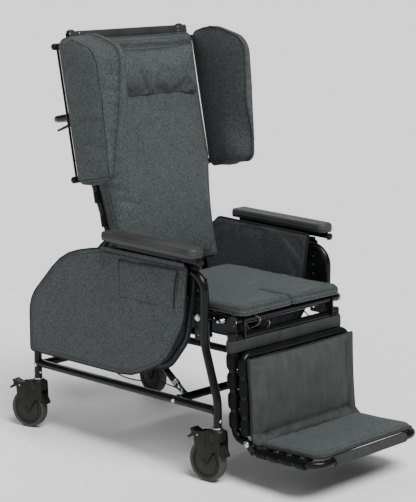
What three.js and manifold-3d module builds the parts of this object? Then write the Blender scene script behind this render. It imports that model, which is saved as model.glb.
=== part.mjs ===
// Tilt in space wheelchair: a tubular base on four braked casters, a seat that tilts between the side frames,
// a reclining back with wing cushions, an elevating legrest and a folding footrest.
// Millimetres. +Z is up, the front is -Y and the user's right hand is on the -X side.
import * as THREE from "three";
import { mergeVertices } from "three/addons/utils/BufferGeometryUtils.js";
import Module from "manifold-3d";

const wasm = await Module();
wasm.setup();

// General values
const degree = Math.PI / 180;
const seatedGap = 0.3;
const overrun = 2;
const weldOverlap = 1.5;
const mergeDistance = 0.0001;
const tubeSides = 10;
const innerTubeSides = 8;
const rodSides = 8;
const bendStep = 20 * degree;
const cornerStep = 30 * degree;

// Base frame
const frameTubeRadius = 12.7;
const innerTubeReach = frameTubeRadius * Math.cos(Math.PI / innerTubeSides);
const halfTrack = 276;
const rearLegY = 368;
const frontLegY = -439;
const kneeY = -387;
const frameBottomZ = 171;
const frontLegKinkZ = 250;
const frontLegTopKinkZ = 410;
const armRunZ = 622;
const frontBendRadius = 58;
const kinkBendRadius = 110;
const rearShoulderY = 205;
const rearShoulderZ = 583;
const rearLegTopZ = 432;
const armRunEndY = 40;
const rearLegBendRadius = 120;
const shoulderBendRadius = 250;
const armRunBendRadius = 400;
const lowerRailZ = 220;
const rearCrossbarZ = 214;
const strutCrossbarY = -266;

// Pivot plates of the tilting seat
const tiltPivotY = -346;
const tiltPivotZ = 484;
const pivotPlateInset = 16.5;
const pivotPlateInnerX = halfTrack - pivotPlateInset;
const pivotPlateThickness = 5;
const pivotPlateRearY = -334;
const pivotPlateBottomZ = 416;
const pivotPlateTopZ = 606;
const pivotHolePitch = 27;
const pivotHolesBelow = 2;
const pivotHolesAbove = 4;
const plateHoleRadius = 3.6;
const pivotBoltRadius = 6;
const pivotBoltHeadRadius = 8.5;
const pivotBoltHeadLength = 5;
const pivotBossRadius = 10;

// Casters
const wheelRadius = 63.5;
const tyreHalfWidth = 15;
const tyreSection = 11;
const tyreShoulder = 5;
const tyreBeadInset = 2;
const tyreSides = 20;
const hubBarrelRadius = 17;
const hubWebHalfWidth = 4;
const hubRimDepth = 7;
const hubRimWall = 3;
const hubSides = 14;
const casterTrail = 36;
const axleRadius = 5;
const axleZ = wheelRadius * Math.cos(Math.PI / tyreSides);
const wheelClearance = 5;
const forkHalfGap = 16.5;
const forkCheekThickness = 3.5;
const forkCrownRadius = 24;
const forkCrownBottomZ = 133;
const forkCrownTopZ = 166;
const forkFrontInset = 2;
const forkShoulderDrop = 6;
const forkSkirtDrop = 16;
const forkHornReach = 14;
const forkShoulderRadius = 8;
const forkSkirtRadius = 18;
const forkHornRadius = 14;
const forkBackRadius = 20;
const forkMouthDrop = 30;
const crownSpaceReach = 9;
const crownSpaceGap = 1;
const casterRingRadius = 15;
const stemRadius = 8;
const stemLength = 60;
const pedalPivotReach = 62;
const pedalPivotZ = 140;
const pedalPinRadius = 3;
const pedalHalfWidth = 15.5;
const pedalReach = 104;
const pedalThickness = 5;
const pedalBossReach = 8;
const pedalHeelReach = 12;
const pedalHeelRise = 4;
const pedalSoleReach = 18;
const pedalSoleDrop = 1;
const pedalToeDrop = 13;
const pedalToeRise = 6;
const pedalToeOverhang = 2;
const pedalTipRadius = 3;
const pedalCrookReach = 24;
const pedalCrookRise = 6;
const pedalCrookRadius = 10;
const pedalTipSetback = 8;
const pedalTipRise = 12;
const pedalTipWidth = 2;
const pedalTipHeight = 5;
const frontRightYaw = 4 * degree;
const frontLeftYaw = -3 * degree;
const rearRightYaw = 15 * degree;
const rearLeftYaw = -6 * degree;

// Side panels
const outerPanelThickness = 6;
const panelHemReach = 16;
const panelTopDrop = 2;
const panelFrontTopY = -333;
const panelCheekY = -317;
const panelCheekZ = 467;
const panelShinY = -240;
const panelShinZ = 332;
const panelHeelY = -90;
const panelBottomZ = 262;
const panelFrontRadius = 8;
const panelCheekRadius = 120;
const panelShinRadius = 160;
const panelHeelRadius = 260;
const panelRearRadius = 14;
const panelRearRise = 6;
const panelShoulderReach = 12;
const panelShoulderRise = 26;
const panelEdgeInset = 2;
const panelFaceInset = 4;
const panelEdgeDepth = 1.5;
const pocketProud = 2.5;
const innerPanelThickness = 8;
const innerPanelFrontY = -334;
const innerPanelFrontTopZ = 655;
const innerPanelCheekY = -316;
const innerPanelCheekZ = 531;
const innerPanelShinY = -292;
const innerPanelShinZ = 400;
const innerPanelKneeY = -215;
const innerPanelKneeZ = 303;
const innerPanelHeelY = -100;
const innerPanelBottomZ = 280;
const innerPanelRearY = 150;
const innerPanelRearTopZ = 590;
const innerPanelCrestY = 60;
const innerPanelTopZ = 664;
const innerPanelFrontRadius = 10;
const innerPanelCheekRadius = 200;
const innerPanelShinRadius = 90;
const innerPanelHeelRadius = 120;
const innerPanelRearRadius = 30;
const innerPanelRearTopRadius = 40;
const innerPanelCrestRadius = 60;
const innerPanelEdgeInset = 3;
const innerPanelEdgeDepth = 2.5;

// Armrests
const armSlope = 1.3 * degree;
const armBarOutset = 15;
const armBarX = halfTrack + armBarOutset;
const armPadInnerReach = 32;
const armPadOuterReach = 33;
const armPadInnerX = armBarX - armPadInnerReach;
const armPadOuterX = armBarX + armPadOuterReach;
const armPadRearY = 12;
const armPadFrontY = -382;
const armPadTopZ = 707;
const armPadThickness = 29;
const armPadEdge = 5;
const armPadLowerInset = 1;
const armPadRearRadius = 9;
const armBarHalfWidth = 6;
const armBarHeight = 18;
const armRailSetback = 8;
const armRailRearSetback = 14;
const armPostInset = 22;
const armPostX = halfTrack - armPostInset;
const armPostThickness = 5;
const armPostHalfWidth = 11;
const armPostBottomZ = 540;
const armPostRearY = -24;
const armPostFrontY = -300;
const armGuideWall = 2.7;
const armGuideHeight = 30;
const innerPanelX = armPostX - armGuideWall - 2 * seatedGap - innerPanelThickness;
const armKnobRadius = 11.5;
const armKnobLength = 15;
const armKnobShankRadius = 3.5;

// Seat
const seatRailInset = 54;
const seatRailX = halfTrack - seatRailInset;
const seatRailZ = 485;
const seatFrontTubeY = -460;
const seatFrontTubeOverhang = 13;
const seatFrontTubeHalfLength = seatRailX + seatFrontTubeOverhang;
const seatRailEndY = 104;
const seatMiddleTubeY = -285;
const seatRearTubeY = -25;
const seatCrossTubeRadius = 10.7;
const strapThickness = 3;
const seatStrapWidth = 46;
const seatStrapCount = 5;
const seatStrapFrontGap = 60;
const seatFirstStrapY = seatFrontTubeY + seatStrapFrontGap;
const seatStrapRearGap = 71;
const seatStrapPitch = (seatRearTubeY - seatStrapRearGap - seatFirstStrapY) / (seatStrapCount - 1);
const seatCushionOverhang = 1;
const seatCushionHalfWidth = seatRailX + seatCushionOverhang;
const seatCushionFrontY = -490;
const seatCushionRearY = -10;
const seatCushionThickness = 31;
const seatCushionCrown = 7;
const seatCushionFrontRadius = 26;
const seatCushionRearRadius = 22;
const seatCushionDrawIn = 5;
const seatCushionEdge = 8;
const seatSlitLength = 130;
const seatSlitHalfWidth = 4;

// Back
const reclineRest = 11.5 * degree;
const backPivotY = 85;
const backPivotZ = 481;
const backTubeY = -20;
const backTubeOutset = 15;
const backUpperTubeX = seatRailX + backTubeOutset;
const backTubeInset = 28;
const backLowerTubeX = seatRailX - backTubeInset;
const backTubeTopZ = 826;
const backTubeBottomZ = -50;
const backFlareBottomZ = 165;
const backFlareTopZ = 400;
const backPivotPinRadius = 6;
const backStrapWidth = 44;
const backStrapHeights = [82, 158, 234, 310, 428, 508, 630, 706];
const headBarOverhang = 20;
const headBarHalfLength = backUpperTubeX + headBarOverhang;
const headBarCornerRadius = 5;
const headBarHeight = 28;
const headBarThickness = 4;
const headBarZ = 812;
const backCushionBottomZ = 58;
const backCushionTopZ = 796;
const backCushionLowerOverhang = 20;
const backCushionLowerHalfWidth = backLowerTubeX + backCushionLowerOverhang;
const backCushionUpperOverhang = 1;
const backCushionUpperHalfWidth = backUpperTubeX + backCushionUpperOverhang;
const backCushionFlareRise = 50;
const backCushionFlareDrop = 10;
const backCushionBottomRadius = 24;
const backCushionFlareRadius = 60;
const backCushionTopRadius = 26;
const backCushionEdge = 9;
const backCushionThickness = 46;
const backCushionCrown = 9;
const pillowBottomZ = 592;
const pillowTopZ = 756;
const pillowInset = 25;
const pillowHalfWidth = backUpperTubeX - pillowInset;
const pillowCornerRadius = 40;
const pillowDrawIn = 4;
const pillowEdge = 6;
const pillowThickness = 20;
const pillowCrown = 13;
const pillowSink = 1;
const pushBarRadius = 11;
const pushBarZ = 569;
const pushBarReachY = 150;
const pushBarInset = 12;
const pushBarHalfWidth = backUpperTubeX - pushBarInset;
const pushBarBendRadius = 55;

// Release levers under the push bar
const leverPivotY = 36;
const leverPivotDrop = 22;
const leverReach = 84;
const leverHalfWidth = 4;
const leverHeight = 12;
const leverPinRadius = 3;
const leverLugThickness = 3;
const leverLugHalfWidth = 8;

// Wings
const wingClearance = 9;
const wingInnerX = backUpperTubeX + wingClearance;
const wingThickness = 86;
const wingOuterX = wingInnerX + wingThickness;
const wingRearY = -45;
const wingBottomZ = 352;
const wingTopZ = 806;
const wingTopDrop = 8;
const wingCrestY = -150;
const wingFrontY = -283;
const wingFrontTopZ = 740;
const wingWaistY = -258;
const wingWaistZ = 590;
const wingFootY = -204;
const wingRearBottomRadius = 26;
const wingRearTopRadius = 30;
const wingCrestRadius = 160;
const wingFrontRadius = 64;
const wingWaistRadius = 300;
const wingFootRadius = 34;
const wingSoftEdge = 15;
const wingFaceDepth = 2;
const wingBracketRadius = 11;
const wingBracketY = -6;
const wingRodReach = 50;
const wingRodX = backUpperTubeX + wingRodReach;
const wingRodRadius = 4;
const wingBracketOverhang = 13;
const wingBracketEndX = wingRodX + wingBracketOverhang;
const wingLowerBracketZ = 370;
const wingUpperBracketZ = 784;

// Legrest
const legLean = 3.7 * degree;
const hangerInset = 22;
const hangerX = seatRailX - hangerInset;
const hangerThickness = 5;
const legColumnOutset = 14;
const legColumnX = seatRailX + legColumnOutset;
const legColumnY = 7;
const legColumnTopZ = -38;
const legCrossTubeZ = -52;
const legColumnFootZ = -352;
const legColumnFootReach = -34;
const legBendRadius = 36;
const legStrapWidth = 47;
const legStrapCount = 4;
const legFirstStrapZ = -117;
const legStrapFootGap = 58;
const legStrapPitch = (legFirstStrapZ - legColumnFootZ - legStrapFootGap) / (legStrapCount - 1);
const crossStrapHeight = 34;
const crossStrapThickness = 3.5;
const crossStrapZ = -74;
const crossStrapOverhang = 3;
const crossStrapHalfLength = legColumnX + crossStrapOverhang;
const crossStrapCornerRadius = 5;
const calfColumnInset = 1;
const calfColumnX = legColumnX - calfColumnInset;
const calfColumnY = -33.5;
const calfTopZ = -100;
const calfBottomZ = -330;
const calfBendRadius = 30;
const calfStrapCount = 4;
const calfFirstStrapZ = -134;
const calfStrapFootGap = 19;
const calfStrapPitch = (calfFirstStrapZ - calfBottomZ - calfStrapFootGap) / (calfStrapCount - 1);
const calfPadOverhang = 2;
const calfPadHalfWidth = legColumnX + calfPadOverhang;
const calfPadCornerRadius = 14;
const calfPadDrawIn = 4;
const calfPadEdge = 5;
const calfPadTopZ = -106;
const calfPadBottomZ = -346;
const calfPadThickness = 13;
const calfPadCrown = 5;

// Footrest
const footPivotY = -530;
const footPivotZ = 131;
const footPitch = 2.1 * degree;
const footTubeRadius = 11;
const footTubeZ = -23;
const footRearY = 14;
const footFrontY = -258;
const footRearInset = 3;
const footRearX = legColumnX - footRearInset;
const footFrontOutset = 7;
const footFrontX = legColumnX + footFrontOutset;
const footBendRadius = 58;
const footStrapCount = 4;
const footFirstStrapY = -52;
const footStrapFrontGap = 56;
const footStrapPitch = (footFirstStrapY - footFrontY - footStrapFrontGap) / (footStrapCount - 1);
const footStrapWidth = 38;
const footPadInset = 14;
const footPadHalfWidth = legColumnX - footPadInset;
const footPadFrontRadius = 40;
const footPadRearRadius = 24;
const footPadDrawIn = 3;
const footPadEdge = 6;
const footPadRearY = -34;
const footPadFrontY = -236;
const footPadThickness = 18;
const footPadCrown = 5;
const footSleeveRadius = 15;
const footSleeveSetback = 78;
const footSleeveHalfLength = footFrontX - footSleeveSetback;
const footLugOutset = 2;
const footLugX = legColumnX + footLugOutset;
const footLugThickness = 5;
const footEarClearance = 3.1;
const footEarX = footLugX + footLugThickness / 2 + footEarClearance;
const footEarThickness = 5;
const footBoltRadius = 4.5;
const footBoltHeadRadius = 8;
const footBoltHeadLength = 4;

// Struts
const strutOffset = 4;
const strutX = seatRailX + strutOffset;
const tiltStrutLowerY = -245;
const tiltStrutLowerZ = 232;
const tiltStrutUpperY = 40;
const tiltStrutUpperZ = 450;
const strutCylinderRadius = 10.5;
const strutRodRadius = 5;
const strutEyeReach = 22;
const tiltCylinderLength = 182;
const strutPinRadius = 4;
const strutLugThickness = 5;
const strutCheekThickness = 3;
const strutCheekHalfWidth = 8;
const openPivotClearance = 4;
const reclineStrutInset = 44;
const reclineStrutX = reclineStrutInset - backLowerTubeX;
const reclineStrutFrontY = -285;
const reclineStrutFrontZ = 400;
const reclineLeverY = 5;
const reclineLeverZ = -76;
const reclineCylinderLength = 230;
const rodInsertion = 24;

// Middle of the footprint, which is the model's origin on the floor
const footprintMiddleY = -164;

// Colours, roughness and metalness
const finish = (color, roughness, metalness) => ({ color, roughness, metalness });
const powderCoat = finish(0x17181a, 0.38, 0.45);
const casterPlastic = finish(0x1d1e19, 0.55, 0);
const tyreRubber = finish(0x4a4b48, 0.75, 0);
const wheelPlastic = finish(0x2c2d28, 0.5, 0);
const pedalPlastic = finish(0x141516, 0.5, 0);
const zincPlate = finish(0xb9bcbd, 0.3, 0.9);
const upholstery = finish(0x4a5254, 0.95, 0);
const calfCloth = finish(0x3c3e40, 0.9, 0);
const armFoam = finish(0x3a3b3c, 0.6, 0);
const webbing = finish(0x202123, 0.8, 0);
const greyStrap = finish(0x4b4c4d, 0.85, 0);
const gasCylinder = finish(0x101112, 0.3, 0.3);

// Radius of a many-sided bore in which a round pin of a radius turns freely.
const boreFor = (pinRadius, sides) => (pinRadius + seatedGap) / Math.cos(Math.PI / sides);

// Solid helpers

// A geometry of closed faces as a solid that can be joined and cut.
function asSolid(geometry) {
  const bare = geometry.clone();
  bare.deleteAttribute("normal");
  bare.deleteAttribute("uv");
  const merged = mergeVertices(bare, mergeDistance);
  const triVerts = new Uint32Array(merged.index.array);
  const vertProperties = merged.attributes.position.array;
  return new wasm.Manifold(new wasm.Mesh({ numProp: 3, vertProperties, triVerts }));
}

// A solid as a geometry with flat faces.
function asGeometry(solid) {
  const { vertProperties, triVerts } = solid.getMesh();
  const geometry = new THREE.BufferGeometry();
  geometry.setAttribute("position", new THREE.BufferAttribute(new Float32Array(vertProperties), 3));
  geometry.setIndex(new THREE.BufferAttribute(new Uint32Array(triVerts), 1));
  const flat = geometry.toNonIndexed();
  flat.computeVertexNormals();
  return flat;
}

// Several geometries joined into one.
function join(...pieces) {
  return asGeometry(pieces.map(asSolid).reduce((whole, piece) => whole.add(piece)));
}

// A geometry less several cutting geometries.
function cut(piece, ...tools) {
  return asGeometry(tools.map(asSolid).reduce((whole, tool) => whole.subtract(tool), asSolid(piece)));
}

// The same faces seen from their other side.
function turnedInsideOut(geometry) {
  const flat = geometry.index ? geometry.toNonIndexed() : geometry;
  const places = flat.attributes.position.array.slice();
  for (let corner = 0; corner < places.length; corner += 9) {
    for (let step = 0; step < 3; step += 1) {
      [places[corner + step], places[corner + 3 + step]] = [places[corner + 3 + step], places[corner + step]];
    }
  }
  const turned = new THREE.BufferGeometry();
  turned.setAttribute("position", new THREE.BufferAttribute(places, 3));
  turned.computeVertexNormals();
  return turned;
}

// A closed geometry whose faces point out, whichever way its profile ran.
function facingOut(geometry) {
  const flat = geometry.index ? geometry.toNonIndexed() : geometry;
  const place = flat.attributes.position;
  const [a, b, c] = [new THREE.Vector3(), new THREE.Vector3(), new THREE.Vector3()];
  let volume = 0;
  for (let corner = 0; corner < place.count; corner += 3) {
    a.fromBufferAttribute(place, corner);
    b.fromBufferAttribute(place, corner + 1);
    c.fromBufferAttribute(place, corner + 2);
    volume += a.dot(b.cross(c));
  }
  return volume < 0 ? turnedInsideOut(flat) : flat;
}

// The left-hand copy of a right-hand piece.
function mirrored(geometry) {
  return turnedInsideOut(geometry.clone().applyMatrix4(new THREE.Matrix4().makeScale(-1, 1, 1)));
}

// A ring of corners of a regular polygon.
function circle(radius, sides, centreU = 0, centreV = 0) {
  return Array.from({ length: sides }, (_, index) => {
    const angle = (2 * Math.PI * (index + 0.5)) / sides;
    return new THREE.Vector2(centreU + radius * Math.cos(angle), centreV + radius * Math.sin(angle));
  });
}

// An outline through [u, v, radius] corners, each corner rounded by its own radius. Edges bow in by drawIn.
function rounded(corners, edgeSteps = 1, drawIn = 0) {
  const points = [];
  const count = corners.length;
  const fillets = corners.map(([u, v, radius = 0], index) => {
    const here = new THREE.Vector2(u, v);
    const before = new THREE.Vector2(...corners[(index + count - 1) % count].slice(0, 2)).sub(here).normalize();
    const after = new THREE.Vector2(...corners[(index + 1) % count].slice(0, 2)).sub(here).normalize();
    const opening = Math.acos(THREE.MathUtils.clamp(before.dot(after), -1, 1));
    const reach = radius / Math.tan(opening / 2);
    const start = here.clone().addScaledVector(before, reach);
    const end = here.clone().addScaledVector(after, reach);
    const middle = before.clone().add(after).normalize();
    const centre = here.clone().addScaledVector(middle, radius / Math.sin(opening / 2));
    return { here, start, end, centre, radius, turn: Math.PI - opening };
  });
  fillets.forEach(({ here, start, end, centre, radius, turn }, index) => {
    if (radius === 0) {
      points.push(here);
    } else {
      const steps = Math.max(1, Math.round(turn / cornerStep));
      const from = start.clone().sub(centre);
      const sweep = Math.sign(from.cross(end.clone().sub(centre))) * turn;
      for (let step = 0; step <= steps; step += 1) {
        points.push(from.clone().rotateAround(new THREE.Vector2(), (sweep * step) / steps).add(centre));
      }
    }
    const next = fillets[(index + 1) % count].start;
    const leave = radius === 0 ? here : end;
    const inward = next.clone().sub(leave).normalize().rotateAround(new THREE.Vector2(), Math.PI / 2);
    for (let step = 1; step < edgeSteps; step += 1) {
      const share = step / edgeSteps;
      const point = leave.clone().lerp(next, share);
      points.push(point.addScaledVector(inward, drawIn * Math.sin(Math.PI * share)));
    }
  });
  return points;
}

// The turn that lays a drawing's plane square to an axis: its u and v become y and z, x and z, or x and y.
// What stands up from the drawing points to +x, to the front or up.
function layAlong(axis, from, to) {
  const turn = new THREE.Matrix4();
  const [x, y, z] = [new THREE.Vector3(1, 0, 0), new THREE.Vector3(0, 1, 0), new THREE.Vector3(0, 0, 1)];
  if (axis === "x") {
    return turn.makeBasis(y, z, x).setPosition(from, 0, 0);
  }
  if (axis === "y") {
    return turn.makeBasis(x, z, y.negate()).setPosition(0, to, 0);
  }
  return turn.makeBasis(x, y, z).setPosition(0, 0, from);
}

// A flat outline, with holes, given depth along an axis.
function plate(outline, axis, from, to, holes = []) {
  const shape = new THREE.Shape(outline);
  holes.forEach((hole) => shape.holes.push(new THREE.Path(hole)));
  const solid = new THREE.ExtrudeGeometry(shape, { depth: to - from, bevelEnabled: false });
  return solid.applyMatrix4(layAlong(axis, from, to));
}

// A round bar along an axis, its centre at the other two places.
function bar(axis, from, to, centreU, centreV, radius, sides = tubeSides) {
  return plate(circle(radius, sides, centreU, centreV), axis, from, to);
}

// A rectangular block between two corners.
function block(lowX, highX, lowY, highY, lowZ, highZ) {
  const solid = new THREE.BoxGeometry(highX - lowX, highY - lowY, highZ - lowZ);
  return solid.translate((lowX + highX) / 2, (lowY + highY) / 2, (lowZ + highZ) / 2);
}

// A path of straight runs and round bends, with a place and a heading at each end of a run and along each bend.
class BentPath extends THREE.Curve {
  constructor(corners, bendRadii) {
    super();
    const headings = corners.slice(1).map((corner, index) => corner.clone().sub(corners[index]).normalize());
    this.stations = [{ place: corners[0], heading: headings[0] }];
    for (let index = 1; index < corners.length - 1; index += 1) {
      const [arrive, leave] = [headings[index - 1], headings[index]];
      const turn = arrive.angleTo(leave);
      const radius = bendRadii[index - 1];
      const inward = leave.clone().addScaledVector(arrive, -Math.cos(turn)).normalize();
      const start = corners[index].clone().addScaledVector(arrive, -radius * Math.tan(turn / 2));
      const steps = Math.max(1, Math.round(turn / bendStep));
      for (let step = 0; step <= steps; step += 1) {
        const angle = (turn * step) / steps;
        const place = start.clone().addScaledVector(arrive, radius * Math.sin(angle));
        place.addScaledVector(inward, radius * (1 - Math.cos(angle)));
        const heading = arrive.clone().multiplyScalar(Math.cos(angle)).addScaledVector(inward, Math.sin(angle));
        this.stations.push({ place, heading });
      }
    }
    this.stations.push({ place: corners.at(-1), heading: headings.at(-1) });
  }
  station(share) {
    return this.stations[Math.round(share * (this.stations.length - 1))];
  }
  getPointAt(share) {
    return this.station(share).place.clone();
  }
  getTangentAt(share) {
    return this.station(share).heading.clone();
  }
}

// A round tube, filled, along a path of [x, y, z] corners.
function tube(corners, bendRadii, radius = frameTubeRadius, sides = tubeSides) {
  const path = new BentPath(corners.map((corner) => new THREE.Vector3(...corner)), bendRadii);
  const section = new THREE.Shape(circle(radius, sides));
  const steps = path.stations.length - 1;
  return facingOut(new THREE.ExtrudeGeometry(section, { steps, extrudePath: path, bevelEnabled: false }));
}

// A profile of [radius, height] turned about an upright axis, its height along x, y or z.
function turned(profile, axis, sides) {
  const points = profile.map(([radius, height]) => new THREE.Vector2(radius, height));
  const solid = new THREE.LatheGeometry(points, sides);
  solid.rotateY(Math.PI / sides);
  if (axis === "x") {
    solid.rotateZ(-Math.PI / 2);
  }
  if (axis === "z") {
    solid.rotateX(Math.PI / 2);
  }
  return facingOut(solid);
}

// A soft closed form: an outline stacked in rings. Each ring is drawn in by a distance or held to a share of the
// outline, at a height along the axis, and the first and last close on the middle.
function stacked(outline, rings, axis) {
  const middle = outline.reduce((sum, point) => sum.add(point), new THREE.Vector2()).divideScalar(outline.length);
  const places = [middle.x, middle.y, rings[0].height];
  rings.forEach(({ inset = 0, share = 1, height }) => {
    outline.forEach((point) => {
      const reach = point.clone().sub(middle);
      reach.setLength(reach.length() * share - inset).add(middle);
      places.push(reach.x, reach.y, height);
    });
  });
  places.push(middle.x, middle.y, rings.at(-1).crown ?? rings.at(-1).height);
  const count = outline.length;
  const faces = [];
  for (let index = 0; index < count; index += 1) {
    const next = (index + 1) % count;
    faces.push(0, 1 + next, 1 + index);
    for (let ring = 0; ring < rings.length - 1; ring += 1) {
      const [low, high] = [1 + ring * count, 1 + (ring + 1) * count];
      faces.push(low + index, low + next, high + next, low + index, high + next, high + index);
    }
    const last = 1 + (rings.length - 1) * count;
    faces.push(last + index, last + next, last + count);
  }
  const geometry = new THREE.BufferGeometry();
  geometry.setAttribute("position", new THREE.BufferAttribute(new Float32Array(places), 3));
  geometry.setIndex(faces);
  const flat = geometry.toNonIndexed();
  flat.applyMatrix4(layAlong(axis, 0, 0));
  flat.computeVertexNormals();
  return facingOut(flat);
}

// A cushion on a flat underside at low, its top edge at high, swelling by crown in the middle.
// A negative thickness makes it face the other way along the axis.
function cushion(outline, axis, low, high, crown, edgeRadius) {
  const way = Math.sign(high - low);
  const edgeShare = 0.3;
  return stacked(
    outline,
    [
      { inset: edgeRadius, height: low },
      { inset: edgeRadius * edgeShare, height: low + way * edgeRadius * (1 - edgeShare) },
      { height: (low + high) / 2 },
      { inset: edgeRadius * edgeShare, height: high - way * edgeRadius * (1 - edgeShare) },
      { inset: edgeRadius, height: high },
      { inset: edgeRadius, share: 0.84, height: high + way * crown * 0.55 },
      { share: 0.45, height: high + way * crown * 0.9, crown: high + way * crown },
    ],
    axis,
  );
}

const chair = new THREE.Group();
chair.position.y = -footprintMiddleY;

// Adds a named piece to a group.
function add(group, name, geometry, look) {
  const piece = new THREE.Mesh(geometry, new THREE.MeshStandardMaterial(look));
  piece.name = name;
  group.add(piece);
}

// Adds a piece drawn on the right-hand side and its mirror image on the left.
function addPair(group, name, geometry, look) {
  add(group, name + "_right", geometry, look);
  add(group, name + "_left", mirrored(geometry), look);
}

// Base frame

// Corners of the hoop tube of a side frame, as places along the chair and heights.
const hoopCorners = [
  [frontLegY, frameBottomZ],
  [frontLegY, frontLegKinkZ],
  [kneeY, frontLegTopKinkZ],
  [kneeY, armRunZ],
  [armRunEndY, armRunZ],
  [rearShoulderY, rearShoulderZ],
  [rearLegY, rearLegTopZ],
  [rearLegY, frameBottomZ],
];
const hoopBends = [
  kinkBendRadius,
  kinkBendRadius,
  frontBendRadius,
  armRunBendRadius,
  shoulderBendRadius,
  rearLegBendRadius,
];

function hoopTube(radius = frameTubeRadius) {
  return tube(hoopCorners.map(([y, z]) => [-halfTrack, y, z]), hoopBends, radius);
}

function armGuide(y) {
  const outer = block(
    -halfTrack + frameTubeRadius - weldOverlap - armPostThickness,
    -halfTrack + frameTubeRadius + weldOverlap,
    y - armPostHalfWidth,
    y + armPostHalfWidth,
    armRunZ - armGuideHeight / 2,
    armRunZ + armGuideHeight / 2,
  );
  const housing = block(
    -armPostX - armPostThickness - seatedGap - armGuideWall - weldOverlap,
    -armPostX + armGuideWall + seatedGap,
    y - armPostHalfWidth - armGuideWall - seatedGap,
    y + armPostHalfWidth + armGuideWall + seatedGap,
    armRunZ - armGuideHeight / 2,
    armRunZ + armGuideHeight / 2,
  );
  return join(outer, housing);
}

function armGuideSlot(y) {
  return block(
    -armPostX - armPostThickness - seatedGap,
    -armPostX + seatedGap,
    y - armPostHalfWidth - seatedGap,
    y + armPostHalfWidth + seatedGap,
    armRunZ - armGuideHeight,
    armRunZ + armGuideHeight,
  );
}

function pivotPlate() {
  const outline = rounded([
    [kneeY - frameTubeRadius / 2, pivotPlateBottomZ],
    [pivotPlateRearY, pivotPlateBottomZ, armPostThickness],
    [pivotPlateRearY, pivotPlateTopZ, frameTubeRadius],
    [kneeY + frameTubeRadius / 2, pivotPlateTopZ],
  ]);
  const holes = [];
  for (let index = -pivotHolesBelow; index <= pivotHolesAbove; index += 1) {
    const radius = index === 0 ? boreFor(pivotBoltRadius, tubeSides) : plateHoleRadius;
    const sides = index === 0 ? tubeSides : rodSides;
    holes.push(circle(radius, sides, tiltPivotY, tiltPivotZ + index * pivotHolePitch));
  }
  return plate(outline, "x", -pivotPlateInnerX - pivotPlateThickness, -pivotPlateInnerX, holes);
}

function sideFrame() {
  const lowerRail = bar("y", frontLegY, rearLegY, -halfTrack, lowerRailZ, frameTubeRadius);
  const body = join(hoopTube(), lowerRail, pivotPlate(), armGuide(armPostFrontY), armGuide(armPostRearY));
  const boreTop = frameBottomZ + stemLength + overrun;
  const boreRadius = boreFor(stemRadius, rodSides);
  const stemBores = [frontLegY, rearLegY].map((y) =>
    bar("z", frameBottomZ - overrun, boreTop, -halfTrack, y, boreRadius, rodSides),
  );
  return cut(body, ...stemBores, armGuideSlot(armPostFrontY), armGuideSlot(armPostRearY));
}

const base = new THREE.Group();
chair.add(base);
addPair(base, "side_frame", sideFrame(), powderCoat);

// A crossbar whose ends are coped to the tubes that it meets.
function rearCrossbar() {
  const tubeAcross = bar("x", -halfTrack, halfTrack, rearLegY, rearCrossbarZ, frameTubeRadius);
  const postSpace = frameTubeRadius + seatedGap;
  const rearRails = [-halfTrack, halfTrack].map((x) =>
    bar("y", rearLegY - halfTrack, rearLegY, x, lowerRailZ, postSpace),
  );
  const legs = [hoopTube(postSpace), mirrored(hoopTube(postSpace)), ...rearRails];
  const trims = [-1, 1].map((side) =>
    block(
      side > 0 ? halfTrack : -halfTrack - overrun,
      side > 0 ? halfTrack + overrun : -halfTrack,
      rearLegY - frameTubeRadius - overrun,
      rearLegY + frameTubeRadius + overrun,
      rearCrossbarZ - frameTubeRadius - overrun,
      rearCrossbarZ + frameTubeRadius + overrun,
    ),
  );
  return cut(tubeAcross, ...legs, ...trims);
}

// A lug plate with a pin hole, reaching from a tube's middle to a pin.
function lug(x, thickness, fromY, fromZ, pinY, pinZ, rootHalf, eyeRadius, holeRadius) {
  const along = new THREE.Vector2(pinY - fromY, pinZ - fromZ).normalize();
  const aside = new THREE.Vector2(-along.y, along.x);
  const corner = (centreY, centreZ, forward, sideways) => [
    centreY + along.x * forward + aside.x * sideways,
    centreZ + along.y * forward + aside.y * sideways,
  ];
  const eyeRound = eyeRadius * 0.8;
  const outline = rounded([
    corner(fromY, fromZ, 0, -rootHalf),
    [...corner(pinY, pinZ, eyeRadius, -eyeRadius), eyeRound],
    [...corner(pinY, pinZ, eyeRadius, eyeRadius), eyeRound],
    corner(fromY, fromZ, 0, rootHalf),
  ]);
  return plate(outline, "x", x - thickness / 2, x + thickness / 2, [circle(holeRadius, rodSides, pinY, pinZ)]);
}

const strutEyeRadius = strutCheekHalfWidth;

function strutCrossbar() {
  const tubeAcross = bar("x", -halfTrack, halfTrack, strutCrossbarY, lowerRailZ, frameTubeRadius);
  const rails = [-halfTrack, halfTrack].map((x) =>
    bar("y", strutCrossbarY - halfTrack, strutCrossbarY + halfTrack, x, lowerRailZ, frameTubeRadius + seatedGap),
  );
  const trimmed = cut(tubeAcross, ...rails, ...[-1, 1].map((side) =>
    block(
      side > 0 ? halfTrack : -halfTrack - overrun,
      side > 0 ? halfTrack + overrun : -halfTrack,
      strutCrossbarY - frameTubeRadius - overrun,
      strutCrossbarY + frameTubeRadius + overrun,
      lowerRailZ - frameTubeRadius - overrun,
      lowerRailZ + frameTubeRadius + overrun,
    ),
  ));
  const lugs = [-strutX, strutX].map((x) =>
    lug(
      x,
      strutLugThickness,
      strutCrossbarY,
      lowerRailZ,
      tiltStrutLowerY,
      tiltStrutLowerZ,
      frameTubeRadius,
      strutEyeRadius,
      boreFor(strutPinRadius, rodSides),
    ),
  );
  return join(trimmed, ...lugs);
}

add(base, "rear_crossbar", rearCrossbar(), powderCoat);
add(base, "strut_crossbar", strutCrossbar(), powderCoat);

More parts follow.
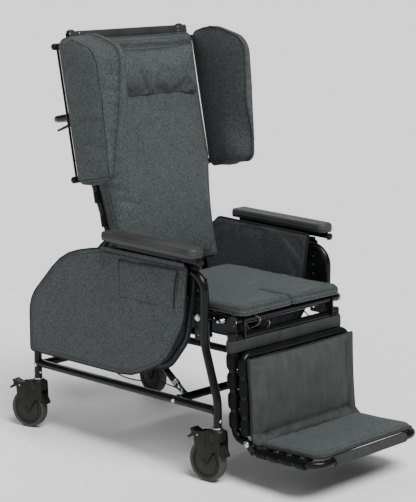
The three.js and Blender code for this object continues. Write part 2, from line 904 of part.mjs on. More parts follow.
function pivotBolt() {
  const headInner = pivotPlateInnerX + pivotPlateThickness + seatedGap;
  const shank = bar("x", -headInner - overrun, -seatRailX - frameTubeRadius, tiltPivotY, tiltPivotZ, pivotBoltRadius);
  const head = bar("x", -headInner - pivotBoltHeadLength, -headInner, tiltPivotY, tiltPivotZ, pivotBoltHeadRadius);
  return join(shank, head);
}

addPair(base, "pivot_bolt", pivotBolt(), zincPlate);

// Outer fabric panel: it hangs over the hoop tube and follows its curve outside it.
const panelTopZ = armRunZ + frameTubeRadius + panelHemReach - panelTopDrop;

function outerPanel() {
  const rearY = rearLegY + panelHemReach;
  const outline = rounded(
    [
      [panelFrontTopY, armRunZ + panelHemReach, panelFrontRadius],
      [panelCheekY, panelCheekZ, panelCheekRadius],
      [panelShinY, panelShinZ, panelShinRadius],
      [panelHeelY, panelBottomZ, panelHeelRadius],
      [rearY, panelBottomZ, panelRearRadius],
      [rearY, rearLegTopZ + panelRearRise, rearLegBendRadius],
      [rearShoulderY + panelShoulderReach, rearShoulderZ + panelShoulderRise, shoulderBendRadius],
      [armRunEndY, panelTopZ, armRunBendRadius],
    ],
    3,
  );
  const innerX = halfTrack + frameTubeRadius + seatedGap;
  const middleX = innerX + outerPanelThickness / 2;
  const outerX = innerX + outerPanelThickness;
  return stacked(
    outline,
    [
      { inset: panelEdgeInset, height: -innerX },
      { height: -innerX - panelEdgeDepth },
      { height: -middleX - panelEdgeDepth },
      { inset: panelFaceInset, height: -outerX, crown: -outerX },
    ],
    "x",
  );
}

addPair(base, "side_panel", outerPanel(), upholstery);

// Padded inner panel between the seat and the side frame.
function innerPanel() {
  const outline = rounded(
    [
      [innerPanelFrontY, innerPanelFrontTopZ, innerPanelFrontRadius],
      [innerPanelCheekY, innerPanelCheekZ, innerPanelCheekRadius],
      [innerPanelShinY, innerPanelShinZ, innerPanelShinRadius],
      [innerPanelKneeY, innerPanelKneeZ, innerPanelShinRadius],
      [innerPanelHeelY, innerPanelBottomZ, innerPanelHeelRadius],
      [innerPanelRearY, innerPanelBottomZ, innerPanelRearRadius],
      [innerPanelRearY, innerPanelRearTopZ, innerPanelRearTopRadius],
      [innerPanelCrestY, innerPanelTopZ, innerPanelCrestRadius],
    ],
    3,
  );
  const outerX = innerPanelX + innerPanelThickness;
  return stacked(
    outline,
    [
      { inset: innerPanelEdgeInset, height: -outerX },
      { height: -outerX + innerPanelEdgeDepth },
      { height: -innerPanelX - innerPanelEdgeDepth },
      { inset: innerPanelEdgeInset, height: -innerPanelX, crown: -innerPanelX },
    ],
    "x",
  );
}

addPair(base, "inner_panel", innerPanel(), upholstery);

// Armrests
const arms = new THREE.Group();
chair.add(arms);

// A height near the top of the armrest, lowered towards the front by its slope.
const armTopAt = (y) => armPadTopZ + (y - armPadRearY) * Math.tan(armSlope);

// Height of the knob's axis, its rim just below the pad.
const armKnobZ = armTopAt(armPadFrontY) - armPadThickness - seatedGap - armKnobRadius;

function sloped(geometry) {
  const place = geometry.attributes.position;
  for (let index = 0; index < place.count; index += 1) {
    place.setZ(index, place.getZ(index) + (place.getY(index) - armPadRearY) * Math.tan(armSlope));
  }
  geometry.computeVertexNormals();
  return geometry;
}

function armPad() {
  const halfWidth = (armPadOuterX - armPadInnerX) / 2;
  const outline = rounded(
    [
      [-armPadOuterX, armPadFrontY, halfWidth * 0.9],
      [-armPadInnerX, armPadFrontY, halfWidth * 0.9],
      [-armPadInnerX, armPadRearY, armPadRearRadius],
      [-armPadOuterX, armPadRearY, armPadRearRadius],
    ],
  );
  const edge = armPadEdge;
  const bottom = armPadTopZ - armPadThickness;
  const pad = stacked(
    outline,
    [
      { inset: edge, height: bottom },
      { inset: armPadLowerInset, height: bottom + edge },
      { height: armPadTopZ - edge * 1.6 },
      { inset: edge * 0.4, height: armPadTopZ - edge * 0.4 },
      { inset: edge * 1.2, height: armPadTopZ, crown: armPadTopZ },
    ],
    "z",
  );
  return sloped(pad);
}

function armRail() {
  const top = armPadTopZ - armPadThickness - seatedGap;
  const barBottom = top - armBarHeight;
  const frontEnd = armPadFrontY + armRailSetback;
  const railBar = sloped(
    block(
      -armBarX - armBarHalfWidth,
      -armBarX + armBarHalfWidth,
      frontEnd,
      armPadRearY - armRailRearSetback,
      barBottom,
      top,
    ),
  );
  const posts = [armPostFrontY, armPostRearY].map((y) => {
    const footZ = armTopAt(y) - armPadThickness - armBarHeight;
    const post = block(
      -armPostX - armPostThickness,
      -armPostX,
      y - armPostHalfWidth,
      y + armPostHalfWidth,
      armPostBottomZ,
      footZ + armPostThickness,
    );
    const shelf = block(
      -armBarX - armBarHalfWidth,
      -armPostX,
      y - armPostHalfWidth,
      y + armPostHalfWidth,
      footZ,
      footZ + armPostThickness,
    );
    return join(post, shelf);
  });
  const bore = bar(
    "y",
    frontEnd - overrun,
    frontEnd + armKnobLength,
    -armBarX,
    armKnobZ,
    boreFor(armKnobShankRadius, rodSides),
    rodSides,
  );
  return cut(join(railBar, ...posts), bore);
}

function armKnob() {
  const faceY = armPadFrontY + armRailSetback - seatedGap;
  const head = turned(
    [
      [0, 0],
      [armKnobRadius * 0.7, 0],
      [armKnobRadius, armKnobLength * 0.3],
      [armKnobRadius, armKnobLength * 0.8],
      [armKnobRadius * 0.85, armKnobLength],
      [0, armKnobLength],
    ],
    "y",
    tubeSides + 2,
  );
  head.rotateZ(Math.PI).translate(-armBarX, faceY, armKnobZ);
  const shank = bar(
    "y",
    faceY - weldOverlap,
    faceY + armKnobLength - overrun,
    -armBarX,
    armKnobZ,
    armKnobShankRadius,
    rodSides,
  );
  return join(head, shank);
}

addPair(arms, "arm_rail", armRail(), powderCoat);
addPair(arms, "arm_pad", armPad(), armFoam);
addPair(arms, "arm_knob", armKnob(), pedalPlastic);

// Seat
const seat = new THREE.Group();
chair.add(seat);

// Outline of a tension strap across two rails, with a sleeve round each, seen along the rails. The sheet lies on
// the side that facing points to.
function strapOutline(halfSpan, height, radius, facing) {
  const sleeveSteps = 4;
  const points = [];
  for (let step = 0; step <= sleeveSteps; step += 1) {
    const angle = Math.PI / 2 - (Math.PI * step) / sleeveSteps;
    points.push([halfSpan + radius * Math.cos(angle), radius * Math.sin(angle)]);
  }
  points.push([halfSpan - radius * 0.6, -radius * 0.8]);
  points.push([halfSpan - radius * 0.6, radius - strapThickness]);
  const rightSide = points.map(([u, v]) => new THREE.Vector2(u, height + facing * v));
  const leftSide = points.map(([u, v]) => new THREE.Vector2(-u, height + facing * v)).reverse();
  return [...rightSide, ...leftSide];
}

function seatStraps() {
  return Array.from({ length: seatStrapCount }, (_, index) => {
    const y = seatFirstStrapY + index * seatStrapPitch;
    const outline = strapOutline(seatRailX, seatRailZ, frameTubeRadius + strapThickness, 1);
    return facingOut(plate(outline, "y", y - seatStrapWidth / 2, y + seatStrapWidth / 2));
  });
}

function seatFrame() {
  const rails = [-seatRailX, seatRailX].map((x) =>
    bar("y", seatFrontTubeY, seatRailEndY, x, seatRailZ, frameTubeRadius, innerTubeSides),
  );
  const across = [
    bar("x", -seatFrontTubeHalfLength, seatFrontTubeHalfLength, seatFrontTubeY, seatRailZ, frameTubeRadius),
    bar("x", -seatRailX, seatRailX, seatMiddleTubeY, seatRailZ, seatCrossTubeRadius, innerTubeSides),
    bar("x", -seatRailX, seatRailX, seatRearTubeY, seatRailZ, seatCrossTubeRadius, innerTubeSides),
  ];
  const bosses = [-1, 1].map((side) => {
    const [near, far] = [seatRailX, pivotPlateInnerX - seatedGap];
    return bar("x", side > 0 ? near : -far, side > 0 ? far : -near, tiltPivotY, tiltPivotZ, pivotBossRadius);
  });
  const strutLugs = [-strutX, strutX].map((x) =>
    lug(
      x,
      strutLugThickness,
      tiltStrutUpperY - frameTubeRadius / 2,
      seatRailZ - frameTubeRadius / 2,
      tiltStrutUpperY,
      tiltStrutUpperZ,
      frameTubeRadius * 1.5,
      strutEyeRadius + openPivotClearance,
      strutPinRadius + openPivotClearance,
    ),
  );
  const reclineHanger = lug(
    reclineStrutX,
    strutLugThickness,
    seatMiddleTubeY,
    seatRailZ,
    reclineStrutFrontY,
    reclineStrutFrontZ,
    frameTubeRadius,
    strutEyeRadius,
    boreFor(strutPinRadius, rodSides),
  );
  const body = join(...rails, ...across, ...bosses, ...strutLugs, reclineHanger, ...seatStraps());
  const boltBore = bar(
    "x",
    -halfTrack,
    halfTrack,
    tiltPivotY,
    tiltPivotZ,
    boreFor(pivotBoltRadius, tubeSides),
  );
  const keep = block(
    -seatRailX + frameTubeRadius - overrun,
    seatRailX - frameTubeRadius + overrun,
    tiltPivotY - pivotBossRadius,
    tiltPivotY + pivotBossRadius,
    tiltPivotZ - pivotBossRadius,
    tiltPivotZ + pivotBossRadius,
  );
  const boltBores = asGeometry(asSolid(boltBore).subtract(asSolid(keep)));
  const backPinBore = bar(
    "x",
    -halfTrack,
    halfTrack,
    backPivotY,
    backPivotZ,
    boreFor(backPivotPinRadius, tubeSides),
  );
  return cut(body, boltBores, backPinBore);
}

function seatCushion() {
  const low = seatRailZ + frameTubeRadius + strapThickness + seatedGap;
  const outline = rounded(
    [
      [-seatCushionHalfWidth, seatCushionFrontY, seatCushionFrontRadius],
      [seatCushionHalfWidth, seatCushionFrontY, seatCushionFrontRadius],
      [seatCushionHalfWidth, seatCushionRearY, seatCushionRearRadius],
      [-seatCushionHalfWidth, seatCushionRearY, seatCushionRearRadius],
    ],
    6,
    seatCushionDrawIn,
  );
  const pad = cushion(outline, "z", low, low + seatCushionThickness, seatCushionCrown, seatCushionEdge);
  const slit = plate(
    [
      new THREE.Vector2(-seatSlitHalfWidth, seatCushionFrontY - overrun),
      new THREE.Vector2(seatSlitHalfWidth, seatCushionFrontY - overrun),
      new THREE.Vector2(0, seatCushionFrontY + seatSlitLength),
    ],
    "z",
    low - overrun,
    low + seatCushionThickness + seatCushionCrown + overrun,
  );
  return cut(pad, slit);
}

add(seat, "seat_frame", seatFrame(), powderCoat);
add(seat, "seat_cushion", seatCushion(), upholstery);

// Back, drawn upright about its pivot and leaned back by its rest angle
const back = new THREE.Group();
back.position.set(0, backPivotY, backPivotZ);
back.rotation.x = -reclineRest;
chair.add(back);

// How far from the middle the back tube runs at a height.
function backTubeXAt(z) {
  const share = THREE.MathUtils.clamp((z - backFlareBottomZ) / (backFlareTopZ - backFlareBottomZ), 0, 1);
  return backLowerTubeX + (backUpperTubeX - backLowerTubeX) * share;
}

function backFrame() {
  const uprights = [-1, 1].map((side) =>
    tube(
      [
        [side * backUpperTubeX, backTubeY, backTubeTopZ],
        [side * backUpperTubeX, backTubeY, backFlareTopZ],
        [side * backLowerTubeX, backTubeY, backFlareBottomZ],
        [side * backLowerTubeX, backTubeY, backTubeBottomZ],
      ],
      [kinkBendRadius, kinkBendRadius],
      frameTubeRadius,
      innerTubeSides,
    ),
  );
  const footTube = bar("x", -backLowerTubeX, backLowerTubeX, backTubeY, backTubeBottomZ, frameTubeRadius, rodSides);
  const pivotEars = [-1, 1].map((side) => {
    const earOutline = rounded([
      [backTubeY, -frameTubeRadius * 1.5, 0],
      [frameTubeRadius, -frameTubeRadius, frameTubeRadius * 0.9],
      [frameTubeRadius, frameTubeRadius, frameTubeRadius * 0.9],
      [backTubeY, frameTubeRadius * 1.5, 0],
    ]);
    const x = side * backLowerTubeX;
    const ear = plate(earOutline, "x", x - strapThickness, x + strapThickness);
    const near = backLowerTubeX;
    const far = seatRailX + frameTubeRadius;
    const pin = bar("x", side > 0 ? near : -far, side > 0 ? far : -near, 0, 0, backPivotPinRadius);
    return join(ear, pin);
  });
  const lever = lug(
    reclineStrutX,
    strutLugThickness,
    backTubeY,
    backTubeBottomZ,
    reclineLeverY,
    reclineLeverZ,
    frameTubeRadius,
    strutEyeRadius + openPivotClearance,
    strutPinRadius + openPivotClearance,
  );
  const straps = backStrapHeights.map((z) => {
    const outline = strapOutline(backTubeXAt(z), backTubeY, frameTubeRadius + strapThickness, -1);
    return facingOut(plate(outline, "z", z - backStrapWidth / 2, z + backStrapWidth / 2));
  });
  return join(...uprights, footTube, ...pivotEars, lever, ...straps);
}

function headBar() {
  const frontY = backTubeY - innerTubeReach - seatedGap;
  const outline = rounded([
    [-headBarHalfLength, headBarZ - headBarHeight / 2, headBarCornerRadius],
    [headBarHalfLength, headBarZ - headBarHeight / 2, headBarCornerRadius],
    [headBarHalfLength, headBarZ + headBarHeight / 2, headBarCornerRadius],
    [-headBarHalfLength, headBarZ + headBarHeight / 2, headBarCornerRadius],
  ]);
  return plate(outline, "y", frontY - headBarThickness, frontY);
}

const backCushionRearY = backTubeY - frameTubeRadius - strapThickness - seatedGap;

function backCushion() {
  const outline = rounded(
    [
      [-backCushionLowerHalfWidth, backCushionBottomZ, backCushionBottomRadius],
      [backCushionLowerHalfWidth, backCushionBottomZ, backCushionBottomRadius],
      [backCushionLowerHalfWidth, backFlareBottomZ + backCushionFlareRise, backCushionFlareRadius],
      [backCushionUpperHalfWidth, backFlareTopZ - backCushionFlareDrop, backCushionFlareRadius],
      [backCushionUpperHalfWidth, backCushionTopZ, backCushionTopRadius],
      [-backCushionUpperHalfWidth, backCushionTopZ, backCushionTopRadius],
      [-backCushionUpperHalfWidth, backFlareTopZ - backCushionFlareDrop, backCushionFlareRadius],
      [-backCushionLowerHalfWidth, backFlareBottomZ + backCushionFlareRise, backCushionFlareRadius],
    ],
    4,
    2,
  );
  return cushion(
    outline,
    "y",
    -backCushionRearY,
    -backCushionRearY + backCushionThickness,
    backCushionCrown,
    backCushionEdge,
  );
}

function headPillow() {
  const rear = -backCushionRearY + backCushionThickness + pillowSink;
  const outline = rounded(
    [
      [-pillowHalfWidth, pillowBottomZ, pillowCornerRadius],
      [pillowHalfWidth, pillowBottomZ, pillowCornerRadius],
      [pillowHalfWidth, pillowTopZ, pillowCornerRadius],
      [-pillowHalfWidth, pillowTopZ, pillowCornerRadius],
    ],
    3,
    pillowDrawIn,
  );
  const pad = cushion(outline, "y", rear, rear + pillowThickness, pillowCrown, pillowEdge);
  return cut(pad, backCushion().translate(0, -seatedGap, 0));
}

function pushBar() {
  const frontEnd = backTubeY + innerTubeReach + seatedGap;
  const hoop = tube(
    [
      [-pushBarHalfWidth, frontEnd, pushBarZ],
      [-pushBarHalfWidth, pushBarReachY, pushBarZ],
      [pushBarHalfWidth, pushBarReachY, pushBarZ],
      [pushBarHalfWidth, frontEnd, pushBarZ],
    ],
    [pushBarBendRadius, pushBarBendRadius],
    pushBarRadius,
    innerTubeSides,
  );
  const lugOffset = leverHalfWidth + seatedGap + leverLugThickness / 2;
  const lugs = [-pushBarHalfWidth, pushBarHalfWidth].flatMap((x) =>
    [x - lugOffset, x + lugOffset].map((lugX) =>
      lug(
        lugX,
        leverLugThickness,
        leverPivotY,
        pushBarZ,
        leverPivotY,
        pushBarZ - leverPivotDrop,
        leverLugHalfWidth,
        leverLugHalfWidth,
        boreFor(leverPinRadius, rodSides),
      ),
    ),
  );
  return join(hoop, ...lugs);
}

// A squeeze lever that hangs between its lugs and runs back along the push bar.
function releaseLever() {
  const pivotZ = pushBarZ - leverPivotDrop;
  const half = leverHeight / 2;
  const outline = rounded([
    [leverPivotY - half, pivotZ - half, half / 2],
    [leverPivotY + leverReach, pivotZ - half - leverHeight, 0],
    [leverPivotY + leverReach, pivotZ - leverHeight, 0],
    [leverPivotY + leverHeight, pivotZ + half, leverHeight],
    [leverPivotY - half, pivotZ + half, half / 2],
  ]);
  const blade = plate(outline, "x", -pushBarHalfWidth - leverHalfWidth, -pushBarHalfWidth + leverHalfWidth);
  const pinHalf = leverHalfWidth + seatedGap + leverLugThickness + seatedGap;
  const pin = bar(
    "x",
    -pushBarHalfWidth - pinHalf,
    -pushBarHalfWidth + pinHalf,
    leverPivotY,
    pivotZ,
    leverPinRadius,
    rodSides,
  );
  return join(blade, pin);
}

function wingBracket() {
  const arms = [wingLowerBracketZ, wingUpperBracketZ].map((z) => {
    const nearX = backTubeXAt(z) + frameTubeRadius * 0.4;
    const post = bar("x", -wingBracketEndX, -nearX, wingBracketY, z, wingBracketRadius);
    const tab = block(
      -wingRodX - wingBracketRadius,
      -wingRodX + wingBracketRadius,
      wingRearY + seatedGap,
      wingBracketY,
      z - wingBracketRadius / 2,
      z + wingBracketRadius / 2,
    );
    return join(post, tab);
  });
  const rod = bar("z", wingLowerBracketZ, wingUpperBracketZ, -wingRodX, wingBracketY, wingRodRadius, rodSides);
  const tubeSpace = tube(
    [
      [-backUpperTubeX, backTubeY, backTubeTopZ + overrun],
      [-backUpperTubeX, backTubeY, backFlareTopZ],
      [-backLowerTubeX, backTubeY, backFlareBottomZ],
      [-backLowerTubeX, backTubeY, backTubeBottomZ],
    ],
    [kinkBendRadius, kinkBendRadius],
    frameTubeRadius + seatedGap,
    innerTubeSides,
  );
  return cut(join(...arms, rod), tubeSpace);
}

function wing() {
  const outline = rounded(
    [
      [wingRearY, wingBottomZ, wingRearBottomRadius],
      [wingRearY, wingTopZ - wingTopDrop, wingRearTopRadius],
      [wingCrestY, wingTopZ, wingCrestRadius],
      [wingFrontY, wingFrontTopZ, wingFrontRadius],
      [wingWaistY, wingWaistZ, wingWaistRadius],
      [wingFootY, wingBottomZ, wingFootRadius],
    ],
    3,
  );
  const innerX = -wingInnerX;
  const outerX = -wingOuterX;
  return stacked(
    outline,
    [
      { share: 0.75, height: outerX },
      { inset: wingSoftEdge, height: outerX + wingFaceDepth },
      { inset: wingSoftEdge * 0.25, height: outerX + wingSoftEdge * 0.7 },
      { height: (innerX + outerX) / 2 },
      { inset: wingSoftEdge * 0.25, height: innerX - wingSoftEdge * 0.7 },
      { inset: wingSoftEdge, height: innerX - wingFaceDepth },
      { share: 0.75, height: innerX, crown: innerX },
    ],
    "x",
  );
}

add(back, "back_frame", backFrame(), powderCoat);
add(back, "head_bar", headBar(), greyStrap);
add(back, "back_cushion", backCushion(), upholstery);
add(back, "head_pillow", headPillow(), upholstery);
add(back, "push_bar", pushBar(), powderCoat);
addPair(back, "release_lever", releaseLever(), pedalPlastic);
addPair(back, "wing_bracket", wingBracket(), powderCoat);
addPair(back, "wing", wing(), upholstery);

// Legrest, drawn hanging from the seat's front tube and leaned forward
const leg = new THREE.Group();
leg.position.set(0, seatFrontTubeY, seatRailZ);
leg.rotation.x = -legLean;
chair.add(leg);

function legStraps(count, first, pitch, width, spanX, centreY, facing) {
  return Array.from({ length: count }, (_, index) => {
    const z = first - index * pitch;
    const outline = strapOutline(spanX, centreY, frameTubeRadius + strapThickness, facing);
    return facingOut(plate(outline, "z", z - width / 2, z + width / 2));
  });
}

// Place of the footrest's hinge in the legrest's own frame.
const footHinge = new THREE.Vector2(footPivotY - seatFrontTubeY, footPivotZ - seatRailZ).rotateAround(
  new THREE.Vector2(),
  legLean,
);

function legrestFrame() {
  const columns = [-1, 1].map((side) =>
    tube(
      [
        [side * legColumnX, legColumnY, legColumnTopZ],
        [side * legColumnX, legColumnY, legColumnFootZ],
        [side * legColumnX, legColumnFootReach, legColumnFootZ],
      ],
      [legBendRadius],
      frameTubeRadius,
      innerTubeSides,
    ),
  );
  const topTube = bar("x", -legColumnX, legColumnX, legColumnY, legCrossTubeZ, frameTubeRadius);
  const hangers = [-hangerX, hangerX].map((x) => {
    const collar = frameTubeRadius + strapThickness;
    const outline = rounded([
      [-collar, collar, collar * 0.99],
      [-collar, legCrossTubeZ, 0],
      [collar, legCrossTubeZ, 0],
      [collar, collar, collar * 0.99],
    ]);
    const bore = circle(boreFor(frameTubeRadius, tubeSides), tubeSides, 0, 0);
    return facingOut(plate(outline, "x", x - hangerThickness / 2, x + hangerThickness / 2, [bore]));
  });
  const footLugs = [-1, 1].map((side) => {
    const x = side * footLugX;
    return lug(
      x,
      footLugThickness,
      legColumnFootReach + frameTubeRadius,
      legColumnFootZ,
      footHinge.x,
      footHinge.y,
      frameTubeRadius * 0.8,
      frameTubeRadius * 0.8,
      boreFor(footBoltRadius, rodSides),
    );
  });
  const straps = legStraps(
    legStrapCount,
    legFirstStrapZ,
    legStrapPitch,
    legStrapWidth,
    legColumnX,
    legColumnY,
    1,
  );
  return join(...columns, topTube, ...hangers, ...footLugs, ...straps);
}

function crossStrap() {
  const rearY = legColumnY - innerTubeReach - seatedGap;
  const outline = rounded([
    [-crossStrapHalfLength, crossStrapZ - crossStrapHeight / 2, crossStrapCornerRadius],
    [crossStrapHalfLength, crossStrapZ - crossStrapHeight / 2, crossStrapCornerRadius],
    [crossStrapHalfLength, crossStrapZ + crossStrapHeight / 2, crossStrapCornerRadius],
    [-crossStrapHalfLength, crossStrapZ + crossStrapHeight / 2, crossStrapCornerRadius],
  ]);
  return plate(outline, "y", rearY - crossStrapThickness, rearY);
}

function calfFrame() {
  const sides = [-1, 1].map((side) =>
    tube(
      [
        [-side * weldOverlap, calfColumnY, calfTopZ],
        [side * calfColumnX, calfColumnY, calfTopZ],
        [side * calfColumnX, calfColumnY, calfBottomZ],
        [-side * weldOverlap, calfColumnY, calfBottomZ],
      ],
      [calfBendRadius, calfBendRadius],
      frameTubeRadius,
      innerTubeSides,
    ),
  );
  const clampHeights = [0.5, 2.5].map((share) => legFirstStrapZ - legStrapPitch * share);
  const clamps = clampHeights.flatMap((z) =>
    [-1, 1].map((side) =>
      block(
        side * calfColumnX - frameTubeRadius / 2,
        side * calfColumnX + frameTubeRadius / 2,
        calfColumnY,
        legColumnY - innerTubeReach - seatedGap,
        z - strapThickness,
        z + strapThickness,
      ),
    ),
  );
  const straps = legStraps(
    calfStrapCount,
    calfFirstStrapZ,
    calfStrapPitch,
    legStrapWidth,
    calfColumnX,
    calfColumnY,
    -1,
  );
  return join(...sides, ...clamps, ...straps);
}

function calfPad() {
  const rear = -calfColumnY + frameTubeRadius + strapThickness + seatedGap;
  const outline = rounded(
    [
      [-calfPadHalfWidth, calfPadBottomZ, calfPadCornerRadius],
      [calfPadHalfWidth, calfPadBottomZ, calfPadCornerRadius],
      [calfPadHalfWidth, calfPadTopZ, calfPadCornerRadius],
      [-calfPadHalfWidth, calfPadTopZ, calfPadCornerRadius],
    ],
    4,
    calfPadDrawIn,
  );
  return cushion(outline, "y", rear, rear + calfPadThickness, calfPadCrown, calfPadEdge);
}

add(leg, "legrest_frame", legrestFrame(), powderCoat);
add(leg, "leg_cross_strap", crossStrap(), greyStrap);
add(leg, "calf_frame", calfFrame(), powderCoat);
add(leg, "calf_pad", calfPad(), calfCloth);

// Footrest, drawn level about its hinge and pitched up slightly
const foot = new THREE.Group();
foot.position.set(0, footPivotY, footPivotZ);
foot.rotation.x = -footPitch;
chair.add(foot);

function footrestFrame() {
  const halves = [-1, 1].map((side) =>
    tube(
      [
        [-side * weldOverlap, footRearY, footTubeZ],
        [side * footRearX, footRearY, footTubeZ],
        [side * footFrontX, footFrontY, footTubeZ],
        [-side * weldOverlap, footFrontY, footTubeZ],
      ],
      [footBendRadius, footBendRadius],
      footTubeRadius,
      innerTubeSides,
    ),
  );
  const ears = [-1, 1].map((side) => {
    const x = side * (footEarX + footEarThickness / 2);
    const eye = footBoltHeadRadius + strapThickness / 2;
    return lug(
      x,
      footEarThickness,
      -footBendRadius * 0.45,
      footTubeZ,
      0,
      0,
      footTubeRadius,
      eye,
      boreFor(footBoltRadius, rodSides),
    );
  });
  const feet = [-1, 1].map((side) =>
    block(
      side > 0 ? footRearX - footTubeRadius : -footEarX - footEarThickness,
      side > 0 ? footEarX + footEarThickness : -footRearX + footTubeRadius,
      -footBendRadius,
      -footBendRadius * 0.3,
      footTubeZ - strapThickness,
      footTubeZ + strapThickness,
    ),
  );
  const straps = Array.from({ length: footStrapCount }, (_, index) => {
    const y = footFirstStrapY - index * footStrapPitch;
    const share = (footRearY - y) / (footRearY - footFrontY);
    const span = footRearX + (footFrontX - footRearX) * share;
    const outline = strapOutline(span, footTubeZ, footTubeRadius + strapThickness, 1);
    return facingOut(plate(outline, "y", y - footStrapWidth / 2, y + footStrapWidth / 2));
  });
  return join(...halves, ...ears, ...feet, ...straps);
}

function footPad() {
  const low = footTubeZ + footTubeRadius + strapThickness + seatedGap;
  const outline = rounded(
    [
      [-footPadHalfWidth, footPadFrontY, footPadFrontRadius],
      [footPadHalfWidth, footPadFrontY, footPadFrontRadius],
      [footPadHalfWidth, footPadRearY, footPadRearRadius],
      [-footPadHalfWidth, footPadRearY, footPadRearRadius],
    ],
    4,
    footPadDrawIn,
  );
  return cushion(outline, "z", low, low + footPadThickness, footPadCrown, footPadEdge);
}

function footSleeve() {
  const outline = circle(footSleeveRadius, tubeSides, footFrontY, footTubeZ);
  const boreRadius = footTubeRadius + seatedGap / Math.cos(Math.PI / innerTubeSides);
  const bore = circle(boreRadius, innerTubeSides, footFrontY, footTubeZ);
  return plate(outline, "x", -footSleeveHalfLength, footSleeveHalfLength, [bore]);
}

function footBolt() {
  const lugInner = footLugX - footLugThickness / 2 - seatedGap;
  const earOuter = footEarX + footEarThickness + seatedGap;
  const shank = bar("x", -earOuter - weldOverlap, -lugInner + weldOverlap, 0, 0, footBoltRadius, rodSides);
  const head = bar("x", -earOuter - footBoltHeadLength, -earOuter, 0, 0, footBoltHeadRadius);
  const nut = bar("x", -lugInner, -lugInner + footBoltHeadLength, 0, 0, footBoltHeadRadius, 6);
  return join(shank, head, nut);
}

add(foot, "footrest_frame", footrestFrame(), powderCoat);
add(foot, "foot_pad", footPad(), upholstery);
add(foot, "foot_sleeve", footSleeve(), webbing);
addPair(foot, "foot_bolt", footBolt(), zincPlate);

// Gas struts, each drawn along y from its lower pin

// The fork end of a strut: two cheeks either side of a lug, with their pin.
function forkEnd(pinY, rootY) {
  const way = Math.sign(rootY - pinY);
  const inner = strutLugThickness / 2 + seatedGap;
  const outer = inner + strutCheekThickness;
  const eye = strutCheekHalfWidth;
  const outline = rounded([
    [pinY - way * eye, -eye, eye * 0.8],
    [rootY, -eye, 0],
    [rootY, eye, 0],
    [pinY - way * eye, eye, eye * 0.8],
  ]);
  const cheeks = [
    facingOut(plate(outline, "x", inner, outer)),
    facingOut(plate(outline, "x", -outer, -inner)),
  ];
  const pin = bar("x", -outer - weldOverlap, outer + weldOverlap, pinY, 0, strutPinRadius, rodSides);
  const rootDepth = strutCheekThickness * way;
  const web = block(-outer, outer, Math.min(rootY, rootY + rootDepth), Math.max(rootY, rootY + rootDepth), -eye, eye);
  return join(...cheeks, pin, web);
}

function gasCylinderForm(length) {
  const body = bar("y", strutEyeReach, strutEyeReach + length, 0, 0, strutCylinderRadius);
  const bore = bar(
    "y",
    strutEyeReach + strutEyeReach,
    strutEyeReach + length + overrun,
    0,
    0,
    boreFor(strutRodRadius, rodSides),
    rodSides,
  );
  return cut(join(body, forkEnd(0, strutEyeReach)), bore);
}

function gasRod(pinSpan, insideLength) {
  const shaft = bar(
    "y",
    insideLength,
    pinSpan - strutEyeReach,
    0,
    0,
    strutRodRadius,
    rodSides,
  );
  return join(shaft, forkEnd(pinSpan, pinSpan - strutEyeReach));
}

// Adds a strut between two pins, in the plane at x.
function addStrut(group, names, x, low, high, cylinderLength, insertion) {
  const strut = new THREE.Group();
  const reach = new THREE.Vector2(high[0] - low[0], high[1] - low[1]);
  strut.position.set(x, low[0], low[1]);
  strut.rotation.x = Math.atan2(reach.y, reach.x);
  group.add(strut);
  add(strut, names[0], gasCylinderForm(cylinderLength), gasCylinder);
  add(strut, names[1], gasRod(reach.length(), strutEyeReach + cylinderLength - insertion), zincPlate);
}

const struts = new THREE.Group();
chair.add(struts);
[["right", -strutX], ["left", strutX]].forEach(([side, x]) => {
  addStrut(
    struts,
    ["tilt_cylinder_" + side, "tilt_rod_" + side],
    x,
    [tiltStrutLowerY, tiltStrutLowerZ],
    [tiltStrutUpperY, tiltStrutUpperZ],
    tiltCylinderLength,
    rodInsertion,
  );
});

// Place of the recline lever's pin at rest, in the chair's frame.
const leverPin = new THREE.Vector2(reclineLeverY, reclineLeverZ).rotateAround(new THREE.Vector2(), -reclineRest);
addStrut(
  struts,
  ["recline_cylinder", "recline_rod"],
  reclineStrutX,
  [reclineStrutFrontY, reclineStrutFrontZ],
  [backPivotY + leverPin.x, backPivotZ + leverPin.y],
  reclineCylinderLength,
  rodInsertion,
);

// Casters, each drawn about its stem with the wheel trailing along +y

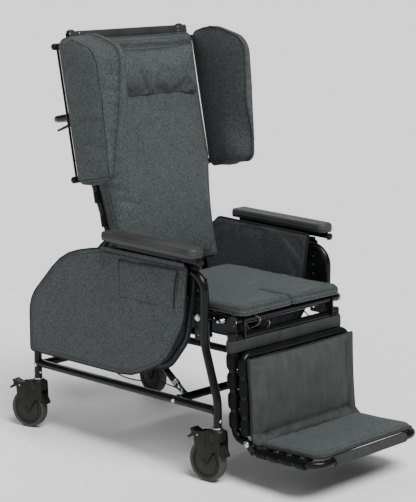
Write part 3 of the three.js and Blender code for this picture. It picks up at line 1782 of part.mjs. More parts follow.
function casterFork() {
  const crown = turned(
    [
      [0, forkCrownBottomZ],
      [forkCrownRadius, forkCrownBottomZ],
      [forkCrownRadius, forkCrownTopZ - strapThickness * 2],
      [casterRingRadius, forkCrownTopZ],
      [casterRingRadius, frameBottomZ - seatedGap],
      [0, frameBottomZ - seatedGap],
    ],
    "z",
    tubeSides + 2,
  );
  const stem = bar("z", forkCrownTopZ, frameBottomZ + stemLength, 0, 0, stemRadius, rodSides);
  const bossRadius = hubBarrelRadius;
  const outline = rounded([
    [-forkCrownRadius + forkFrontInset, forkCrownTopZ - forkShoulderDrop, forkShoulderRadius],
    [-forkCrownRadius + forkFrontInset, forkCrownBottomZ - forkSkirtDrop, forkSkirtRadius],
    [casterTrail - bossRadius, axleZ - bossRadius, bossRadius * 0.9],
    [casterTrail + bossRadius, axleZ - bossRadius, bossRadius * 0.9],
    [pedalPivotReach + forkHornReach, forkCrownBottomZ - forkShoulderDrop, forkHornRadius],
    [pedalPivotReach + pedalBossReach, pedalPivotZ + pedalBossReach, pedalBossReach],
    [forkCrownRadius, forkCrownTopZ - forkShoulderDrop, forkBackRadius],
  ]);
  const outer = forkHalfGap + forkCheekThickness;
  const shell = plate(outline, "x", -outer, outer);
  const wheelSpace = bar("x", -forkHalfGap, forkHalfGap, casterTrail, axleZ, wheelRadius + wheelClearance, tyreSides);
  const pedalSpace = block(
    -forkHalfGap,
    forkHalfGap,
    forkCrownRadius + forkShoulderRadius,
    pedalReach,
    forkCrownBottomZ - forkMouthDrop,
    forkCrownTopZ,
  );
  const belowCrown = block(
    -forkHalfGap,
    forkHalfGap,
    -forkCrownRadius - overrun,
    forkCrownRadius + crownSpaceReach,
    0,
    forkCrownBottomZ - crownSpaceGap,
  );
  const hollow = cut(shell, wheelSpace, pedalSpace, belowCrown);
  const axle = bar("x", -outer - weldOverlap, outer + weldOverlap, casterTrail, axleZ, axleRadius, rodSides);
  const pedalPin = bar(
    "x",
    -outer,
    outer,
    pedalPivotReach,
    pedalPivotZ,
    pedalPinRadius,
    rodSides,
  );
  return join(crown, stem, hollow, axle, pedalPin);
}

function wheelHub() {
  const rimRadius = (wheelRadius - tyreSection) * Math.cos(Math.PI / tyreSides) - seatedGap;
  const rimHalf = tyreHalfWidth - tyreBeadInset;
  const profile = [
    [axleRadius + seatedGap, -forkHalfGap + seatedGap],
    [hubBarrelRadius, -forkHalfGap + seatedGap],
    [hubBarrelRadius, -hubWebHalfWidth],
    [rimRadius - hubRimDepth, -hubWebHalfWidth],
    [rimRadius - hubRimWall, -rimHalf],
    [rimRadius, -rimHalf],
    [rimRadius, rimHalf],
    [rimRadius - hubRimWall, rimHalf],
    [rimRadius - hubRimDepth, hubWebHalfWidth],
    [hubBarrelRadius, hubWebHalfWidth],
    [hubBarrelRadius, forkHalfGap - seatedGap],
    [axleRadius + seatedGap, forkHalfGap - seatedGap],
    [axleRadius + seatedGap, -forkHalfGap + seatedGap],
  ];
  return turned(profile, "x", hubSides).translate(0, casterTrail, axleZ);
}

function tyre() {
  const innerRadius = wheelRadius - tyreSection;
  const profile = [
    [innerRadius, -tyreHalfWidth + tyreBeadInset],
    [wheelRadius - tyreShoulder, -tyreHalfWidth],
    [wheelRadius, -tyreHalfWidth + tyreShoulder],
    [wheelRadius, tyreHalfWidth - tyreShoulder],
    [wheelRadius - tyreShoulder, tyreHalfWidth],
    [innerRadius, tyreHalfWidth - tyreBeadInset],
    [innerRadius, -tyreHalfWidth + tyreBeadInset],
  ];
  return turned(profile, "x", tyreSides).translate(0, casterTrail, axleZ);
}

function brakePedal() {
  const bottom = pedalPivotZ - pedalThickness;
  const outline = rounded([
    [pedalPivotReach - pedalHeelReach, pedalPivotZ + pedalHeelRise, pedalHeelRise],
    [pedalPivotReach - pedalHeelReach, bottom, pedalHeelRise],
    [pedalPivotReach + pedalSoleReach, bottom - pedalSoleDrop, 0],
    [pedalReach, bottom - pedalToeDrop, pedalTipRadius],
    [pedalReach + pedalToeOverhang, bottom - pedalToeDrop + pedalToeRise, pedalTipRadius],
    [pedalPivotReach + pedalCrookReach, bottom + pedalCrookRise, pedalCrookRadius],
    [pedalReach - pedalTipSetback, pedalPivotZ + pedalTipRise, pedalTipRadius],
    [pedalReach - pedalTipSetback - pedalTipWidth, pedalPivotZ + pedalTipRise + pedalTipHeight, pedalTipRadius],
    [pedalPivotReach + pedalBossReach, pedalPivotZ + pedalBossReach, pedalBossReach],
  ]);
  const body = plate(outline, "x", -pedalHalfWidth, pedalHalfWidth);
  const pinBore = bar(
    "x",
    -pedalHalfWidth - overrun,
    pedalHalfWidth + overrun,
    pedalPivotReach,
    pedalPivotZ,
    boreFor(pedalPinRadius, rodSides),
    rodSides,
  );
  return cut(body, pinBore);
}

function addCaster(name, x, y, yaw) {
  const caster = new THREE.Group();
  caster.position.set(x, y, 0);
  caster.rotation.z = yaw;
  chair.add(caster);
  add(caster, "caster_fork_" + name, casterFork(), casterPlastic);
  add(caster, "wheel_hub_" + name, wheelHub(), wheelPlastic);
  add(caster, "tyre_" + name, tyre(), tyreRubber);
  add(caster, "brake_pedal_" + name, brakePedal(), pedalPlastic);
}

addCaster("front_right", -halfTrack, frontLegY, frontRightYaw);
addCaster("front_left", halfTrack, frontLegY, frontLeftYaw);
addCaster("rear_right", -halfTrack, rearLegY, rearRightYaw);
addCaster("rear_left", halfTrack, rearLegY, rearLeftYaw);

export default chair;
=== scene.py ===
"""Looks of the tilt in space wheelchair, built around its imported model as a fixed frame."""
import math

import bmesh
import bpy
from mathutils import Matrix, Vector, noise
from mathutils.bvhtree import BVHTree
from mathutils.geometry import delaunay_2d_cdt, tessellate_polygon


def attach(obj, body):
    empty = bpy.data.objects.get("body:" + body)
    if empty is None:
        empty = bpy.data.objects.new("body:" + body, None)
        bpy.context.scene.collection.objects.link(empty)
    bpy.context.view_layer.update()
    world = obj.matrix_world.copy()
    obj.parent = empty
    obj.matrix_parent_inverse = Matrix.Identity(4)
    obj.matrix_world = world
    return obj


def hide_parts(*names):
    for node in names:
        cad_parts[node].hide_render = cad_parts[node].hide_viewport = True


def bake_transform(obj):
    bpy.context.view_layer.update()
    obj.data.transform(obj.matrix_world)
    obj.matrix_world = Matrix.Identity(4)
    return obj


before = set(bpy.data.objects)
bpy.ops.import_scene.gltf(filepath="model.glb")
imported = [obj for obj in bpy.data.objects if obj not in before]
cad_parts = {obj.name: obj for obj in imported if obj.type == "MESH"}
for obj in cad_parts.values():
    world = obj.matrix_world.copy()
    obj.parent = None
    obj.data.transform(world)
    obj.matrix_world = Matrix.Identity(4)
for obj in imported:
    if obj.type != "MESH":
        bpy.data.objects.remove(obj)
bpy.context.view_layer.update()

bl_info = {
    "name": "Tilt in space wheelchair",
    "version": (1, 0, 0),
    "blender": (4, 5, 0),
    "location": "3D View > Sidebar > Wheelchair",
    "description": "Builds the upholstery, frames, casters and fittings of a tilting wheelchair",
    "category": "Object",
}

# Drawings are in millimetres, with the front at -Y and the user's right hand at -X. The model is in metres.
MM = 0.001
FOOTPRINT_MIDDLE_Y = -164
RECLINE_REST = math.radians(11.5)
BACK_PIVOT = (0, 85, 481)
LEG_LEAN = math.radians(3.7)
SEAT_FRONT_TUBE_Y = -460
SEAT_RAIL_Z = 485
FOOT_PITCH = math.radians(2.1)
FOOT_PIVOT = (0, -530, 131)


def placed(origin=(0, 0, 0), lean=0.0):
    """The matrix from a group's own drawing, leaned at an origin, to the model in metres."""
    chair = Matrix.Scale(MM, 4) @ Matrix.Translation((0, -FOOTPRINT_MIDDLE_Y, 0))
    return chair @ Matrix.Translation(origin) @ Matrix.Rotation(-lean, 4, "X")


CHAIR = placed()
BACK = placed(BACK_PIVOT, RECLINE_REST)
LEG = placed((0, SEAT_FRONT_TUBE_Y, SEAT_RAIL_Z), LEG_LEAN)
FOOT = placed(FOOT_PIVOT, FOOT_PITCH)
MIRROR = Matrix.Diagonal((-1, 1, 1, 1))
SIDES = (("right", Matrix.Identity(4)), ("left", MIRROR))


class ChairSizes(bpy.types.PropertyGroup):
    """Sizes that a user may change"""

    tube_diameter: bpy.props.FloatProperty(
        name="Tube diameter", description="Outside diameter of the frame tubes, in millimetres", default=25.4,
        min=15, max=40)
    strap_thickness: bpy.props.FloatProperty(
        name="Strap thickness", description="Thickness of the tension straps, in millimetres", default=3,
        min=1, max=6)
    stitch_length: bpy.props.FloatProperty(
        name="Stitch length", description="Length of one stitch of the seams, in millimetres", default=3.4,
        min=1, max=10)
    stitch_pitch: bpy.props.FloatProperty(
        name="Stitch pitch", description="Distance from stitch to stitch, in millimetres", default=5.2,
        min=2, max=20)
    wheel_diameter: bpy.props.FloatProperty(
        name="Wheel diameter", description="Diameter of the caster wheels, in millimetres", default=125.44,
        min=75, max=200)
    tube_sides: bpy.props.IntProperty(
        name="Tube sides", description="Number of sides of a round tube", default=24, min=8, max=64)
    cloth_step: bpy.props.FloatProperty(
        name="Cloth step", description="Distance between the points of a cushion's cloth, in millimetres",
        default=9, min=5, max=20)


def colour_property(name, description, default):
    """A colour of the object, as a property with its name, description and default."""
    return bpy.props.FloatVectorProperty(
        name=name, description=description, subtype="COLOR", size=4, min=0, max=1, default=default)


class ChairColours(bpy.types.PropertyGroup):
    """Colours that a user may change"""

    powder_coat: colour_property("Powder coat", "Colour of the frame tubes", (0.0042, 0.0043, 0.0046, 1))
    fabric_dark: colour_property("Fabric, dark", "Darker yarn of the upholstery", (0.026, 0.0310, 0.0310, 1))
    fabric_light: colour_property("Fabric, light", "Lighter yarn of the upholstery", (0.088, 0.100, 0.100, 1))
    calf_cloth: colour_property("Calf pad cloth", "Colour of the calf pad", (0.042, 0.0425, 0.0431, 1))
    binding: colour_property("Binding", "Colour of piping, bindings and thread", (0.012, 0.013, 0.0135, 1))
    webbing: colour_property("Straps", "Colour of the tension straps", (0.0040, 0.0041, 0.0044, 1))
    grey_strap: colour_property("Grey strap", "Colour of the cross strap", (0.031, 0.0315, 0.032, 1))
    foam: colour_property("Arm pads", "Colour of the moulded arm pads", (0.0340, 0.0344, 0.0350, 1))
    plastic: colour_property("Caster plastic", "Colour of the forks", (0.0085, 0.0086, 0.0070, 1))
    hub: colour_property("Hub plastic", "Colour of the wheel hubs", (0.0175, 0.0178, 0.0148, 1))
    rubber: colour_property("Tyre", "Colour of the tyres", (0.055, 0.055, 0.0525, 1))
    black_plastic: colour_property(
        "Black plastic", "Colour of pedals, knobs and caps", (0.0048, 0.0049, 0.0051, 1))
    zinc: colour_property("Plated steel", "Colour of bolts and rods", (0.62, 0.64, 0.65, 1))
    brass: colour_property("Brass", "Colour of the fitting under the seat", (0.55, 0.42, 0.20, 1))
    gas_cylinder: colour_property(
        "Gas cylinders", "Colour of the struts' cylinders", (0.006, 0.006, 0.0065, 1))


class Value:
    """A value of a node tree. Python's own operators on it add Math nodes."""

    def __init__(self, shader, socket):
        self.shader = shader
        self.socket = socket

    def math(self, operation, first, second):
        return self.shader.node("ShaderNodeMath", {"operation": operation}, {0: first, 1: second}).out(0)

    def __add__(self, other):
        return self.math("ADD", self, other)

    def __radd__(self, other):
        return self.math("ADD", other, self)

    def __sub__(self, other):
        return self.math("SUBTRACT", self, other)

    def __mul__(self, other):
        return self.math("MULTIPLY", self, other)

    def kept(self):
        """This value held between 0 and 1."""
        return self.shader.node("ShaderNodeClamp", {}, {"Value": self}).out(0)


class Node:
    """A node with its outputs at hand."""

    def __init__(self, shader, node):
        self.shader = shader
        self.node = node

    def out(self, key):
        return Value(self.shader, self.node.outputs[key])


class Shader:
    """A material whose nodes are written as expressions."""

    def __init__(self, name):
        self.material = bpy.data.materials.new(name + FINISH)
        self.material.use_nodes = True
        self.tree = self.material.node_tree
        self.surface = self.tree.nodes["Principled BSDF"]
        self.place = self.node("ShaderNodeTexCoord", {}, {}).out("Object")

    def node(self, kind, settings, inputs):
        """A node of a kind, with its settings made first and then its sockets set or linked."""
        made = self.tree.nodes.new(kind)
        for key, setting in settings.items():
            setattr(made, key, setting)
        for key, given in inputs.items():
            self.feed(made.inputs[key], given)
        return Node(self, made)

    def feed(self, socket, given):
        if isinstance(given, Value):
            self.tree.links.new(given.socket, socket)
        else:
            socket.default_value = given

    def noise(self, scale, detail=2.0, roughness=0.5, place=None):
        """Noise of a number of features to the metre."""
        inputs = {"Vector": place or self.place, "Scale": scale, "Detail": detail, "Roughness": roughness}
        return self.node("ShaderNodeTexNoise", {}, inputs).out("Fac")

    def bands(self, scale, distortion, detail=2.0):
        """Slanting bands of a number to the metre."""
        settings = {"wave_type": "BANDS", "bands_direction": "DIAGONAL"}
        inputs = {"Vector": self.place, "Scale": scale, "Distortion": distortion, "Detail": detail}
        return self.node("ShaderNodeTexWave", settings, inputs).out("Fac")

    def stretched(self, scale):
        """The object's own coordinates, stretched by a scale along each axis."""
        return self.node("ShaderNodeMapping", {}, {"Vector": self.place, "Scale": scale}).out(0)

    def mixed(self, share, first, second):
        """A colour between two colours."""
        settings = {"data_type": "RGBA", "blend_type": "MIX"}
        return self.node("ShaderNodeMix", settings, {0: share, 6: first, 7: second}).out(2)

    def varied(self, share, colour, low, high):
        """A colour between two tones of itself."""
        return self.mixed(share, scaled_colour(colour, low), scaled_colour(colour, high))

    def attribute(self, name):
        """A value that the mesh holds at its points."""
        settings = {"attribute_type": "GEOMETRY", "attribute_name": name}
        return self.node("ShaderNodeAttribute", settings, {}).out("Fac")

    def relief(self, height, distance, strength):
        """Surface relief of a height in metres."""
        bump = self.node("ShaderNodeBump", {}, {"Height": height, "Distance": distance, "Strength": strength})
        self.feed(self.surface.inputs["Normal"], bump.out("Normal"))

    def dress(self, **values):
        """Sets the surface's own sockets, named with underscores for spaces."""
        for key, given in values.items():
            self.feed(self.surface.inputs[key.replace("_", " ")], given)
        return self.material


def scaled_colour(colour, factor):
    """A colour made lighter or darker."""
    return tuple(min(1.0, part * factor) for part in colour[:3]) + (1.0,)


def melange(name, dark, light, patch, relief):
    """Heathered upholstery: two yarns in cloudy patches, with painted shade along the seams."""
    shader = Shader(name)
    yarn = shader.noise(1100, 3.0, 0.7)
    slub = shader.noise(300, 3.0, 0.7, shader.stretched((1.0, 1.0, 0.55)))
    cloud = shader.noise(26, 3.0, 0.55)
    seam = shader.attribute("seam")
    fleck = shader.noise(190, 2.0, 0.6)
    threads = (yarn - 0.5) * 1.6 + (slub - 0.5) * 2.4 + (fleck - 0.5) * 1.2
    share = (0.5 + threads + (cloud - 0.5) * patch).kept()
    cloth = shader.mixed(share, dark, light)
    # Painted shade: the cloth darkens towards the seams by the seam layer's weight.
    seam_shaded = shader.mixed(seam * 0.6, cloth, scaled_colour(dark, 0.4))
    shader.relief(yarn * 0.5 + slub, 0.00022, relief)
    return shader.dress(
        Base_Color=seam_shaded, Roughness=(0.86 + (yarn - 0.5) * 0.2).kept(), Sheen_Weight=0.05, Sheen_Roughness=0.5,
        Specular_IOR_Level=0.15)


def smooth_cloth(name, colour):
    """Finely knitted cloth with soft cloudy wear, and painted shade along its seams."""
    shader = Shader(name)
    knit = shader.noise(1900, 2.0, 0.6)
    cloud = shader.noise(18, 3.0, 0.6)
    streak = shader.noise(55, 2.0, 0.5, shader.stretched((1.0, 1.0, 0.12)))
    seam = shader.attribute("seam")
    share = (0.5 + (knit - 0.5) * 1.1 + (cloud - 0.5) * 1.3 + (streak - 0.5) * 0.9).kept()
    cloth = shader.varied(share, colour, 0.72, 1.45)
    shader.relief(knit + cloud * 0.5, 0.0001, 0.4)
    # Painted shade: the cloth darkens towards the seams by the seam layer's weight.
    return shader.dress(
        Base_Color=shader.mixed(seam * 0.5, cloth, scaled_colour(colour, 0.4)),
        Roughness=(0.82 + (cloud - 0.5) * 0.2).kept(), Sheen_Weight=0.04, Sheen_Roughness=0.5,
        Specular_IOR_Level=0.18)


def thread_cloth(name, colour):
    """Binding tape, piping and thread: close ribs and a little shine."""
    shader = Shader(name)
    rib = shader.bands(210.0, 1.2)
    fuzz = shader.noise(1300, 2.0)
    share = (rib * 0.5 + fuzz * 0.5).kept()
    shader.relief(rib + fuzz * 0.5, 0.00025, 0.5)
    return shader.dress(
        Base_Color=shader.varied(share, colour, 0.6, 1.9), Roughness=0.78, Specular_IOR_Level=0.2)


def strap_webbing(name, colour):
    """Coated tension webbing: a close weave under a satin skin, duller where it has rubbed."""
    shader = Shader(name)
    weave = shader.bands(160.0, 0.6, 1.0)
    rubbed = shader.noise(34, 4.0, 0.65)
    shade = shader.varied((rubbed * 1.4 - 0.35).kept(), colour, 0.8, 2.3)
    shader.relief(weave + rubbed * 0.6, 0.0002, 0.4)
    return shader.dress(Base_Color=shade, Roughness=(0.3 + rubbed * 0.24).kept(), Specular_IOR_Level=0.1)


def powder_coating(name, colour):
    """Satin powder coat with its fine orange peel and a few dusty patches."""
    shader = Shader(name)
    peel = shader.noise(900, 2.0, 0.55)
    dust = shader.noise(12, 4.0, 0.6)
    shade = shader.mixed((dust * 1.5 - 0.45).kept(), colour, scaled_colour(colour, 1.9))
    shader.relief(peel, 0.00004, 0.5)
    return shader.dress(
        Base_Color=shade, Roughness=(0.2 + dust * 0.14 + (peel - 0.5) * 0.1).kept(), Specular_IOR_Level=0.2)


def moulded_plastic(name, colour, grain, roughness):
    """Moulded plastic with a spark-eroded grain and slight flow marks."""
    shader = Shader(name)
    pit = shader.noise(grain, 3.0, 0.65)
    flow = shader.noise(20, 3.0, 0.5)
    shade = shader.varied((flow * 1.5 - 0.4).kept(), colour, 0.8, 1.6)
    shader.relief(pit, 0.00005, 0.5)
    return shader.dress(
        Base_Color=shade, Roughness=(roughness + (flow - 0.5) * 0.25 + (pit - 0.5) * 0.1).kept(),
        Specular_IOR_Level=0.22)


def foam_skin(name, colour):
    """Self-skinned foam with a leather-like grain of fine cells."""
    shader = Shader(name)
    cell = shader.node(
        "ShaderNodeTexVoronoi", {"feature": "DISTANCE_TO_EDGE"},
        {"Vector": shader.place, "Scale": 620.0}).out(0)
    crease = shader.noise(140, 3.0, 0.6)
    rub = shader.noise(9, 3.0, 0.5)
    shade = shader.varied((rub * 1.6 - 0.4).kept(), colour, 0.75, 1.5)
    shader.relief((cell * 6.0).kept() + crease * 0.6, 0.00012, 0.5)
    return shader.dress(Base_Color=shade, Roughness=(0.42 + rub * 0.2).kept(), Specular_IOR_Level=0.35)


def tyre_rubber(name, colour):
    """Soft grey tread rubber, a little dusty."""
    shader = Shader(name)
    fine = shader.noise(700, 2.0, 0.6)
    dust = shader.noise(40, 4.0, 0.65)
    shade = shader.varied((dust * 1.5 - 0.4).kept(), colour, 0.7, 1.35)
    shader.relief(fine + dust * 0.4, 0.00008, 0.5)
    return shader.dress(Base_Color=shade, Roughness=(0.62 + dust * 0.25).kept(), Specular_IOR_Level=0.35)


def plated_metal(name, colour, roughness):
    """Plated steel with hairline handling marks."""
    shader = Shader(name)
    hair = shader.noise(260, 3.0, 0.7, shader.stretched((1.0, 0.2, 1.0)))
    stain = shader.noise(60, 3.0, 0.6)
    shade = shader.mixed((stain * 1.6 - 0.5).kept(), colour, scaled_colour(colour, 0.62))
    shader.relief(hair, 0.00002, 0.35)
    return shader.dress(Base_Color=shade, Metallic=1.0, Roughness=(roughness + hair * 0.18).kept())


def plain_matte(name, colour, roughness):
    """The floor's own even finish, with hardly any grain."""
    shader = Shader(name)
    grain = shader.noise(3, 2.0)
    shade = shader.mixed(grain, colour, scaled_colour(colour, 0.99))
    return shader.dress(Base_Color=shade, Roughness=roughness, Specular_IOR_Level=0.1)


def make_finishes(colours):
    """Every finish of the object, made from its colours."""
    tone = {key: tuple(getattr(colours, key)) for key in colours.__annotations__}
    melange("upholstery", tone["fabric_dark"], tone["fabric_light"], 0.35, 0.55)
    smooth_cloth("calf_cloth", tone["calf_cloth"])
    thread_cloth("binding", tone["binding"])
    strap_webbing("webbing", tone["webbing"])
    smooth_cloth("grey_strap", tone["grey_strap"])
    powder_coating("powder_coat", tone["powder_coat"])
    moulded_plastic("caster_plastic", tone["plastic"], 1100, 0.5)
    moulded_plastic("hub_plastic", tone["hub"], 1300, 0.48)
    moulded_plastic("black_plastic", tone["black_plastic"], 1200, 0.42)
    foam_skin("arm_foam", tone["foam"])
    tyre_rubber("tyre_rubber", tone["rubber"])
    plated_metal("zinc_plate", tone["zinc"], 0.16)
    plated_metal("brass", tone["brass"], 0.3)
    moulded_plastic("gas_cylinder", tone["gas_cylinder"], 500, 0.24)


# The frame brings plain materials under the names of the slots, so a finish ends its own name with this.
FINISH = " finish"


def link(name, mesh, finish):
    """An object of a mesh, with its finish, in the scene."""
    piece = bpy.data.objects.new(name, mesh)
    bpy.context.scene.collection.objects.link(piece)
    mesh.materials.clear()
    mesh.materials.append(bpy.data.materials[finish + FINISH])
    return piece


def seat_piece(piece, body, replaced=()):
    """Gives a piece its body, or else keeps it fixed in the model's metres, and hides the nodes that it
    stands for.
    """
    if isinstance(body, str):
        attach(piece, body)
    else:
        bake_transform(piece)
    if replaced:
        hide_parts(*replaced)
    return piece


SMOOTH_ANGLE = math.radians(38)


def shaded(mesh, angle=SMOOTH_ANGLE):
    """Smooth shading that keeps the edges sharper than an angle."""
    mesh.shade_smooth()
    mesh.set_sharp_from_angle(angle=angle)


BEND_STEP = math.radians(7)


def bent_path(corners, bend_radii):
    """Places along a path of straight runs and round bends."""
    corners = [Vector(corner) for corner in corners]
    places = [corners[0]]
    for index in range(1, len(corners) - 1):
        arrive = (corners[index] - corners[index - 1]).normalized()
        leave = (corners[index + 1] - corners[index]).normalized()
        turn = arrive.angle(leave)
        radius = bend_radii[index - 1]
        inward = (leave - arrive * math.cos(turn)).normalized()
        start = corners[index] - arrive * radius * math.tan(turn / 2)
        count = max(2, round(turn / BEND_STEP))
        for number in range(count + 1):
            angle = turn * number / count
            places.append(start + arrive * radius * math.sin(angle) + inward * radius * (1 - math.cos(angle)))
    places.append(corners[-1])
    return places


def headings(places, closed=False):
    """The heading of a path at each of its places."""
    count = len(places)
    found = []
    for index in range(count):
        before = places[(index - 1) % count] if closed or index > 0 else places[index]
        after = places[(index + 1) % count] if closed or index < count - 1 else places[index]
        found.append((after - before).normalized())
    return found


def smooth_route(corners, steps):
    """Places along a smooth curve through corners, a number of steps from each to the next."""
    corners = [Vector(corner) for corner in corners]
    guides = [corners[0] * 2 - corners[1], *corners, corners[-1] * 2 - corners[-2]]
    places = []
    for first, start, end, last in zip(guides, guides[1:], guides[2:], guides[3:]):
        for number in range(steps):
            share = number / steps
            places.append((
                start * 2 + (end - first) * share + (first * 2 - start * 5 + end * 4 - last) * share ** 2
                + (start * 3 - first - end * 3 + last) * share ** 3) / 2)
    places.append(corners[-1])
    return places


def arc(centre, radius, start, end, steps):
    """Points (u, v) along an arc between two angles in degrees."""
    angles = [math.radians(start + (end - start) * step / steps) for step in range(steps + 1)]
    return [(centre[0] + radius * math.cos(angle), centre[1] + radius * math.sin(angle)) for angle in angles]


def rounded(corners, step=math.radians(12)):
    """An outline through (u, v, radius) corners, each rounded by its own radius."""
    points = []
    count = len(corners)
    for index, (u, v, radius) in enumerate(corners):
        here = Vector((u, v))
        before = (Vector(corners[index - 1][:2]) - here).normalized()
        after = (Vector(corners[(index + 1) % count][:2]) - here).normalized()
        opening = before.angle(after)
        if radius == 0 or opening > math.pi - 0.01:
            points.append(here)
            continue
        reach = radius / math.tan(opening / 2)
        centre = here + (before + after).normalized() * (radius / math.sin(opening / 2))
        start = here + before * reach - centre
        end = here + after * reach - centre
        turn = math.pi - opening
        way = 1 if start.cross(end) > 0 else -1
        steps = max(2, round(turn / step))
        for number in range(steps + 1):
            angle = way * turn * number / steps
            turned = Vector((
                start.x * math.cos(angle) - start.y * math.sin(angle),
                start.x * math.sin(angle) + start.y * math.cos(angle),
            ))
            points.append(centre + turned)
    return points


def stepped(outline, step):
    """A closed outline with its long edges divided, so that no step is much longer than a length."""
    points = []
    for index, here in enumerate(outline):
        there = outline[(index + 1) % len(outline)]
        count = max(1, round((there - here).length / step))
        points.extend(here.lerp(there, number / count) for number in range(count))
    return points


# An edge of this length bows by the whole depth, and a shorter one by less.
LONG_EDGE = 200


def drawn_in(outline, corners, depth):
    """An outline whose long edges bow inwards by a depth, as a cushion's sides do between its corners."""
    middle = sum(outline, Vector((0, 0))) / len(outline)
    spans = [(Vector(corner[:2]), Vector(corners[(index + 1) % len(corners)][:2]))
             for index, corner in enumerate(corners)]
    bowed = []
    for point in outline:
        best = None
        for start, end in spans:
            along = (end - start).normalized()
            length = (end - start).length
            reach = min(max((point - start).dot(along), 0), length)
            away = (point - (start + along * reach)).length
            if best is None or away < best[0]:
                inward = Vector((-along.y, along.x))
                if inward.dot(middle - point) < 0:
                    inward = -inward
                bow = math.sin(math.pi * reach / length) * min(1.0, length / LONG_EDGE)
                best = (away, inward, bow)
        bowed.append(point + best[1] * depth * best[2])
    return bowed


def cushion_outline(corners, step, depth):
    """The outline of a cushion through rounded corners, in steps, its edges drawn in by a depth."""
    return drawn_in(stepped(rounded(corners), step), corners, depth)


def crosswise(way):
    """Two directions square to a way and to each other."""
    aside = way.orthogonal().normalized()
    return aside, way.cross(aside)


def circle(centre, aside, other, radius, sides):
    """Places round a centre, in the plane of two directions."""
    angles = [2 * math.pi * corner / sides for corner in range(sides)]
    return [centre + (aside * math.cos(angle) + other * math.sin(angle)) * radius for angle in angles]


def join_rings(mesh, rings, closed=False):
    """Faces between rings of the same number of points, and from the last to the first if closed."""
    following = rings[1:] + rings[:1] if closed else rings[1:]
    for first, second in zip(rings, following):
        for index in range(len(first)):
            after = (index + 1) % len(first)
            mesh.faces.new((first[index], first[after], second[after], second[index]))


# For each axis the two directions that a profile turns through, and the axis' own direction.
AXES = {
    "x": (Vector((0, 1, 0)), Vector((0, 0, 1)), Vector((1, 0, 0))),
    "y": (Vector((0, 0, 1)), Vector((1, 0, 0)), Vector((0, 1, 0))),
    "z": (Vector((1, 0, 0)), Vector((0, 1, 0)), Vector((0, 0, 1))),
}
# The least radius of a turned profile, so that its end on the axis is a small ring.
LEAST_RADIUS = 0.02
BEVEL_ANGLE = math.radians(50)
BEVEL_PROFILE = 0.6
# Shares of a dome's radius and height, and of a hexagon's height and radius.
DOME_PROFILE = ((1.0, -0.3), (1.0, 0.25), (0.93, 0.5), (0.72, 0.8), (0.4, 0.96), (0.08, 1.0))
HEXAGON_PROFILE = ((-0.2, 1.0), (0.8, 1.0), (1.0, 0.88))
COIL_STEPS = 14


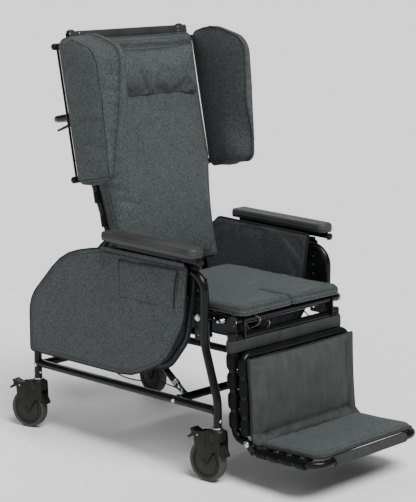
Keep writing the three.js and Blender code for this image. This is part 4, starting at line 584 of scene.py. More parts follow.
class Drawing:
    """Closed shells of one piece, drawn in millimetres."""

    def __init__(self, sides=24):
        self.mesh = bmesh.new()
        self.sides = sides

    def skin(self, rings, closed=False):
        """Faces between rings of the same number of points, with flat ends."""
        made = [[self.mesh.verts.new(point) for point in ring] for ring in rings]
        join_rings(self.mesh, made, closed)
        if not closed:
            self.mesh.faces.new(list(reversed(made[0])))
            self.mesh.faces.new(made[-1])

    def tube(self, places, radius, closed=False, edge=0.8, sides=None, radii=None):
        """A round tube along a path, its ends a little rounded."""
        places = [Vector(place) for place in places]
        sides = sides or self.sides
        ways = headings(places, closed)
        radii = list(radii) if radii else [radius] * len(places)
        if not closed:
            first, last = ways[0], ways[-1]
            start, end = places[0], places[-1]
            places = [start, start + first * edge] + places[1:-1] + [end - last * edge, end]
            ways = [first, first] + ways[1:-1] + [last, last]
            radii = [radii[0] - edge, radii[0]] + radii[1:-1] + [radii[-1], radii[-1] - edge]
        aside = ways[0].orthogonal().normalized()
        rings = []
        for index, (place, way) in enumerate(zip(places, ways)):
            if index:
                aside = ways[index - 1].rotation_difference(way) @ aside
            aside = (aside - way * aside.dot(way)).normalized()
            rings.append(circle(place, aside, way.cross(aside), radii[index], sides))
        self.skin(rings, closed)

    def bar(self, axis, low, high, centre, radius, edge=0.8):
        """A straight round bar along an axis, its centre at the other two places."""
        ends = []
        for reach in (low, high):
            place = list(centre)
            place.insert("xyz".index(axis), reach)
            ends.append(Vector(place))
        self.tube(ends, radius, edge=edge)

    def turned(self, profile, axis, centre, closed=False):
        """A profile of (radius, reach) turned about an axis through a centre, its ends closed on the axis."""
        first, second, along = AXES[axis]
        rings = [
            circle(Vector(centre) + along * reach, first, second, max(radius, LEAST_RADIUS), self.sides)
            for radius, reach in profile
        ]
        self.skin(rings, closed)

    def plate(self, outline, axis, low, high, holes=(), bevel=0.8, segments=2):
        """A flat outline with holes, given depth along an axis, its edges broken by a small bevel."""
        loops = [[Vector(point) for point in outline]] + [[Vector(point) for point in hole] for hole in holes]
        flat = [point for loop in loops for point in loop]
        faces = tessellate_polygon([[point.to_3d() for point in loop] for loop in loops])
        shell = bmesh.new()
        bottoms = [shell.verts.new(laid_along(axis, point.x, point.y, low)) for point in flat]
        tops = [shell.verts.new(laid_along(axis, point.x, point.y, high)) for point in flat]
        for face in faces:
            shell.faces.new([bottoms[index] for index in face])
            shell.faces.new([tops[index] for index in reversed(face)])
        start = 0
        for loop in loops:
            for index in range(len(loop)):
                here = start + index
                there = start + (index + 1) % len(loop)
                shell.faces.new((bottoms[here], bottoms[there], tops[there], tops[here]))
            start += len(loop)
        bmesh.ops.recalc_face_normals(shell, faces=shell.faces)
        if bevel:
            sharp = [edge for edge in shell.edges
                     if edge.is_manifold and edge.calc_face_angle(0.0) > BEVEL_ANGLE]
            bmesh.ops.bevel(
                shell, geom=sharp, offset=bevel, segments=segments, profile=BEVEL_PROFILE, affect="EDGES",
                clamp_overlap=True)
        self.take(shell)

    def block(self, low, high, bevel=1.0, segments=3):
        """A rectangular block between two corners, its edges rounded."""
        shell = bmesh.new()
        bmesh.ops.create_cube(shell, size=1)
        size = Vector(high) - Vector(low)
        middle = (Vector(high) + Vector(low)) / 2
        stretch = Matrix.Translation(middle) @ Matrix.Diagonal((*size, 1))
        bmesh.ops.transform(shell, matrix=stretch, verts=shell.verts)
        bmesh.ops.bevel(
            shell, geom=list(shell.edges), offset=bevel, segments=segments, profile=BEVEL_PROFILE,
            affect="EDGES", clamp_overlap=True)
        self.take(shell)

    def ribbon(self, places, across, width, thickness, bulge, closed=False):
        """A flat band along a path, wide in one direction, its outer face bulging between its edges."""
        across = Vector(across).normalized()
        places = [Vector(place) for place in places]
        ways = headings(places, closed)
        section = []
        steps = 6
        for step in range(steps + 1):
            share = -1 + 2 * step / steps
            lift = thickness / 2 * (1 - 0.55 * abs(share) ** 6) + bulge * (1 - share ** 6)
            section.append((share * width / 2, lift))
        for step in range(steps + 1):
            share = 1 - 2 * step / steps
            section.append((share * width / 2, -thickness / 2 * (1 - 0.55 * abs(share) ** 6)))
        rings = []
        for place, way in zip(places, ways):
            outward = way.cross(across).normalized()
            rings.append([place + across * aside + outward * lift for aside, lift in section])
        self.skin(rings, closed)

    def dome(self, place, way, radius, height, steps=16):
        """A domed rivet or bolt head that stands on a place and points along a way."""
        way = Vector(way).normalized()
        aside, other = crosswise(way)
        self.skin([
            circle(Vector(place) + way * height * reach, aside, other, radius * share, steps)
            for share, reach in DOME_PROFILE
        ])

    def hexagon(self, place, way, across_flats, height):
        """A hexagon bolt head or nut with a chamfered face, standing on a place."""
        way = Vector(way).normalized()
        aside, other = crosswise(way)
        radius = across_flats / 2 / math.cos(math.pi / 6)
        self.skin([
            circle(Vector(place) + way * height * reach, aside, other, radius * share, 6)
            for reach, share in HEXAGON_PROFILE
        ])

    def coil(self, start, end, radius, wire, turns):
        """A helical spring between two places."""
        start, end = Vector(start), Vector(end)
        aside, other = crosswise((end - start).normalized())
        places = []
        for step in range(turns * COIL_STEPS + 1):
            angle = 2 * math.pi * step / COIL_STEPS
            centre = start.lerp(end, step / (turns * COIL_STEPS))
            places.append(centre + (aside * math.cos(angle) + other * math.sin(angle)) * radius)
        self.tube(places, wire, edge=wire * 0.3, sides=8)

    def take(self, shell, matrix=None):
        """Adds a shell that was made by itself, moved by a matrix."""
        if matrix:
            bmesh.ops.transform(shell, matrix=matrix, verts=shell.verts)
        copied = bpy.data.meshes.new("shell")
        shell.to_mesh(copied)
        shell.free()
        self.mesh.from_mesh(copied)
        bpy.data.meshes.remove(copied)

    def made(self, name, matrix, finish, body=None, replaced=(), angle=SMOOTH_ANGLE):
        """The drawing as a piece in the model's metres, with its finish, on its body."""
        bmesh.ops.transform(self.mesh, matrix=matrix, verts=self.mesh.verts)
        bmesh.ops.recalc_face_normals(self.mesh, faces=self.mesh.faces)
        mesh = bpy.data.meshes.new(name)
        self.mesh.to_mesh(mesh)
        self.mesh.free()
        shaded(mesh, angle)
        piece = link(name, mesh, finish)
        if body:
            seat_piece(piece, body, replaced)
        return piece


def plain_mesh(piece, name, finish):
    """The evaluated mesh of a piece with modifiers, as a new plain piece in its place."""
    evaluated = piece.evaluated_get(bpy.context.evaluated_depsgraph_get())
    mesh = bpy.data.meshes.new_from_object(evaluated)
    bpy.data.objects.remove(piece)
    mesh.name = name
    return link(name, mesh, finish)


def node_group(name, sizes):
    """A new geometry tree with named inputs, given as (name, socket type, default), and its input node."""
    tree = bpy.data.node_groups.new(name, "GeometryNodeTree")
    tree.interface.new_socket("Geometry", in_out="INPUT", socket_type="NodeSocketGeometry")
    tree.interface.new_socket("Geometry", in_out="OUTPUT", socket_type="NodeSocketGeometry")
    for label, kind, default in (*sizes, ("Finish", "NodeSocketMaterial", None)):
        socket = tree.interface.new_socket(label, in_out="INPUT", socket_type=kind)
        if default is not None:
            socket.default_value = default
    return tree, tree_node(tree, "NodeGroupInput")


def tree_node(tree, kind, settings=None, links=None):
    """A node of a geometry tree, its settings made and its sockets set or linked."""
    node = tree.nodes.new(kind)
    for key, setting in (settings or {}).items():
        setattr(node, key, setting)
    for key, given in (links or {}).items():
        if isinstance(given, bpy.types.NodeSocket):
            tree.links.new(given, node.inputs[key])
        else:
            node.inputs[key].default_value = given
    return node


def finish_tree(tree, given, instances):
    """Ends a tree in real geometry that has the finish of its input node."""
    real = tree_node(tree, "GeometryNodeRealizeInstances", links={"Geometry": instances})
    dressed = tree_node(
        tree, "GeometryNodeSetMaterial",
        links={"Geometry": real.outputs["Geometry"], "Material": given.outputs["Finish"]})
    smooth = tree_node(tree, "GeometryNodeSetShadeSmooth", links={"Geometry": dressed.outputs["Geometry"]})
    out = tree_node(tree, "NodeGroupOutput")
    tree.links.new(smooth.outputs["Geometry"], out.inputs["Geometry"])
    return tree


def copies_on_points():
    """Puts a copy of an object on each point, turned as the point says."""
    tree, given = node_group("copies_on_points", [
        ("Copy", "NodeSocketObject", None),
        ("Size", "NodeSocketFloat", 1.0),
    ])
    copy = tree_node(
        tree, "GeometryNodeObjectInfo", {"transform_space": "ORIGINAL"}, {"Object": given.outputs["Copy"]})
    turn = tree_node(tree, "GeometryNodeInputNamedAttribute", {"data_type": "FLOAT_VECTOR"}, {"Name": "turn"})
    spread = tree_node(tree, "GeometryNodeInstanceOnPoints", links={
        "Points": given.outputs["Geometry"], "Instance": copy.outputs["Geometry"],
        "Rotation": turn.outputs["Attribute"], "Scale": given.outputs["Size"],
    })
    return finish_tree(tree, given, spread.outputs["Instances"])


def row_of_copies():
    """Repeats the given piece a number of times at an even pitch."""
    tree, given = node_group("row_of_copies", [
        ("Count", "NodeSocketInt", 4),
        ("Pitch", "NodeSocketVector", (0.0, 0.0, 0.05)),
    ])
    line = tree_node(tree, "GeometryNodeMeshLine", {"mode": "OFFSET"}, {
        "Count": given.outputs["Count"], "Offset": given.outputs["Pitch"],
    })
    spread = tree_node(tree, "GeometryNodeInstanceOnPoints", links={
        "Points": line.outputs["Mesh"], "Instance": given.outputs["Geometry"],
    })
    return finish_tree(tree, given, spread.outputs["Instances"])


def stitches_along_seam():
    """Lays short threads along a line of seam at an even pitch."""
    tree, given = node_group("stitches_along_seam", [
        ("Stitch length", "NodeSocketFloat", 0.0034),
        ("Pitch", "NodeSocketFloat", 0.0052),
        ("Thread radius", "NodeSocketFloat", 0.00045),
    ])
    seam = tree_node(tree, "GeometryNodeMeshToCurve", links={"Mesh": given.outputs["Geometry"]})
    even = tree_node(tree, "GeometryNodeResampleCurve", {"mode": "LENGTH"}, {
        "Curve": seam.outputs["Curve"], "Length": given.outputs["Pitch"],
    })
    way = tree_node(tree, "GeometryNodeInputTangent")
    turn = tree_node(
        tree, "FunctionNodeAlignRotationToVector", {"axis": "Z"}, {"Vector": way.outputs["Tangent"]})
    thread = tree_node(tree, "GeometryNodeMeshCylinder", {"fill_type": "TRIANGLE_FAN"}, {
        "Vertices": 6, "Side Segments": 1, "Radius": given.outputs["Thread radius"],
        "Depth": given.outputs["Stitch length"],
    })
    spread = tree_node(tree, "GeometryNodeInstanceOnPoints", links={
        "Points": even.outputs["Curve"], "Instance": thread.outputs["Mesh"],
        "Rotation": turn.outputs["Rotation"],
    })
    return finish_tree(tree, given, spread.outputs["Instances"])


def with_tree(piece, maker, inputs, name, finish):
    """The plain result of a geometry tree on a piece, its inputs set by their sockets' identifiers."""
    tree = bpy.data.node_groups.get(maker.__name__) or maker()
    modifier = piece.modifiers.new("repeat", "NODES")
    modifier.node_group = tree
    identifiers = {item.name: item.identifier for item in tree.interface.items_tree if item.in_out == "INPUT"}
    for label, given in inputs.items():
        modifier[identifiers[label]] = given
    modifier[identifiers["Finish"]] = bpy.data.materials[finish + FINISH]
    return plain_mesh(piece, name, finish)


def row_of(piece, count, pitch, name, finish):
    """A piece repeated at an even pitch, in metres."""
    return with_tree(piece, row_of_copies, {"Count": count, "Pitch": pitch}, name, finish)


def copies_on(places, copy, name, finish):
    """A copy of a small piece at each (place, way) in metres, its own upright turned to the way."""
    mesh = bpy.data.meshes.new(name)
    mesh.from_pydata([tuple(place) for place, _ in places], [], [])
    turn = mesh.attributes.new("turn", "FLOAT_VECTOR", "POINT")
    for index, (_, way) in enumerate(places):
        turn.data[index].vector = Vector(way).to_track_quat("Z", "Y").to_euler()
    points = link(name + "_points", mesh, finish)
    copied = with_tree(points, copies_on_points, {"Copy": copy, "Size": 1.0}, name, finish)
    bpy.data.objects.remove(copy)
    return copied


THREAD_RADIUS = 0.45


def stitches(lines, sizes, name, body):
    """Stitches along lines of places in metres, as one piece on a body."""
    mesh = bpy.data.meshes.new(name)
    places = [tuple(place) for line in lines for place in line]
    edges = []
    start = 0
    for line in lines:
        edges.extend((start + index, start + index + 1) for index in range(len(line) - 1))
        start += len(line)
    mesh.from_pydata(places, edges, [])
    seam = link(name + "_seam", mesh, "binding")
    inputs = {
        "Stitch length": sizes.stitch_length * MM, "Pitch": sizes.stitch_pitch * MM,
        "Thread radius": THREAD_RADIUS * MM,
    }
    thread = with_tree(seam, stitches_along_seam, inputs, name, "binding")
    seat_piece(thread, body)


def doubled_area(outline):
    """Twice the area inside a closed outline, or less than nothing if it runs clockwise."""
    return sum(here.cross(outline[(index + 1) % len(outline)]) for index, here in enumerate(outline))


def offset_outline(outline, distance):
    """A closed outline moved outwards by a distance along its own normals."""
    way = 1 if doubled_area(outline) > 0 else -1
    moved = []
    for index, here in enumerate(outline):
        along = outline[(index + 1) % len(outline)] - outline[index - 1]
        if along.length < 1e-6:
            moved.append(here.copy())
            continue
        along.normalize()
        moved.append(here + Vector((along.y, -along.x)) * way * distance)
    return moved


def laid_along(axis, u, v, height):
    """A point of a drawing whose height points up, to the front or along x."""
    if axis == "x":
        return Vector((height, u, v))
    if axis == "y":
        return Vector((u, -height, v))
    return Vector((u, v, height))


def edge_distance(point, outline):
    """How far a point lies from a closed outline."""
    best = 1e9
    for index, start in enumerate(outline):
        end = outline[(index + 1) % len(outline)]
        span = end - start
        length = span.length_squared
        share = 0 if length == 0 else min(1.0, max(0.0, (point - start).dot(span) / length))
        best = min(best, (point - (start + span * share)).length)
    return best


def inside(point, outline):
    """Whether a point lies inside a closed outline."""
    found = False
    for index, here in enumerate(outline):
        there = outline[index - 1]
        if (here.y > point.y) != (there.y > point.y):
            cross = (there.x - here.x) * (point.y - here.y) / (there.y - here.y) + here.x
            if point.x < cross:
                found = not found
    return found


# How far the painted shade along a seam reaches, and how sharply its edges stay when the cover is smoothed.
SEAM_SHADE_REACH = 4.0
SEAM_CREASE = 0.75


def seam_nearness(distance):
    """How much painted seam shade a point gets that lies at a distance from its seam: 1 on it, and then less.
    """
    return math.exp(-(distance / SEAM_SHADE_REACH) ** 2)


def face_rise(depth, roll, roll_width, crown, reach):
    """How far a face stands over its seam at a depth inside it: a rolled edge and a crown."""
    share = min(1.0, depth / roll_width)
    over = min(1.0, depth / reach)
    return roll * math.sqrt(max(0.0, 1 - (1 - share) ** 2)) + crown * math.sin(over * math.pi / 2) ** 1.3


class Cushion:
    """A stuffed cover: two faces cut to one outline and the band between them, drawn in millimetres."""

    def __init__(self, outline, axis, low, high, step):
        self.axis = axis
        self.low = low
        self.high = high
        self.outline = stepped(outline, step)
        if doubled_area(self.outline) < 0:
            self.outline.reverse()
        self.cut_cloth(step)

    def cut_cloth(self, step):
        """Cuts one face: the outline and an even triangle grid inside it."""
        points = list(self.outline)
        low_u = min(point.x for point in points)
        high_u = max(point.x for point in points)
        low_v = min(point.y for point in points)
        high_v = max(point.y for point in points)
        row_height = step * math.sqrt(3) / 2
        rows = int((high_v - low_v) / row_height)
        count = len(points)
        ring = [((index - 1) % count, index) for index in range(count)]
        for row in range(1, rows + 1):
            v = low_v + row * row_height
            u = low_u + (step / 2 if row % 2 else step)
            while u < high_u:
                point = Vector((u, v))
                if inside(point, self.outline) and edge_distance(point, self.outline) > step * 0.6:
                    points.append(point)
                u += step
        found = delaunay_2d_cdt(points, ring, [list(range(count))], 1, 1e-5)
        self.points = [Vector(point) for point in found[0]]
        self.faces = [list(face) for face in found[2]]
        where = {}
        for index, sources in enumerate(found[3]):
            for source in sources:
                where[source] = index
        self.rim = [where[index] for index in range(count)]
        self.depth = [edge_distance(point, self.outline) for point in self.points]
        for index in self.rim:
            self.depth[index] = 0.0

    def sheet(self, made, seam, form, sign, relief):
        """One face of the cover over its seam, with relief on the front one."""
        roll, roll_width, crown, reach = form
        out = sign * (1 if self.high > self.low else -1)
        seam_at = (self.high if sign > 0 else self.low) - out * roll
        self.seam_heights.append(seam_at)
        verts = []
        for point, depth in zip(self.points, self.depth):
            rise = face_rise(depth, roll, roll_width, crown, reach)
            if sign > 0:
                rise += relief(point.x, point.y) * min(1.0, depth / roll_width)
            vert = made.verts.new(laid_along(self.axis, point.x, point.y, seam_at + out * rise))
            vert[seam] = seam_nearness(depth)
            verts.append(vert)
        for face in self.faces:
            corners = [verts[index] for index in face]
            made.faces.new(corners if sign > 0 else list(reversed(corners)))
        return verts

    def band(self, made, seam, bulge, rows):
        """The rings of the band between the two seams, bulging between them."""
        bottom, top = self.seam_heights
        outward = [moved - point for moved, point in zip(offset_outline(self.outline, 1.0), self.outline)]
        rings = []
        for row in range(1, rows):
            share = row / rows
            level = bottom + (top - bottom) * share
            edge = min(share, 1 - share) * abs(top - bottom)
            ring = []
            for point, out in zip(self.outline, outward):
                moved = point + out * bulge * math.sin(math.pi * share)
                vert = made.verts.new(laid_along(self.axis, moved.x, moved.y, level))
                vert[seam] = seam_nearness(edge)
                ring.append(vert)
            rings.append(ring)
        return rings

    def built(self, front, back, bulge, relief, rows):
        """Sews the cover as a mesh. front and back are (seam inset, roll width, crown, crown's reach)."""
        made = bmesh.new()
        # This layer weighs the painted shade that the cloth finishes lay along the seams.
        seam = made.verts.layers.float.new("seam")
        crease = made.edges.layers.float.new("crease_edge")
        self.seam_heights = []
        rear = self.sheet(made, seam, back, -1, relief)
        face = self.sheet(made, seam, front, 1, relief)
        rear_rim, face_rim = ([sheet[index] for index in self.rim] for sheet in (rear, face))
        join_rings(made, [rear_rim, *self.band(made, seam, bulge, rows), face_rim])
        for rim in (rear_rim, face_rim):
            for index, vert in enumerate(rim):
                made.edges.get((vert, rim[(index + 1) % len(rim)]))[crease] = SEAM_CREASE
        made.verts.index_update()
        self.pinned = sorted({vert.index for vert in rear_rim + face_rim + rear})
        bmesh.ops.recalc_face_normals(made, faces=made.faces)
        self.mesh = bpy.data.meshes.new("cushion")
        made.to_mesh(self.mesh)
        made.free()

    def line_at(self, height, outset):
        """The outline moved outwards by a distance, as places at a height."""
        return [laid_along(self.axis, point.x, point.y, height)
                for point in offset_outline(self.outline, outset)]

    def seam_line(self, which, outset):
        """The seam of a face as places: 0 is the back face's, 1 the front face's."""
        return self.line_at(self.seam_heights[which], outset)


CLOTH = {
    "quality": 5, "mass": 0.25, "tension_stiffness": 12, "compression_stiffness": 12, "shear_stiffness": 4,
    "bending_stiffness": 0.12, "air_damping": 2, "use_pressure": True, "vertex_group_mass": "pinned",
}
CLOTH_FRAMES = 20


def simulated(piece, pinned, pressure, slack, cap):
    """Lets a cover's cloth swell and pucker between its pinned seams, and keeps the result."""
    scene = bpy.context.scene
    mesh = piece.data
    rest = [vert.co.copy() for vert in mesh.vertices]
    group = piece.vertex_groups.new(name="pinned")
    group.add(pinned, 1.0, "REPLACE")
    modifier = piece.modifiers.new("cloth", "CLOTH")
    settings = modifier.settings
    for key, setting in CLOTH.items():
        setattr(settings, key, setting)
    settings.uniform_pressure_force = pressure
    settings.shrink_min = -slack
    settings.effector_weights.gravity = 0
    modifier.collision_settings.use_collision = False
    modifier.point_cache.frame_start = 1
    modifier.point_cache.frame_end = CLOTH_FRAMES
    for number in range(1, CLOTH_FRAMES + 1):
        scene.frame_set(number)
    evaluated = piece.evaluated_get(bpy.context.evaluated_depsgraph_get())
    moved = [vert.co.copy() for vert in evaluated.data.vertices]
    piece.modifiers.remove(modifier)
    piece.vertex_groups.remove(group)
    for vert, start, end in zip(mesh.vertices, rest, moved):
        shift = end - start
        length = shift.length
        vert.co = start + shift * (cap * math.tanh(length / cap) / length if length > 1e-9 else 0)
    mesh.update()
    scene.frame_set(1)


def upholstered(cushion, name, matrix, finish, body, replaced, pressure, slack, cap):
    """A cover in the model's metres, swollen by simulation and smoothed."""
    mesh = cushion.mesh
    mesh.transform(matrix)
    if matrix.determinant() < 0:
        mesh.flip_normals()
    mesh.name = name
    mesh.shade_smooth()
    piece = link(name, mesh, finish)
    simulated(piece, cushion.pinned, pressure, slack, cap)
    smooth = piece.modifiers.new("smooth", "SUBSURF")
    smooth.levels = smooth.render_levels = 1
    done = plain_mesh(piece, name, finish)
    done.data.shade_smooth()
    return seat_piece(done, body, replaced)


def piping(lines, matrix, name, body, radius, finish="binding", closed=True):
    """Round piping along seams."""
    drawing = Drawing(sides=8)
    for line in lines:
        drawing.tube(line, radius, closed=closed)
    return drawing.made(name, matrix, finish, body)


def on_surface(piece, line, matrix, way, lift=0.4, reach=60):
    """A line of places in a drawing, laid on a piece's surface seen along a way, in metres."""
    tree = BVHTree.FromObject(piece, bpy.context.evaluated_depsgraph_get())
    world_way = (matrix.to_3x3() @ Vector(way)).normalized()
    laid = []
    for place in line:
        start = matrix @ Vector(place) - world_way * reach * MM
        hit = tree.ray_cast(start, world_way, 2 * reach * MM)
        if hit[0] is not None:
            laid.append(hit[0] - world_way * lift * MM)
    return laid


# Base frame
HALF_TRACK = 276
FRONT_LEG_Y = -439
REAR_LEG_Y = 368
FRAME_BOTTOM_Z = 171
ARM_RUN_Z = 622
LOWER_RAIL_Z = 220
REAR_CROSSBAR_Z = 214
STRUT_CROSSBAR_Y = -266
HOOP_CORNERS = (
    (FRONT_LEG_Y, FRAME_BOTTOM_Z), (FRONT_LEG_Y, 250), (-387, 410), (-387, ARM_RUN_Z), (40, ARM_RUN_Z),
    (205, 583), (REAR_LEG_Y, 432), (REAR_LEG_Y, FRAME_BOTTOM_Z),
)
HOOP_BENDS = (110, 110, 58, 400, 250, 120)
TILT_PIVOT = (-346, 484)
PIVOT_PLATE_X = (259.5, 264.5)
PIVOT_HOLE_PITCH = 27
ARM_POST_X = (254, 259)
ARM_POST_HALF_WIDTH = 11
ARM_POST_YS = (-300, -24)
ARM_GUIDE_HEIGHT = 30
LUG_BORE = 4.3
LOOSE_LUG_BORE = 8


def hole(centre_u, centre_v, radius):
    """A round hole of an outline."""
    return circle(Vector((centre_u, centre_v)), Vector((1, 0)), Vector((0, 1)), radius, 20)


WELD_STEPS = 40
WELD_RADIUS = 1.9


def weld_bead(drawing, place, way, radius):
    """The bead of weld round the end of a tube, where it meets another."""
    aside, other = crosswise(Vector(way).normalized())
    ring = []
    for step in range(WELD_STEPS):
        angle = 2 * math.pi * step / WELD_STEPS
        ripple = 0.35 * math.sin(step * 2.4)
        ring.append(Vector(place) + (aside * math.cos(angle) + other * math.sin(angle)) * (radius + ripple))
    drawing.tube(ring, WELD_RADIUS, closed=True, sides=8)


def lug_outline(root, pin, root_half, eye):
    """The outline of a lug plate from a tube's middle to a round eye about a pin."""
    root, pin = Vector(root), Vector(pin)
    along = (pin - root).normalized()
    aside = Vector((-along.y, along.x))
    heading = math.degrees(math.atan2(along.y, along.x))
    eye_arc = [Vector(point) for point in arc(pin, eye, heading - 90, heading + 90, 14)]
    return [root - aside * root_half] + eye_arc + [root + aside * root_half]


def lug(drawing, x, root, pin, root_half, eye, bore, half=2.5, bevel=0.6):
    """A lug plate that stands square to x, from a tube's middle to an eye with a bore about a pin."""
    outline = lug_outline(root, pin, root_half, eye)
    drawing.plate(outline, "x", x - half, x + half, [hole(*pin, bore)], bevel=bevel)


def build_side_frames(sizes):
    """Two bent tube hoops with their lower rails, perforated pivot plates and armrest guides."""
    radius = sizes.tube_diameter / 2
    for side, mirror in SIDES:
        frame_tubes = Drawing(sizes.tube_sides)
        hoop = bent_path([(-HALF_TRACK, y, z) for y, z in HOOP_CORNERS], HOOP_BENDS)
        frame_tubes.tube(hoop, radius, edge=0.6)
        rail_end = radius * 0.4
        frame_tubes.bar(
            "y", FRONT_LEG_Y + rail_end, REAR_LEG_Y - rail_end, (-HALF_TRACK, LOWER_RAIL_Z), radius)
        weld_bead(frame_tubes, (-HALF_TRACK, FRONT_LEG_Y + radius, LOWER_RAIL_Z), (0, 1, 0), radius)
        weld_bead(frame_tubes, (-HALF_TRACK, REAR_LEG_Y - radius, LOWER_RAIL_Z), (0, 1, 0), radius)
        knee = HOOP_CORNERS[2][0]
        outline = rounded([
            (knee - radius / 2, 416, 0), (-334, 416, 6), (-334, 606, 13), (knee + radius / 2, 606, 4),
        ])
        holes = [hole(TILT_PIVOT[0], TILT_PIVOT[1] + number * PIVOT_HOLE_PITCH, 4.2 if number else 6.6)
                 for number in range(-2, 5)]
        frame_tubes.plate(outline, "x", -PIVOT_PLATE_X[1], -PIVOT_PLATE_X[0], holes, bevel=0.5)
        guide_low = ARM_RUN_Z - ARM_GUIDE_HEIGHT / 2
        guide_high = ARM_RUN_Z + ARM_GUIDE_HEIGHT / 2
        for y in ARM_POST_YS:
            half = ARM_POST_HALF_WIDTH + 3
            slot = ARM_POST_HALF_WIDTH + 0.3
            outer = rounded([
                (-HALF_TRACK + radius - 1, y - half, 0), (-ARM_POST_X[0] + 3, y - half, 2.5),
                (-ARM_POST_X[0] + 3, y + half, 2.5), (-HALF_TRACK + radius - 1, y + half, 0),
            ])
            inner = rounded([
                (-ARM_POST_X[1] - 0.3, y - slot, 0), (-ARM_POST_X[0] + 0.3, y - slot, 0),
                (-ARM_POST_X[0] + 0.3, y + slot, 0), (-ARM_POST_X[1] - 0.3, y + slot, 0),
            ])
            frame_tubes.plate(outer, "z", guide_low, guide_high, [inner], bevel=0.5)
        frame_tubes.made(
            "hoop_frame_" + side, CHAIR @ mirror, "powder_coat", "base", ["side_frame_" + side])
        build_frame_fasteners(side, mirror, radius)


def build_frame_fasteners(side, mirror, radius):
    """Plated fasteners of a side frame: pinch bolts over the casters and the crossbars' bolts."""
    bolts = Drawing(20)
    for y in (FRONT_LEG_Y, REAR_LEG_Y):
        z = FRAME_BOTTOM_Z + 19
        bolts.dome((-HALF_TRACK, y - radius, z), (0, -1, 0), 5.5, 3.6)
        bolts.hexagon((-HALF_TRACK, y + radius, z), (0, 1, 0), 9, 4.2)
    bolts.dome((-HALF_TRACK - radius + 0.3, STRUT_CROSSBAR_Y, LOWER_RAIL_Z), (-1, 0, 0), 7, 4.2)
    bolts.dome((-HALF_TRACK - radius + 0.3, REAR_LEG_Y, REAR_CROSSBAR_Z), (-1, 0, 0), 7, 4.2)
    bolts.made("frame_bolts_" + side, CHAIR @ mirror, "zinc_plate", "base")


def build_crossbars(sizes):
    """The rear crossbar and the front crossbar with the struts' lugs."""
    radius = sizes.tube_diameter / 2
    reach = HALF_TRACK - radius * 0.55
    rear = Drawing(sizes.tube_sides)
    rear.bar("x", -reach, reach, (REAR_LEG_Y, REAR_CROSSBAR_Z), radius)
    front = Drawing(sizes.tube_sides)
    front.bar("x", -reach, reach, (STRUT_CROSSBAR_Y, LOWER_RAIL_Z), radius)
    for drawing, y, z in ((rear, REAR_LEG_Y, REAR_CROSSBAR_Z), (front, STRUT_CROSSBAR_Y, LOWER_RAIL_Z)):
        for x in (-1, 1):
            weld_bead(drawing, (x * (HALF_TRACK - radius), y, z), (1, 0, 0), radius)
    for x in (-STRUT_X, STRUT_X):
        lug(front, x, (STRUT_CROSSBAR_Y, LOWER_RAIL_Z), TILT_STRUT_LOWER, radius, 8, LUG_BORE)
    rear.made("crossbar_tube_rear", CHAIR, "powder_coat", "base", ["rear_crossbar"])
    front.made("crossbar_tube_front", CHAIR, "powder_coat", "base", ["strut_crossbar"])


def build_pivot_bolts():
    """The bolts that the seat tilts on, each with a washer and a hexagon head."""
    y, z = TILT_PIVOT
    for side, mirror in SIDES:
        bolt = Drawing(24)
        outer = PIVOT_PLATE_X[1] + 0.3
        bolt.bar("x", -outer, -209, (y, z), 6)
        bolt.bar("x", -outer - 1.6, -outer, (y, z), 10.5, edge=0.4)
        bolt.hexagon((-outer - 1.6, y, z), (-1, 0, 0), 14, 4)
        bolt.made("tilt_bolt_" + side, CHAIR @ mirror, "zinc_plate", "base", ["pivot_bolt_" + side])


# Casters
CASTERS = {
    "front_right": (-HALF_TRACK, FRONT_LEG_Y, 4), "front_left": (HALF_TRACK, FRONT_LEG_Y, -3),
    "rear_right": (-HALF_TRACK, REAR_LEG_Y, 15), "rear_left": (HALF_TRACK, REAR_LEG_Y, -6),
}
CASTER_TRAIL = 36
FORK_INNER = 16.5
FORK_OUTER = 20
CROWN_TOP_Z = 166
CROWN_RADIUS = 24
PEDAL_PIVOT = (62, 140)
TOE_HEEL_Y = 84
TOE_LEAN = math.radians(-26)


def caster_place(name):
    """The matrix of a caster's drawing, made about its stem with the wheel trailing along +y."""
    x, y, yaw = CASTERS[name]
    chair = Matrix.Scale(MM, 4) @ Matrix.Translation((x, y - FOOTPRINT_MIDDLE_Y, 0))
    return chair @ Matrix.Rotation(math.radians(yaw), 4, "Z")


